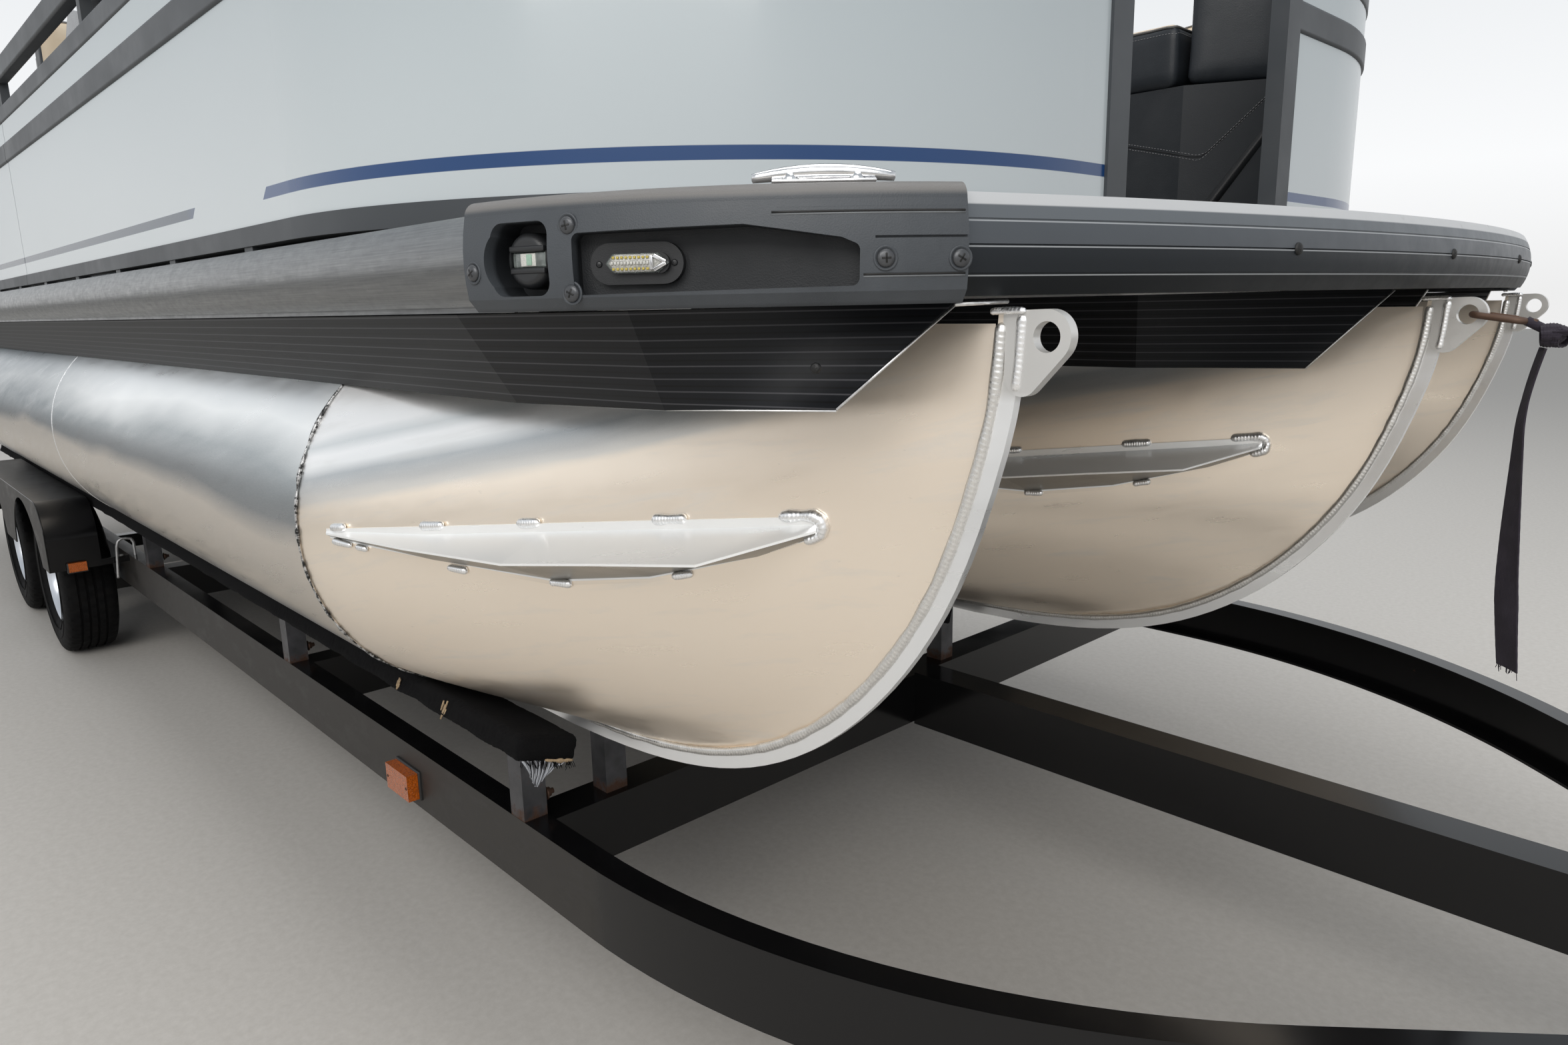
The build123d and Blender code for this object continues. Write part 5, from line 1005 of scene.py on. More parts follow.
def add_corner_trim():
    """Screws of the corner caps and the bumper, and the lamps' windows, chips and bright ends."""
    screws, lamps = Shape(), Shape()
    floor = CORNER_R - 0.034
    for side in (-1, 1):
        for n, (turn, z) in enumerate(((-67.96, 1.3433), (-67.9, 1.2821), (-81.04, 1.3044), (-37.04, 1.3063),
                                       (-29.81, 1.3055))):
            at, (out, _, _) = corner_axes(turn, side, cap_radius(z) - 0.0004, z)
            rim = ((0.0112, -0.001), (0.0112, 0.0006), (0.0100, 0.0012), (0.0092, 0.0004), (0.0, 0.0004))
            lathe(screws, at, out, rim, 2, 24)
            pan_head(screws, at, out, 0.0083, 0.0042, 0.5 + n)
        for z, first in ((1.3470, -47.5), (1.2925, -39.1)):
            # each groove is a dark rod of painted shade, with a pale rod of painted highlight on the lip under it
            for low, size, kind in ((0.0, 0.0011, 1), (0.0018, 0.0009, 3)):
                turns = np.linspace(first, -29.3, 14)
                groove = [corner_axes(t, side, cap_radius(z - low) - 0.0003, z - low)[0] for t in turns]
                rod(screws, groove, size, kind, 8)
        pan_head(screws, (SEAM + 1.021, side * 1.1385, 1.2108), (0.45, side * 0.88, 0.1), 0.0050, 0.0035, 0.4, 1)
        # side lamp: clear window with its green or red chip, and the brow's edge
        at, (out, along, up) = corner_axes(-74.6, side, floor + 0.0215, 1.315)
        block(lamps, at + along * 0.002, (along, up, out), (0.0215, 0.0072, 0.0034), 0.0015, 0)
        glass = 3 if side < 0 else 4
        block(lamps, at + along * 0.001 + out * 0.0022, (along, up, out), (0.0098, 0.0062, 0.0018), 0.0008, 1)
        block(lamps, at + along * 0.003 + out * 0.0040, (along, up, out), (0.0034, 0.0052, 0.0010), 0.0005, glass)
        for high in (-1, 1):
            block(lamps, at + along * 0.002 + up * high * 0.0105 + out * 0.004, (along, up, out),
                  (0.0225, 0.0026, 0.0030), 0.0012, 6)
        # long lamp: lens plate, three rows of chips and the bright arrow at its fore end
        at, (out, along, up) = corner_axes(-53.5, side, floor + 0.0152, 1.308)
        outline = ((-0.1040, 0.0), (-0.0965, 0.0088), (-0.0530, 0.0088), (-0.0425, 0.0), (-0.0530, -0.0088),
                   (-0.0965, -0.0088))
        middle = -0.0735
        for deep, share, kind in ((0.0022, 1.0, 0), (0.0030, 0.90, 5)):
            rings = [[at + along * (middle + (x - middle) * share * s) + up * z * share * s + out * d
                      for x, z in outline] for s, d in ((1.0, -0.0002), (1.0, deep - 0.0006), (0.93, deep))]
            lamps.rings(rings, kind)
        for z, count, start, pitch, half, kind in ((0.0052, 9, -0.0955, 0.0041, (0.00125, 0.00115, 0.0007), 2),
                                                   (-0.0052, 9, -0.0955, 0.0041, (0.00125, 0.00115, 0.0007), 2),
                                                   (0.0001, 12, -0.0968, 0.0031, (0.0011, 0.0014, 0.0008), 1)):
            for k in range(count):
                block(lamps, at + along * (start + pitch * k) + up * z + out * 0.0036, (along, up, out), half,
                      0.0003, kind, 1)
        for high in (-1, 1):
            lean = unit(along - up * high * 0.55)
            block(lamps, at + along * -0.0508 + up * high * 0.0035 + out * 0.0040,
                  (lean, np.cross(out, lean), out), (0.0068, 0.0021, 0.0014), 0.0009, 7)
        block(lamps, at + along * -0.0588 + out * 0.0042, (along, up, out), (0.0016, 0.0065, 0.0014), 0.0006, 7)
        for k in (-1, 1):
            spot = corner_axes(-53.5, side, floor + 0.0094, 1.308)[0] + along * (-0.076 + k * 0.0365)
            pan_head(lamps, spot, out, 0.0031, 0.0018, 0.2 + k, 6, 6)
    arc_x = SEAM + BOW_X - BOW_R
    for n, y in enumerate((-0.555, -0.116, 0.322, 0.760)):
        x = arc_x + math.sqrt(BOW_R**2 - y * y)
        out = unit((x - arc_x, y, 0.0))
        pan_head(screws, (x - 0.0006, y, 1.3180), out, 0.0072, 0.0036, 0.3 + n, 1)
    screws.finish("corner_screws", ("screw_dark", "recess", "cap", "cap_groove_highlight"), slot="dark_plastic")
    lamps.finish("lamp_details", ("lens_clear", "chip_white", "chip_yellow", "chip_green", "chip_red", "lens_inner",
                                  "lamp_black", "chrome"), slot="lamp_clear")


def add_skirt_edges():
    """Bright cut edges of the skirts, and the strip under each corner."""
    edges = Shape()
    low = ((-5.90, 1.1842, 1.1592), (0.56, 1.1842, 1.1592), (0.815, 1.1545, 1.1622), (1.006, 1.0960, 1.1672))
    for side in (-1, 1):
        for line, radius, sides in ((((1.0625, 0.986, 1.2652), (1.0065, 1.0965, 1.1685)), 0.0014, 8),
                                    (((1.1790, 0.081, 1.2705), (1.0945, 0.1675, 1.1585)), 0.0014, 8),
                                    (even_line(low, 0.2), 0.0012, 6),
                                    (((1.083, 1.0150, 1.2650), (1.101, 0.9560, 1.2665)), 0.0022, 8)):
            rod(edges, [(SEAM + x, side * y, z) for x, y, z in line], radius, sides=sides)
    edges.finish("skirt_edges", ("bright",), slot="skirt_black")


def bunk_axes(tube_y, side):
    """Middle of a bunk board's section, and its directions across and up."""
    turn = math.asin(BUNK_SPREAD / BUNK_REACH)
    lean = side * turn
    middle = vec(0.0, tube_y + side * BUNK_SPREAD, TUBE_Z - BUNK_REACH * math.cos(turn))
    return middle, vec(0.0, math.cos(lean), math.sin(lean)), vec(0.0, -math.sin(lean), math.cos(lean))


def bunk_section(near):
    """Outline of a board across and up, with more points where it is seen close."""
    half_y, half_z, r = BUNK_SECTION

    def corner(q, quarters):
        sy, sz = ROUND_CORNERS[q % 4]
        a = math.pi / 2 * quarters
        return np.array((sy * (half_y - r) + r * math.cos(a), sz * (half_z - r) + r * math.sin(a)))

    section = []
    steps = 5 if near else 3
    for q in range(4):
        section += [corner(q, q + k / steps) for k in range(steps + 1)]
        if near:
            start, end = corner(q, q + 1), corner(q + 1, q + 1)
            count = 10 if q % 2 == 0 else 3
            section += [start + (end - start) * (k / count) for k in range(1, count)]
    return section


def add_bunks():
    """Carpeted boards with pile."""
    dice = random.Random(5)
    boards = Shape()
    for tube_y in (-TUBE_Y, 0.0, TUBE_Y):
        for side in (-1, 1):
            center, across, up = bunk_axes(tube_y, side)
            near = tube_y < 0 or side < 0 and tube_y == 0.0
            fine, far, change = (0.006, 0.05, -0.75) if near else (0.012, 0.12, 0.2)
            stations = [*np.arange(BUNK_FORE, change, -fine), *np.arange(change, BUNK_AFT, -far), BUNK_AFT]
            section = bunk_section(near)
            waves = [(dice.uniform(3, 30), dice.uniform(0, 6), dice.uniform(0, 6)) for _ in range(6)]
            rings = []
            for x in stations:
                ring = []
                # the cover draws in over the last centimetre
                ahead = min(1.0, (BUNK_FORE - x) / 0.014)
                share = 0.80 + 0.20 * math.sqrt(max(0.0, 1.0 - (1 - ahead) ** 2))
                for j, (a, b) in enumerate(section):
                    puff = sum(math.sin(f * x * 2 + p + j * 0.7 + q * a * 20) for f, p, q in waves) * 0.00035
                    fuzz = dice.uniform(-0.0006, 0.0004) if near and x > -0.75 else 0.0
                    size = share + (puff + fuzz) / 0.03
                    # no pile stands out of the board towards the tube
                    size = min(size, 1.0) if b > 0 else size
                    ring.append(center + vec(SEAM + x, 0, 0) + across * a * size + up * b * size)
                rings.append(ring)
            boards.rings(rings)
    piece = boards.finish("bunk_carpets", ("carpet",), slot="bunk_carpet")
    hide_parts("bunk_boards")
    add_torn_end(dice)


def add_torn_end(dice):
    """Torn end of the starboard outer board: folded flap, bare wood and hanging backing threads."""
    middle, across, up = bunk_axes(-TUBE_Y, -1)
    center = middle + vec(SEAM + BUNK_FORE, 0.0, 0.0)
    torn = Shape()
    for k in range(46):
        s = k / 45.0
        top = center + across * (-0.046 + 0.088 * s) - up * 0.0185 + vec(dice.uniform(-0.003, 0.001), 0, 0)
        reach = 0.034 * (1.0 - abs(s - 0.42) / 0.6) + 0.004
        foot = center + across * (-0.046 + 0.088 * (0.42 + (s - 0.42) * 0.45)) - up * (0.022 + reach)
        foot = foot + vec(-0.004 + dice.uniform(-0.004, 0.004), 0, dice.uniform(-0.002, 0.002))
        bend = (top + foot) / 2 + vec(0.003 + dice.uniform(-0.001, 0.002), 0, 0)
        rod(torn, even_line([top, bend, foot], 0.009), 0.0011, 0 if k % 4 else 3, sides=5)
    for k in range(60):
        s = dice.uniform(0, 1)
        top = center + across * (-0.048 + 0.095 * s) - up * 0.0175
        end = top + vec(dice.uniform(-0.002, 0.006), dice.uniform(-0.006, 0.006), -dice.uniform(0.006, 0.016))
        rod(torn, [top, (top + end) / 2 + vec(0.001, 0, 0), end], 0.0006, 2, sides=4)
    rings = []
    for k in range(14):
        s = k / 13.0
        p = center + across * (-0.004 + 0.050 * s) - up * (0.0168 + 0.0012 * math.sin(3 * s)) + vec(0.0012, 0, 0)
        half = 0.0018 * (0.5 + math.sin(math.pi * (0.08 + 0.84 * s))) * (1 + 0.4 * dice.uniform(-1, 1))
        rings.append([p + up * half * high + vec(ahead, 0, 0)
                      for high, ahead in ((1, 0.0008), (-1, 0.0008), (-1, -0.001), (1, -0.001))])
    torn.rings(rings, 1)
    # chips of bare wood where the carpet has worn through on the outer edge
    for x, size in ((0.118, 0.017), (-0.062, 0.013)):
        base = center + vec(x - BUNK_FORE, 0, 0) - across * 0.0545 - up * 0.006
        way = unit(vec(0.25, 0, 0) + up)
        for k in range(9):
            shift = vec(dice.uniform(-size, size) * 0.4, 0, 0) + up * dice.uniform(-size, size) * 0.6
            block(torn, base + shift, (way, across, np.cross(way, across)),
                  (size * dice.uniform(0.25, 0.5), 0.0012, 0.0014), 0.0004, 1, 1)
    torn.finish("bunk_torn_end", ("backing", "wood", "carpet", "backing_dark"), slot="bunk_carpet")


def lattice_box(plan, long, wide, high, low, rounding, stations, crown, pull, step):
    """Points and faces of a rounded, crowned cushion over a plan, on an even lattice, with each face's side."""

    def places(length, extra=()):
        count = max(4, int(round(length / step)))
        return sorted(set(np.round(np.linspace(0.0, 1.0, count + 1), 5)) | set(extra))

    s_places = places(long, stations)
    t_places = places(wide)
    w_places = places(high)
    half = vec(long, wide, high) / 2
    index = {}
    points = []

    def vertex(i, j, k):
        key = (i, j, k)
        if key not in index:
            p = vec(s_places[i] - 0.5, t_places[j] - 0.5, w_places[k] - 0.5) * 2 * half
            inner = np.clip(p, -(half - rounding), half - rounding)
            d = p - inner
            far = np.linalg.norm(d)
            if far > rounding:
                p = inner + d * (rounding / far)
            s, t, w = p / (2 * half) + 0.5
            bow_s, bow_t = 1 - (2 * s - 1) ** 2, 1 - (2 * t - 1) ** 2
            t += (0.5 - t) * 2 * pull / wide * bow_s * (1 - abs(2 * w - 1) ** 3 * 0.4)
            s += (0.5 - s) * 2 * pull / long * bow_t
            x, y = plan(s, t)
            rise = crown * (1 - (2 * s - 1) ** 6) * (1 - (2 * t - 1) ** 4) * max(0.0, (w - 0.5) * 2) ** 2
            index[key] = len(points)
            points.append((x, y, low + w * high + rise))
        return index[key]

    faces, sides = [], []
    counts = (len(s_places) - 1, len(t_places) - 1, len(w_places) - 1)
    for axis in range(3):
        a, b = [n for n in range(3) if n != axis]
        for end in (0, counts[axis]):
            for p in range(counts[a]):
                for q in range(counts[b]):
                    corner = []
                    for da, db in ((0, 0), (1, 0), (1, 1), (0, 1)):
                        key = [0, 0, 0]
                        key[axis], key[a], key[b] = end, p + da, q + db
                        corner.append(vertex(*key))
                    faces.append(tuple(corner))
                    sides.append((axis, end > 0))
    return points, faces, sides, index, (s_places, t_places, w_places)


def swell(piece, cap, floor):
    """Cloth with inner pressure puffs a cushion up, no further than a cap and never below its floor."""
    cloth = piece.modifiers.new("cloth", "CLOTH")
    settings = cloth.settings
    settings.quality = 4
    settings.mass = 0.3
    settings.tension_stiffness = 18.0
    settings.compression_stiffness = 18.0
    settings.bending_stiffness = 0.8
    settings.use_pressure = True
    settings.uniform_pressure_force = 4.0
    settings.effector_weights.gravity = 0.0
    rest = np.array([v.co[:] for v in piece.data.vertices])
    for n in range(1, SIM_FRAMES + 1):
        bpy.context.scene.frame_set(n)
    solved = piece.evaluated_get(bpy.context.evaluated_depsgraph_get())
    shift = np.array([v.co[:] for v in solved.to_mesh().vertices]) - rest
    solved.to_mesh_clear()
    far = np.linalg.norm(shift, axis=1)
    # small moves stay, large ones bend over towards the cap
    soft = cap * np.tanh(far / cap)
    shift *= (soft / np.maximum(far, 1e-9))[:, None]
    final = rest + shift
    final[:, 2] = np.maximum(final[:, 2], floor)
    piece.modifiers.remove(cloth)
    piece.data.vertices.foreach_set("co", final.ravel())
    piece.data.update()
    bpy.context.scene.frame_set(1)


def cushion(name, plan, long, wide, low, high, node_slot, beige=(), channels=(), crown=0.010, pull=0.004,
            rounding=0.022, body="boat", piping=True, cap=0.007, step=0.016, stitched=()):
    """One upholstered cushion: puffed form with the named sides beige, sewn channels, piping and stitching."""
    extra = [round(c + d / long, 5) for c in channels for d in (-0.009, -0.004, 0.0, 0.004, 0.009)]
    points, faces, sides, index, places = lattice_box(plan, long, wide, high, low, rounding, extra, crown, pull, step)
    shape = Shape()
    shape.add(points, faces)
    shape.kinds = [1 if side in beige else 0 for side in sides]
    piece = shape.finish(name, ("charcoal", "beige"), body=body, slot=node_slot)
    swell(piece, cap, low)
    mesh = piece.data
    co = np.array([v.co[:] for v in mesh.vertices])
    s_places, t_places, w_places = places
    # sewn channels sink after the swelling
    if channels:
        for (i, j, k), n in index.items():
            gap = min(abs(s_places[i] - c) for c in channels) * long
            if gap < 0.012 and (k == len(w_places) - 1 or j in (0, len(t_places) - 1)):
                sink = SINK_DEEP * math.exp(-((gap / SINK_WIDE) ** 2))
                if k == len(w_places) - 1:
                    co[n, 2] -= sink
                else:
                    toward = np.array(plan(s_places[i], 0.5)) - co[n, :2]
                    co[n, :2] += toward / max(1e-6, np.linalg.norm(toward)) * sink
        mesh.vertices.foreach_set("co", co.ravel())
        mesh.update()
    trim = Shape()
    top = len(w_places) - 1
    ns, nt = len(s_places) - 1, len(t_places) - 1
    loop = ([(i, 0, top) for i in range(ns)] + [(ns, j, top) for j in range(nt)]
            + [(i, nt, top) for i in range(ns, 0, -1)] + [(0, j, top) for j in range(nt, 0, -1)])
    middle = co.mean(axis=0)
    if piping:
        line = [co[index[key]] for key in loop]
        line = [p + unit((p - middle) * (0.2, 1.0, 1.0) if long > wide else p - middle) * 0.0008 for p in line]
        rod(trim, even_line(line, 0.012, along=True), 0.0030, 0, sides=7, along=True)
    for edge in stitched:
        inner = edge == "inner"
        row = []
        for i, j in [(i, 0) for i in range(ns + 1)] if inner else [(ns, j) for j in range(nt + 1)]:
            chain = [co[index[(i, j, k)]] for k in range(top, max(0, top - 4), -1)]
            spots = even_line(chain, 0.001)
            row.append(spots[min(len(spots) - 1, 15)])
        away = (np.array(row) - middle) * ((0.0, 1.0, 0.0) if inner else (1.0, 0.0, 0.0))
        dashes(trim, np.array(row) + np.array([unit(a) for a in away]) * 0.0006, 1)
    if trim.points:
        trim.finish(name + "_seams", ("piping", "thread"), body=body, slot=node_slot)
    return piece


def dashes(shape, line, kind=0, pitch=0.0075, long=0.0048, thick=0.0006):
    """A row of thread stitches along a line."""
    spots = even_line(line, pitch)
    for a, b in zip(spots, spots[1:]):
        way = unit(b - a)
        rod(shape, [a, a + way * long / 2, a + way * long], [thick * 0.6, thick, thick * 0.6], kind, sides=5)


def fence_reach(x, clear):
    """How far outboard the inside of the fence is at a station, at a clearance."""
    center = FENCE_FRONT - FENCE_R
    radius = FENCE_R - FENCE_DEEP - clear
    if x <= center:
        return FENCE_STRAIGHT + radius
    return FENCE_STRAIGHT + math.sqrt(max(0.0, radius**2 - (x - center) ** 2))


def box_plan(x0, x1, y0, y1):
    """Plan of a straight cushion between two stations and two breadths."""
    return lambda s, t: (SEAM + x0 + (x1 - x0) * s, y0 + (y1 - y0) * t)


def add_lounges():
    """Every lounge cushion and back in upholstery."""
    seats, backs = [], []
    top, fore, inboard, aft = (2, True), (0, True), (1, False), LOUNGE_AFT
    long, end_long = LOUNGE_BEND - 0.010 - aft, LOUNGE_END - LOUNGE_BEND
    for side, inner in LOUNGES:
        word = "port" if side > 0 else "starboard"

        def seat_plan(s, t, side=side, inner=inner):
            x = aft + long * s
            y = inner - 0.015 + (fence_reach(x, 0.180) - inner + 0.015) * t
            return SEAM + x, side * y

        def back_plan(s, t, side=side):
            x = aft + long * s
            y = fence_reach(x, 0.170) + (fence_reach(x, 0.020) - fence_reach(x, 0.170)) * t
            return SEAM + x, side * y

        def end_plan(s, t, side=side, inner=inner):
            x = LOUNGE_BEND + end_long * s
            low = inner + LOUNGE_FLARE * s
            return SEAM + x, side * (low + (fence_reach(x, 0.020) - low) * t)

        seats.append(cushion(f"bow_seat_{word}", seat_plan, long, 0.50, SEAT_LOW, SEAT_TOP - SEAT_LOW - 0.006,
                             "vinyl_charcoal", (top,), (0.34, 0.67), crown=0.008, stitched=("inner", "fore")))
        backs.append(cushion(f"bow_back_{word}", back_plan, long, 0.150, SEAT_LOW, BACK_TOP - SEAT_LOW - 0.004,
                             "vinyl_charcoal", (inboard, top), (0.34, 0.67), crown=0.004, pull=0.002,
                             stitched=("inner",)))
        backs.append(cushion(f"bow_end_{word}", end_plan, end_long, 0.50, SEAT_LOW, BACK_TOP + 0.006 - SEAT_LOW,
                             "vinyl_charcoal", crown=0.004, pull=0.002, piping=False, cap=0.004, rounding=0.018))
    boxes = (("stern_seat_port", -5.113, -4.588, 0.390, 1.053, SEAT_TOP, (top,)),
             ("stern_seat_starboard", -5.113, -4.588, -1.203, -0.390, SEAT_TOP, (top,)),
             ("stern_seat_side", -4.578, -3.708, 0.583, 1.053, SEAT_TOP, (top,)),
             ("stern_back_port", -5.273, -5.123, 0.390, 1.048, BACK_TOP, (top, fore)),
             ("stern_back_starboard", -5.273, -5.123, -1.203, -0.390, BACK_TOP, (top, fore)),
             ("stern_back_side", -5.273, -3.708, 1.058, 1.213, BACK_TOP, (top, inboard)))
    for name, x0, x1, y0, y1, high, beige in boxes:
        piece = cushion(name, box_plan(x0, x1, y0, y1), x1 - x0, y1 - y0, SEAT_LOW, high - SEAT_LOW - 0.006,
                        "vinyl_charcoal", beige, (0.5,) if x1 - x0 > 0.4 else (), crown=0.006, pull=0.003, step=0.022)
        (backs if "back" in name else seats).append(piece)
    for piece in seats:
        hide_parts("lounge_seats")
    for piece in backs:
        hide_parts("lounge_backs")


def base_face(side, inner, station, z, lift=0.0006):
    """A point just over the inner face of a bow lounge's base."""
    if station <= LOUNGE_BEND:
        return vec(SEAM + station, side * (inner - lift), z)
    end_long = LOUNGE_END - LOUNGE_BEND
    normal = unit((LOUNGE_FLARE, -end_long, 0.0))
    y = inner + LOUNGE_FLARE * (station - LOUNGE_BEND) / end_long
    return vec(SEAM + station + normal[0] * lift, side * (y + normal[1] * lift), z)


def add_base_trim():
    """Double stitching, seam and black band on the bow lounges' bases."""
    trim = Shape()
    seam_x, seam_z = zip((-1.20, 1.618), (0.30, 1.628), (0.392, 1.618), (0.488, 1.594), (0.552, 1.577),
                         (0.566, 1.581), (0.617, 1.636), (0.674, 1.698), (0.694, 1.720))
    for side, inner in LOUNGES:
        for shift in (-0.0055, 0.0055):
            row = [base_face(side, inner, x + (0.5 * shift if x > 0.56 else 0), np.interp(x, seam_x, seam_z) + shift)
                   for x in np.arange(seam_x[0], seam_x[-1], 0.006)]
            dashes(trim, row, 0)
        groove = [base_face(side, inner, x, np.interp(x, seam_x, seam_z))
                  for x in np.arange(seam_x[0], seam_x[-1], 0.02)]
        rod(trim, groove, 0.0010, 1, sides=5)
        rings = []
        out = vec(0.0004, -side * 0.0014, 0.0)
        # the band leans forward from the deck until it meets the base's end
        for z in np.linspace(1.3665, 1.670, 25):
            a = base_face(side, inner, 0.578 + (z - 1.489) * 0.6575, z, 0.0)
            b = base_face(side, inner, min(0.699, 0.604 + (z - 1.488) * 0.6100), z, 0.0)
            if np.linalg.norm(a - b) < 0.002 or a[0] > SEAM + 0.699:
                break
            rings.append([a + out, b + out, b - out * 0.2, a - out * 0.2])
        trim.rings(rings, 2)
    trim.finish("base_trim", ("thread", "seam", "band"), slot="base_plastic")


def add_chair():
    """The helm chair's cushions."""
    for name, x0, x1, half, low, high, beige in (("chair_seat", -0.190, 0.260, 0.255, 0.356, 0.118, (2, True)),
                                                 ("chair_back", -0.200, -0.080, 0.250, 0.484, 0.490, (0, True))):
        plan = box_plan(CHAIR_X + x0, CHAIR_X + x1, HELM_Y - half, HELM_Y + half)
        piece = cushion(name, plan, x1 - x0, 2 * half, DECK_TOP + low, high, "vinyl_beige", (beige,), crown=0.008,
                        pull=0.004, rounding=0.030, body="chair", cap=0.006, step=0.018)
        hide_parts("chair_cushions")


def wheel_spot(middle, radius, across, turn):
    """A point of a wheel at a radius, a distance across from its middle plane and a turn."""
    return middle + vec(radius * math.sin(turn), across, radius * math.cos(turn))


def add_tyre(middle, side, word):
    """Tyre with grooves, tread blocks and sidewall rings."""
    tyre = Shape()
    # half section from the bead to the tread: across, radius, and 0 for wall, 1 shoulder, 2 block, 3 groove
    section = [(-0.062, RIM_R + 0.001, 0), (-0.074, RIM_R + 0.010, 0), (-0.084, RIM_R + 0.030, 0),
               (-0.0885, RIM_R + 0.055, 0), (-0.087, TYRE_R - 0.040, 0), (-0.081, TYRE_R - 0.018, 1),
               (-0.074, TYRE_R - 0.008, 1), (-0.064, TYRE_R - 0.0035, 2)]
    mirrored = [(-a, r, place) for a, r, place in reversed(section)]
    for edge in (-0.040, -0.013, 0.013, 0.040):
        section += [(edge - 0.0042, TYRE_R - 0.0015, 2), (edge - 0.0032, TYRE_R - 0.0085, 3),
                    (edge + 0.0032, TYRE_R - 0.0085, 3), (edge + 0.0042, TYRE_R - 0.0015, 2)]
    rings = []
    for k, angle in enumerate(circle(240)):
        ring = []
        for j, (a, r, place) in enumerate(section + mirrored):
            # every sixth step is a gap between blocks, shifted from row to row
            if place == 2 and (k + (j // 4) * 2) % 6 == 0:
                r -= 0.0035
            if place == 1 and k % 6 == 0:
                r -= 0.0030
            ring.append(wheel_spot(middle, r, a, angle))
        rings.append(ring)
    tyre.rings(rings, along=True)
    for far, out, size in ((0.200, 0.0862, 0.00192), (0.236, 0.0882, 0.0016)):
        rod(tyre, [wheel_spot(middle, far, side * out, t) for t in circle(96)], size, 0, sides=6, along=True)
    piece = tyre.finish(f"tyre_mesh_{word}", ("tyre",), body=f"wheel_{word}", slot="tyre_rubber", angle=32)
    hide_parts(f"tyre_{word}")


def add_rim(middle, side, word):
    """Rim with its flange, hub dish, five tapered spokes, nuts, cap and valve."""
    rim = Shape()
    out = vec(0.0, side, 0.0)
    flange = ((-0.011, -0.070), (0.001, -0.070), (0.001, -0.062), (-0.006, -0.052), (-0.016, -0.040), (-0.016, 0.040),
              (-0.006, 0.052), (0.001, 0.062), (0.001, 0.070), (-0.005, 0.0705), (-0.012, 0.062), (-0.022, 0.046),
              (-0.022, -0.040))
    rim.rings([[wheel_spot(middle, RIM_R + r, side * a, t) for r, a in flange] for t in circle(64)], along=True)
    lathe(rim, middle, out, ((0.062, -0.004), (0.066, 0.010), (0.062, 0.024), (0.046, 0.030), (0.0, 0.031)), 0, 40)
    for k in range(5):
        t = math.tau * (k + 0.25) / 5
        way = vec(math.sin(t), 0.0, math.cos(t))
        across = np.cross(way, out)
        rings = []
        for far, half, face, thick in ((0.050, 0.026, 0.024, 0.020), (0.080, 0.021, 0.026, 0.018),
                                       (0.115, 0.020, 0.032, 0.016), (0.152, 0.030, 0.040, 0.014)):
            spot = middle + way * far + out * face
            rings.append([spot + across * half * share - out * drop
                          for share, drop in ((1, thick), (0.96, 0.003), (0.7, 0), (-0.7, 0), (-0.96, 0.003),
                                              (-1, thick))])
        rim.rings(rings)
        lathe(rim, wheel_spot(middle, 0.0445, side * 0.027, t + 0.63), out,
              ((0.0095, 0.0), (0.0095, 0.010), (0.0065, 0.014), (0.0, 0.0145)), 1, 6)
    lathe(rim, middle, out, ((0.031, 0.026), (0.031, 0.046), (0.026, 0.052), (0.0, 0.053)), 1, 28)
    valve = 0.9
    lathe(rim, wheel_spot(middle, RIM_R - 0.030, side * 0.046, valve), wheel_spot(out, 0.25, 0.0, valve),
          ((0.0042, 0.0), (0.0042, 0.018), (0.0030, 0.022), (0.0, 0.0225)), 2, 10)
    piece = rim.finish(f"rim_mesh_{word}", ("rim", "steel", "tyre"), body=f"wheel_{word}", slot="rim_silver",
                       angle=35)
    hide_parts(f"rim_{word}")


def add_wheels():
    """The four wheels."""
    for end, axle in zip(("front", "rear"), AXLE_X):
        for side, word in ((-1, "starboard"), (1, "port")):
            middle = vec(SEAM + axle, side * (WHEEL_OUT - WHEEL_WIDE / 2), TYRE_R)
            add_tyre(middle, side, f"{end}_{word}")
            add_rim(middle, side, f"{end}_{word}")


def ribbed(point, side, out, wide, thick, rib_high, folds):
    """A closed section of webbing with ribs along it, folded across its width."""
    front, back = [], []
    for k in range(37):
        s = 2.0 * k / 36 - 1.0
        rib = thick + rib_high * (0.5 - 0.5 * math.cos(math.tau * k / 3))
        spot = point + side * s * wide + out * (folds * math.cos(3 * math.pi * s) + 0.0006)
        front.append(spot + out * rib)
        back.append(spot - out * rib)
    return front + back[::-1]


def add_hook(middle, ahead, above):
    """The snap hook: a long eye with its spring latch, rivet and shank."""
    hook = Shape()
    half, radius = 0.0205, 0.0135
    loop = []
    for end in (-1, 1):
        for k in range(16):
            t = -end * math.pi / 2 + math.pi * k / 15
            loop.append(middle + ahead * half * end + radius * (ahead * math.cos(t) + PORT * math.sin(t)))
    rod(hook, even_line(loop, 0.003, along=True), 0.0048, 0, sides=14, along=True)
    latch = middle + PORT * radius
    block(hook, latch + ahead * 0.004 + above * 0.0004, (ahead, PORT, above), (0.017, 0.0022, 0.0052), 0.0012, 0)
    lathe(hook, latch - ahead * 0.012 - above * 0.0056, above, ((0.0028, 0.0), (0.0028, 0.0112), (0, 0.0114)), 0, 12)
    rod(hook, [middle + ahead * far for far in (0.0338, 0.0398, 0.0478)], [0.0048, 0.0056, 0.0048], 0, sides=12)
    piece = hook.finish("snap_hook", ("rusty",), slot="steel")
    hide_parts("strap_hook")


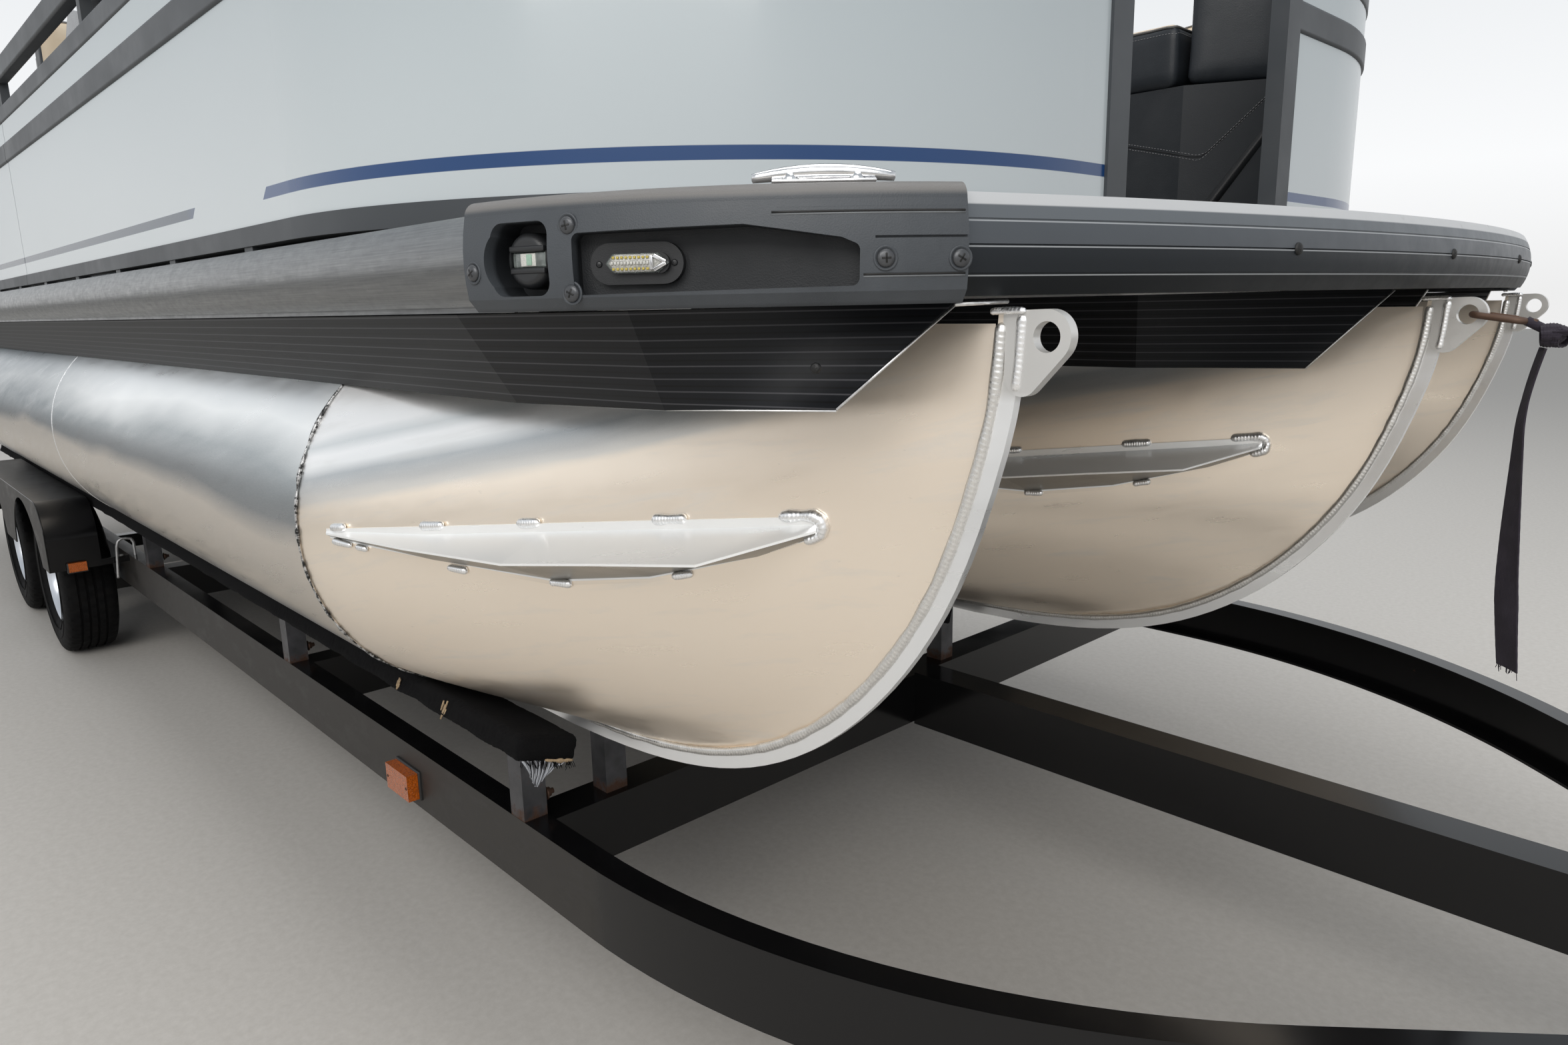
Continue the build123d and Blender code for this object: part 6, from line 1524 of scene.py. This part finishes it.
def add_strap():
    """The snap hook, the webbing up to the winch, its knot and its turns on the drum."""
    slope = math.radians(9.0)
    ahead = vec(math.cos(slope), 0.0, -math.sin(slope))
    above = vec(math.sin(slope), 0.0, math.cos(slope))
    middle = vec(SEAM + CENTER_LEAD + EYE_X + 0.0387, 0.0, EYE_Z - 0.0052)
    add_hook(middle, ahead, above)
    strap = Shape()
    start, end = vec(SEAM + 1.366, 0.0, 1.2065), vec(SEAM + 2.030, 0.0, 1.2695)
    line = even_line([start, end], 0.004)
    out = unit(np.cross(end - start, -PORT))
    rings = []
    for n, p in enumerate(line):
        # the webbing gathers towards the knot
        flat = min(1.0, 5 * n / (len(line) - 1))
        rings.append(ribbed(p, PORT, out, 0.0215 + 0.0035 * flat, 0.0011, 0.0004, 0.0030 * (1 - flat)))
    strap.rings(rings)
    # knot: three creased wraps
    center = vec(SEAM + 1.364, 0.0, 1.204)
    for wrap, (lean, size, shift) in enumerate(((0.10, 1.0, -0.004), (-0.35, 0.93, 0.006), (0.55, 0.86, 0.001))):
        rings = []
        axis = unit((math.cos(lean), 0.25 * (-1) ** wrap, math.sin(lean)))
        first = unit(np.cross(axis, PORT))
        second = np.cross(axis, first)
        for t in circle(60):
            out = first * math.cos(t) * 0.0148 * size + second * math.sin(t) * 0.0205 * size
            crease = 1.0 + 0.05 * math.sin(5 * t + wrap) + 0.03 * math.sin(11 * t + 2 * wrap)
            outer, inner = [], []
            for j in range(17):
                s = j / 8 - 1.0
                bulge = 0.0026 * (1 - s * s) + 0.0006 * math.cos(6 * math.pi * s)
                outer.append(center + axis * (shift + s * 0.0115 * size) + out * crease * 0.93 + unit(out) * bulge)
                inner.append(center + axis * (shift + s * 0.0110 * size) + out * crease * 0.80)
            rings.append(outer + inner[::-1])
        strap.rings(rings, along=True)
    # the part that goes from the knot through the hook's eye
    rod(strap, even_line([center - ahead * 0.004, center - ahead * 0.012 + above * 0.006,
                          middle + ahead * 0.034 + above * 0.001], 0.004), 0.0068, sides=10)
    piece = strap.finish("strap_run", ("webbing",), slot="strap_webbing")
    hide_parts("winch_strap")
    drum = Shape()
    spot = vec(SEAM + 2.030, 0.0, 1.240)
    for k in range(3):
        rings = []
        r = 0.0285 + 0.0022 * k
        for t in circle(48):
            way = vec(math.cos(t), 0.0, math.sin(t))
            rings.append([spot + way * (r + high) + PORT * y
                          for high, y in ((0, 0.025), (0.0018, 0.0245), (0.0018, -0.0245), (0, -0.025))])
        drum.rings(rings, along=True)
    drum.finish("drum_webbing", ("webbing",), slot="strap_webbing")


def add_trailer_details():
    """Fender lips, gaskets of the lamps, bent rods, bolts of fenders and brackets, and weld beads."""
    parts, soft = Shape(), Shape()
    quarter = np.linspace(0, math.pi / 2, 12)
    for side in (-1, 1):
        # rolled lip along the fender's outer face, round both wheels
        low, top, r, fore, aft = 0.402, 0.640, 0.130, -2.615, -4.330
        lip = [(fore, low), *((fore - r + r * math.cos(a), top - r + r * math.sin(a)) for a in quarter),
               *((aft + r - r * math.sin(a), top - r + r * math.cos(a)) for a in quarter), (aft, low)]
        rod(parts, even_line([(SEAM + x, side * 1.2885, z) for x, z in lip], 0.012), 0.0022, 0, sides=8)
        # gaskets of the side marker and of the fender's lamp, and the marker's screws
        block(soft, (SEAM - 0.240, side * 1.0465, 0.349), ABREAST, (0.054, 0.0042, 0.0310), 0.003, 0)
        block(soft, (SEAM - 2.6065, side * 1.2075, 0.4085), ABREAST, (0.0065, 0.0315, 0.0185), 0.003, 0)
        for x in (-0.283, -0.197):
            pan_head(parts, (SEAM + x, side * 1.0725, 0.349), (0, side, 0), 0.0034, 0.0016, 0.4, 1, 1)
        # galvanized bent rod behind the front of the fender
        bent = ((-2.595, 1.030, 0.350), (-2.595, 1.030, 0.470), (-2.595, 1.036, 0.486), (-2.595, 1.050, 0.490),
                (-2.595, 1.066, 0.490), (-2.595, 1.078, 0.482), (-2.597, 1.084, 0.460), (-2.602, 1.092, 0.348))
        rod(parts, even_line([(SEAM + x, side * y, z) for x, y, z in bent], 0.006), 0.0048, 2, sides=10)
        # bolts where the fender's straps meet the rail
        for x in (-2.6185, -4.3215):
            for y in (1.070, 1.078):
                lathe(parts, (SEAM + x, side * y, 0.4235), UP, ((0.0075, 0), (0.0075, 0.005), (0.0, 0.0055)), 2, 6)
        for place in CROSS_X:
            lathe(parts, (SEAM + place - 0.031, side * 0.995, 0.455), (0, -side, 0),
                  ((0.0125, 0.0), (0.0125, 0.0022), (0.0085, 0.0024), (0.0085, 0.009), (0.0050, 0.0095),
                   (0.0050, 0.016), (0.0, 0.0165)), 3, 14)
    for y in (-0.038, 0.038):
        pan_head(parts, (SEAM + 2.05, y, 1.1605), UP, 0.006, 0.003, 0.2, 2, 1)
    # weld beads where cross members meet the rails
    for place in CROSS_X:
        for side in (-1, 1):
            corner = [(SEAM + place + 0.0005, side * 1.0385, z) for z in (0.306, 0.360, 0.414)]
            bead(parts, corner, (1, -side, 0), 0.007, 0.0032, seed=int(place * 100) % 97 + side, kind=0)
    parts.finish("trailer_fasteners", ("trailer", "recess", "galvanized", "rusty"), slot="steel")
    soft.finish("lamp_gaskets", ("gasket",), slot="dark_plastic")


def add_helm_details():
    """Gauges, screen, switches and throttle on the console, and the wheel's grip."""
    # the dash slopes between the two upper corners of the side profile
    low, high = vec(SEAM + HELM_X - 0.080, HELM_Y, 1.990), vec(SEAM + HELM_X + 0.120, HELM_Y, 2.140)
    up = unit(high - low)
    out = unit(np.cross(up, PORT))
    middle = (low + high) / 2
    dash = (PORT, up, out)
    parts = Shape()
    for n, y in enumerate((-0.170, -0.060)):
        spot = middle + PORT * y + up * 0.010 + out * 0.0002
        lathe(parts, spot, out, ((0.046, 0.0), (0.046, 0.006), (0.042, 0.0085), (0.0395, 0.006), (0.0, 0.006)), 0, 40)
        lathe(parts, spot + out * 0.0061, out, ((0.0385, 0.0), (0.0385, 0.0006), (0.0, 0.0007)), 1, 40)
        # marks of the dial, then its needle
        marks = [(-130 + 13 * k, 0.033, 0.0071, (0.0035 if k % 5 == 0 else 0.0020, 0.0006, 0.0004), 0.0001, 2)
                 for k in range(21)]
        for turn, far, lift, half, rounding, kind in (*marks, (-70 + 45 * n, 0.013, 0.0078, (0.0175, 0.0009, 0.0006),
                                                               0.0002, 3)):
            t = math.radians(turn)
            way = up * math.cos(t) + PORT * math.sin(t)
            block(parts, spot + way * far + out * lift, (way, np.cross(out, way), out), half, rounding, kind, 1)
        lathe(parts, spot + out * 0.0070, out, ((0.0040, 0.0), (0.0040, 0.0022), (0.0, 0.0026)), 0, 16)
    screen = middle + PORT * 0.105
    block(parts, screen + out * 0.004, dash, (0.095, 0.066, 0.005), 0.003, 0)
    block(parts, screen + out * 0.0088, dash, (0.086, 0.057, 0.0010), 0.0005, 4)
    for k in range(6):
        spot = middle - up * 0.088 + PORT * (0.035 + 0.034 * k) + out * 0.003
        block(parts, spot, dash, (0.0125, 0.018, 0.003), 0.002, 0)
        block(parts, spot + out * 0.0035 + up * 0.004, (PORT, up + out * 0.15, out), (0.0085, 0.0095, 0.0022),
              0.001, 5)
    # throttle: foot, arm and grip on the dash's inboard end
    foot = middle + PORT * 0.265 + out * 0.0005
    lathe(parts, foot, out, ((0.034, 0.0), (0.034, 0.014), (0.028, 0.022), (0.0, 0.024)), 0, 28)
    arm = [foot + out * 0.020, foot + out * 0.060 + up * 0.010, foot + out * 0.105 + up * 0.026]
    rod(parts, even_line(arm, 0.012), 0.0065, 6, sides=12)
    rod(parts, [arm[-1] + PORT * y for y in (-0.030, -0.026, 0.026, 0.030)], [0.009, 0.0125, 0.0125, 0.009],
        sides=16)
    parts.finish("helm_details", ("lamp_black", "dial", "dial_mark", "needle", "screen", "switch", "steel"),
                 slot="dark_plastic", angle=35)
    # stitched grip sections on the wheel's rim
    tilt, radius = math.radians(35.0), 0.175
    center = vec(SEAM + HELM_X - 0.175, HELM_Y + 0.040, 1.985)
    axis = vec(-math.cos(tilt), 0.0, math.sin(tilt))
    second = np.cross(axis, PORT)
    grip = Shape()
    for begin in (20, 140, 260):
        turns = [math.radians(begin + 80 * k / 25) for k in range(26)]
        ways = [PORT * math.cos(t) + second * math.sin(t) for t in turns]
        rod(grip, [center + radius * way for way in ways], [0.0145] + [0.0152] * 24 + [0.0145], 0, sides=16)
        dashes(grip, [center + (radius - 0.0150) * way + axis * 0.0008 for way in ways], 1, pitch=0.007, long=0.0045)
    grip.finish("wheel_grips", ("grip", "thread"), body="wheel_helm", slot="black_rubber")


def add_motor_details():
    """Belt lines round the cowl between its shells and its vents, dark rods and blocks of painted shade, and its
    silver side lines.
    """
    parts = Shape()
    for z, middle, long, wide, corner, size in ((1.500, -0.155, 0.473, 0.338, 0.096, 0.0035),
                                                (1.445, -0.1505, 0.424, 0.3125, 0.090, 0.0030)):
        loop = []
        for q, (sx, sy) in enumerate(ROUND_CORNERS):
            for t in np.linspace(0, math.pi / 2, 9):
                a = t + q * math.pi / 2
                loop.append((MOTOR_X + middle + sx * (long / 2 - corner) + corner * math.cos(a),
                             sy * (wide / 2 - corner) + corner * math.sin(a), z))
        rod(parts, even_line(loop, 0.01, along=True), size, 0, sides=8, along=True)
    for side in (-1, 1):
        for k in range(5):
            z = 1.80 + 0.022 * k
            wide = np.interp(z, (1.760, 1.900), (0.195, 0.175))
            block(parts, (MOTOR_X - 0.36 + 0.010 * k, side * (wide - 0.0010), z),
                  ((1, 0, 0.05), (0, 1, 0), (-0.05, 0, 1)), (0.042, 0.003, 0.0045), 0.002, 0)
        rows = [(MOTOR_X + x, side * (np.interp(z, (1.560, 1.760), (0.180, 0.195)) - 0.0005), z)
                for x, z in ((0.10, 1.600), (-0.10, 1.625), (-0.30, 1.680), (-0.40, 1.740))]
        rod(parts, even_line(rows, 0.015), 0.0024, 1, sides=6)
    parts.finish("cowl_trim", ("recess", "silver_line"), body="motor", slot="motor_black")


def add_cleats():
    """Horned cleats with tapered bars, low on their bases, at the bow corners and the stern."""
    parts = Shape()
    places = []
    for side in (-1, 1):
        bow, (out, along, _) = corner_axes(-42.5, side, CORNER_R - 0.028, 1.3733)
        places += [(bow, along, out), (vec(SEAM - 5.900, side * (RAIL_OUT - 0.070), DECK_TOP), vec(1, 0, 0), PORT)]
    for at, way, across in places:
        block(parts, at + UP * 0.0017, (way, across, UP), (0.047, 0.0125, 0.0015), 0.0012, 0, 3)
        for end in (-1, 1):
            lathe(parts, at + way * end * 0.030 + UP * 0.002, UP, ((0.0095, 0.0), (0.0075, 0.003), (0.0070, 0.008)),
                  0, 20)
            pan_head(parts, at + way * end * 0.041 + UP * 0.0030, UP, 0.0040, 0.0014, 0.7, 0, 1)
        shares = np.linspace(-1, 1, 25)
        bar = [at + way * s * 0.064 + UP * (0.0105 - 0.0050 * s * s) for s in shares]
        radii = [0.0042 + 0.0030 * (1 - abs(s) ** 2.2) for s in shares]
        rod(parts, [bar[0] - way * 0.0006, *bar, bar[-1] + way * 0.0006], [0.0020, *radii, 0.0020], 0, sides=16)
    piece = parts.finish("cleat_bars", ("steel", "recess"), slot="steel")
    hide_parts("cleats")


def make_materials():
    """Every material that the pieces share."""
    return {
        "hull": hull_sheet(), "bright": cut_aluminium("cut_aluminium", (0.74, 0.74, 0.74), 0.34), "rail": rail_skin(),
        "weld": weld_metal("weld_metal", (0.93, 0.93, 0.93), 0.25),
        "keel_weld": weld_metal("keel_weld_metal", (0.80, 0.79, 0.77), 0.35), "girth_weld": ragged_weld(),
        "webbing": webbing("strap_weave", (0.030, 0.025, 0.036), (0.062, 0.053, 0.070)),
        "screw_dark": painted("screw_black", (0.075, 0.078, 0.084), 0.34, 0.2, (0.14, 0.14, 0.14), 0.3, 0.6),
        # near-black for painted shade in grooves, belt lines, vents and screw recesses, and for the heads of black
        # screws
        "recess": painted("black_and_painted_shade", (0.004, 0.004, 0.004), 0.5, 0.0),
        # the pale lip rod of the cap grooves is a painted highlight
        "cap": cap_skin(), "cap_groove_highlight": grained_plastic("cap_groove_highlight_grey", (0.15, 0.16, 0.17), 0.45, 700.0, 0.3),
        "lens_clear": lens("lens_clear_skin", (0.66, 0.74, 0.72), 0.08, 0.75, 160.0),
        "lens_inner": lens("lens_inner_skin", (0.70, 0.70, 0.66), 0.15, 0.15, 600.0),
        "chip_white": chip("chip_white", (0.80, 0.80, 0.76)), "chip_yellow": chip("chip_yellow", (0.70, 0.56, 0.12)),
        "chip_green": chip("chip_green", (0.42, 0.62, 0.50)), "chip_red": chip("chip_red", (0.55, 0.10, 0.08)),
        "lamp_black": grained_plastic("lamp_black", (0.016, 0.017, 0.019), 0.35, 900.0, 0.15),
        "chrome": polished("chrome"), "steel": polished("polished_steel"),
        "rusty": painted("rusty_steel", (0.105, 0.058, 0.038), 0.5, 0.0, (0.24, 0.19, 0.16), 0.45, 0.55),
        "galvanized": cut_aluminium("galvanized_steel", (0.45, 0.45, 0.45), 0.5),
        "carpet": fabric("bunk_pile", (0.003, 0.003, 0.0035), (0.012, 0.012, 0.013), 520.0, 1.0),
        "backing": fabric("carpet_backing", (0.30, 0.32, 0.36), (0.48, 0.50, 0.54), 900.0, 0.4),
        "backing_dark": fabric("carpet_backing_dark", (0.06, 0.065, 0.075), (0.12, 0.12, 0.13), 900.0, 0.4),
        "wood": wood(),
        "charcoal": vinyl("vinyl_charcoal_skin", (0.016, 0.020, 0.025), (0.026, 0.030, 0.036), 0.42),
        "beige": vinyl("vinyl_beige_skin", (0.60, 0.50, 0.37), (0.66, 0.57, 0.44), 0.48),
        "seam": vinyl("seam_shadow", (0.010, 0.010, 0.011), (0.014, 0.014, 0.015), 0.6),
        "piping": vinyl("piping_skin", (0.13, 0.125, 0.12), (0.20, 0.19, 0.18), 0.45),
        "thread": fabric("thread_skin", (0.26, 0.26, 0.27), (0.40, 0.40, 0.41), 1500.0, 0.3),
        "band": vinyl("band_black", (0.006, 0.006, 0.007), (0.012, 0.012, 0.013), 0.35),
        "base": vinyl("base_vinyl", (0.019, 0.022, 0.026), (0.028, 0.031, 0.035), 0.5),
        "tyre": rubber(),
        "rim": painted("rim_silver_paint", (0.60, 0.63, 0.68), 0.28, 0.4, (0.2, 0.19, 0.17), 0.25, 0.6),
        "trailer": trailer_paint(),
        "fence": painted("fence_grey_paint", (0.066, 0.073, 0.081), 0.42, 0.0, (0.12, 0.12, 0.12), 0.2, 0.35),
        "gasket": grained_plastic("gasket_black", (0.012, 0.012, 0.012), 0.5, 900.0, 0.2),
        "dial": painted("dial_black", (0.010, 0.011, 0.013), 0.25, 0.3),
        "dial_mark": chip("dial_mark", (0.75, 0.76, 0.78)), "needle": chip("dial_needle", (0.65, 0.08, 0.03)),
        "screen": painted("screen_glass_dark", (0.012, 0.015, 0.020), 0.06, 0.8),
        "switch": grained_plastic("switch_black", (0.025, 0.026, 0.028), 0.4, 900.0, 0.2),
        "grip": vinyl("grip_skin", (0.016, 0.016, 0.017), (0.026, 0.026, 0.027), 0.5),
        "silver_line": cut_aluminium("silver_line", (0.5, 0.5, 0.52), 0.3),
        "deck": deck_vinyl(), "bumper": bumper_skin(), "skirt": skirt_skin(), "panel": panel_paint(),
        "acrylic": glass_sheet(), "bracket": bracket_paint(),
        "console": painted("console_gloss", (0.030, 0.033, 0.040), 0.2, 0.4),
        "motor": painted("motor_black_paint", (0.010, 0.010, 0.012), 0.16, 0.7),
        "amber": lens("lens_amber_skin", (0.80, 0.17, 0.008), 0.12, 0.3, 300.0),
    }


def rail_skin():
    """Side rub rails: brushed grey aluminium, darker and striped along its length."""
    g = Graph("rail_skin", (0.21, 0.22, 0.23), 0.34, 1.0)
    lines = g.noise(60.0, 5.0, 0.6, g.stretch((0.15, 9.0, 9.0)))
    scuffs = g.noise(38.0, 6.0, 0.7, g.stretch((1.0, 2.0, 2.0)))
    tint = g.mix(g.span(lines, 0.35, 0.65), (0.185, 0.19, 0.195), (0.26, 0.265, 0.265))
    g.color(g.mix(g.span(scuffs, 0.64, 0.75, 0.0, 0.5), tint, (0.38, 0.37, 0.36)))
    g.rough(g.span(scuffs, 0.3, 0.7, 0.26, 0.42))
    g.bump(lines, 0.05, 0.0005)
    return g.material


def trailer_paint():
    """Gloss black frame paint: clean on top, a grey film of road dust and painted ground reflection on its outboard
    upright faces, rust at its welds.
    """
    g = Graph("trailer_black_paint", (0.004, 0.004, 0.0045), 0.18, 0.0, Specular_IOR_Level=0.4)
    upright = g.span(g.math("ABSOLUTE", g.facing("Y")), 0.6, 0.9)
    outboard = g.span(g.math("ABSOLUTE", g.axis("Y")), 1.0440, 1.0448)
    film = g.noise(9.0, 6.0, 0.65, g.stretch((1.0, 1.0, 2.0)))
    # the grey film on upright outboard faces is road dust and a painted reflection of the ground
    dust = g.times(g.times(upright, outboard), g.span(film, 0.2, 0.75, 0.35, 0.85))
    tint = g.mix(dust, (0.004, 0.004, 0.0045), (0.038, 0.034, 0.030))
    spots = g.noise(17.0, 7.0, 0.72)
    tint = g.mix(g.span(spots, 0.70, 0.76, 0.0, 0.85), tint, (0.095, 0.040, 0.018))
    g.color(tint)
    g.rough(g.plus(g.span(dust, 0.0, 0.6, 0.16, 0.50), g.span(film, 0.4, 0.8, 0.0, 0.08)))
    return g.material


def bracket_paint():
    """Bunk brackets: worn grey steel with rust at the foot."""
    g = Graph("bracket_steel", (0.12, 0.12, 0.13), 0.45, 0.6)
    rust = g.noise(60.0, 6.0, 0.7)
    foot = g.span(g.axis("Z"), 0.425, 0.452, 0.30, 0.0)
    amount = g.span(g.plus(rust, foot), 0.60, 0.84, 0.0, 0.9)
    tint = g.mix(g.span(g.noise(30.0), 0.3, 0.7), (0.055, 0.056, 0.060), (0.10, 0.10, 0.11))
    g.color(g.mix(amount, tint, (0.095, 0.046, 0.026)))
    g.rough(g.span(amount, 0.0, 1.0, 0.38, 0.85))
    return g.material


def add_light(name, energy, size, at, towards, color=(1.0, 1.0, 1.0)):
    """One soft area light."""
    data = bpy.data.lights.new(name, "AREA")
    data.energy = energy
    data.color = color
    data.shape = "RECTANGLE"
    data.size, data.size_y = size
    light = bpy.data.objects.new(name, data)
    light.location = at
    light.rotation_euler = (Vector(towards) - Vector(at)).to_track_quat("-Z", "Y").to_euler()
    bpy.context.scene.collection.objects.link(light)


def world_shade(tree, height, stops, strength):
    """A background whose shade changes with the height of the view."""
    ramp = tree.nodes.new("ShaderNodeValToRGB")
    set_stops(ramp, stops)
    tree.links.new(height, ramp.inputs["Fac"])
    shade = tree.nodes.new("ShaderNodeBackground")
    tree.links.new(ramp.outputs["Color"], shade.inputs["Color"])
    shade.inputs["Strength"].default_value = strength
    return shade.outputs["Background"]


def add_stage():
    """Pale floor, pale world and soft studio lights."""
    mesh = bpy.data.meshes.new("floor")
    half = 40.0
    mesh.from_pydata([(-half, -half, 0), (half, -half, 0), (half, half, 0), (-half, half, 0)], [], [(0, 1, 2, 3)])
    floor = bpy.data.objects.new("floor", mesh)
    bpy.context.scene.collection.objects.link(floor)
    g = Graph("floor_paint", (0.60, 0.58, 0.55), 0.8)
    speckle = g.noise(55.0, 6.0, 0.7)
    g.color(g.mix(g.span(speckle, 0.35, 0.7), (0.55, 0.53, 0.50), (0.62, 0.60, 0.57)))
    mesh.materials.append(g.material)
    world = bpy.data.worlds.new("world")
    world.use_nodes = True
    bpy.context.scene.world = world
    tree = world.node_tree
    tree.nodes.clear()
    out = tree.nodes.new("ShaderNodeOutputWorld")
    path = tree.nodes.new("ShaderNodeLightPath")
    seen = path.outputs["Is Camera Ray"]
    for name in ("Is Glossy Ray", "Is Transmission Ray"):
        either = tree.nodes.new("ShaderNodeMath")
        either.operation = "MAXIMUM"
        tree.links.new(seen, either.inputs[0])
        tree.links.new(path.outputs[name], either.inputs[1])
        seen = either.outputs["Value"]
    coordinate = tree.nodes.new("ShaderNodeTexCoord")
    split = tree.nodes.new("ShaderNodeSeparateXYZ")
    tree.links.new(coordinate.outputs["Generated"], split.inputs["Vector"])
    height = split.outputs["Z"]
    shown = world_shade(tree, height, ((0.0, (0.86, 0.86, 0.86)), (0.10, (0.96, 0.97, 0.98)),
                                       (0.50, (0.66, 0.70, 0.74)), (1.0, (0.44, 0.47, 0.50))), 1.0)
    light = world_shade(tree, height, ((0.0, (0.50, 0.49, 0.48)), (0.20, (0.80, 0.82, 0.84)),
                                       (0.60, (0.90, 0.93, 0.96)), (1.0, (0.90, 0.93, 0.96))), 0.50)
    mixed = tree.nodes.new("ShaderNodeMixShader")
    tree.links.new(seen, mixed.inputs["Fac"])
    tree.links.new(light, mixed.inputs[1])
    tree.links.new(shown, mixed.inputs[2])
    tree.links.new(mixed.outputs["Shader"], out.inputs["Surface"])
    add_light("key", 470.0, (8.0, 5.0), (SEAM + 4.5, -6.5, 6.0), (SEAM, 0.0, 0.9), (1.0, 0.97, 0.93))
    add_light("top", 280.0, (11.0, 5.0), (SEAM - 2.0, 0.0, 7.5), (SEAM - 2.0, 0.0, 1.0))
    add_light("back", 220.0, (6.0, 4.0), (SEAM - 8.0, 5.0, 5.0), (SEAM - 3.0, 0.0, 1.0))
    bpy.context.scene.view_settings.view_transform = "Standard"


def dress_nodes():
    """Gives every CAD node its material."""
    for material, nodes in NODE_SKINS.items():
        for name in nodes.split():
            mesh = NODES[name].data
            mesh.materials.clear()
            mesh.materials.append(MATERIALS[material])


NODE_SKINS = {
    "hull": "tube_starboard tube_center tube_port cross_members motor_pod",
    "bright": "chair_pedestal",
    "rail": "rub_rails",
    "deck": "deck",
    "bumper": "bumper_bow",
    "cap": "bow_corner_caps",
    "skirt": "deck_skirts",
    "lamp_black": "bow_lamps",
    "steel": "cleats ladder_bracket boarding_ladder gate_hinges propeller winch",
    "fence": "fence_rails_starboard fence_rails_port fence_base_rails gate_bow gate_side gate_stern",
    "panel": "fence_panels_starboard fence_panels_port",
    "base": "lounge_bases",
    "charcoal": "lounge_seats lounge_backs",
    "beige": "chair_cushions",
    "console": "helm_console chair_shell",
    "acrylic": "windscreen",
    "grip": "steering_wheel",
    "motor": "motor_bracket motor_swivel motor_leg motor_cowl",
    "trailer": "trailer_rails trailer_beam trailer_crossmembers trailer_axles fenders winch_stand coupler "
               "tongue_jack",
    "bracket": "bunk_brackets",
    "carpet": "bunk_boards",
    "webbing": "winch_strap strap_tail",
    "rusty": "strap_hook",
    "amber": "trailer_lamps",
    "tyre": "tyre_front_starboard tyre_front_port tyre_rear_starboard tyre_rear_port",
    "rim": "rim_front_starboard rim_front_port rim_rear_starboard rim_rear_port",
}

add_camera()
MATERIALS = make_materials()
add_tail()
add_stage()
dress_nodes()
add_welds()
add_stitch_welds()
add_corner_trim()
add_skirt_edges()
add_bunks()
add_strap()
add_trailer_details()
add_wheels()
add_lounges()
add_base_trim()
add_chair()
add_helm_details()
add_motor_details()
add_cleats()
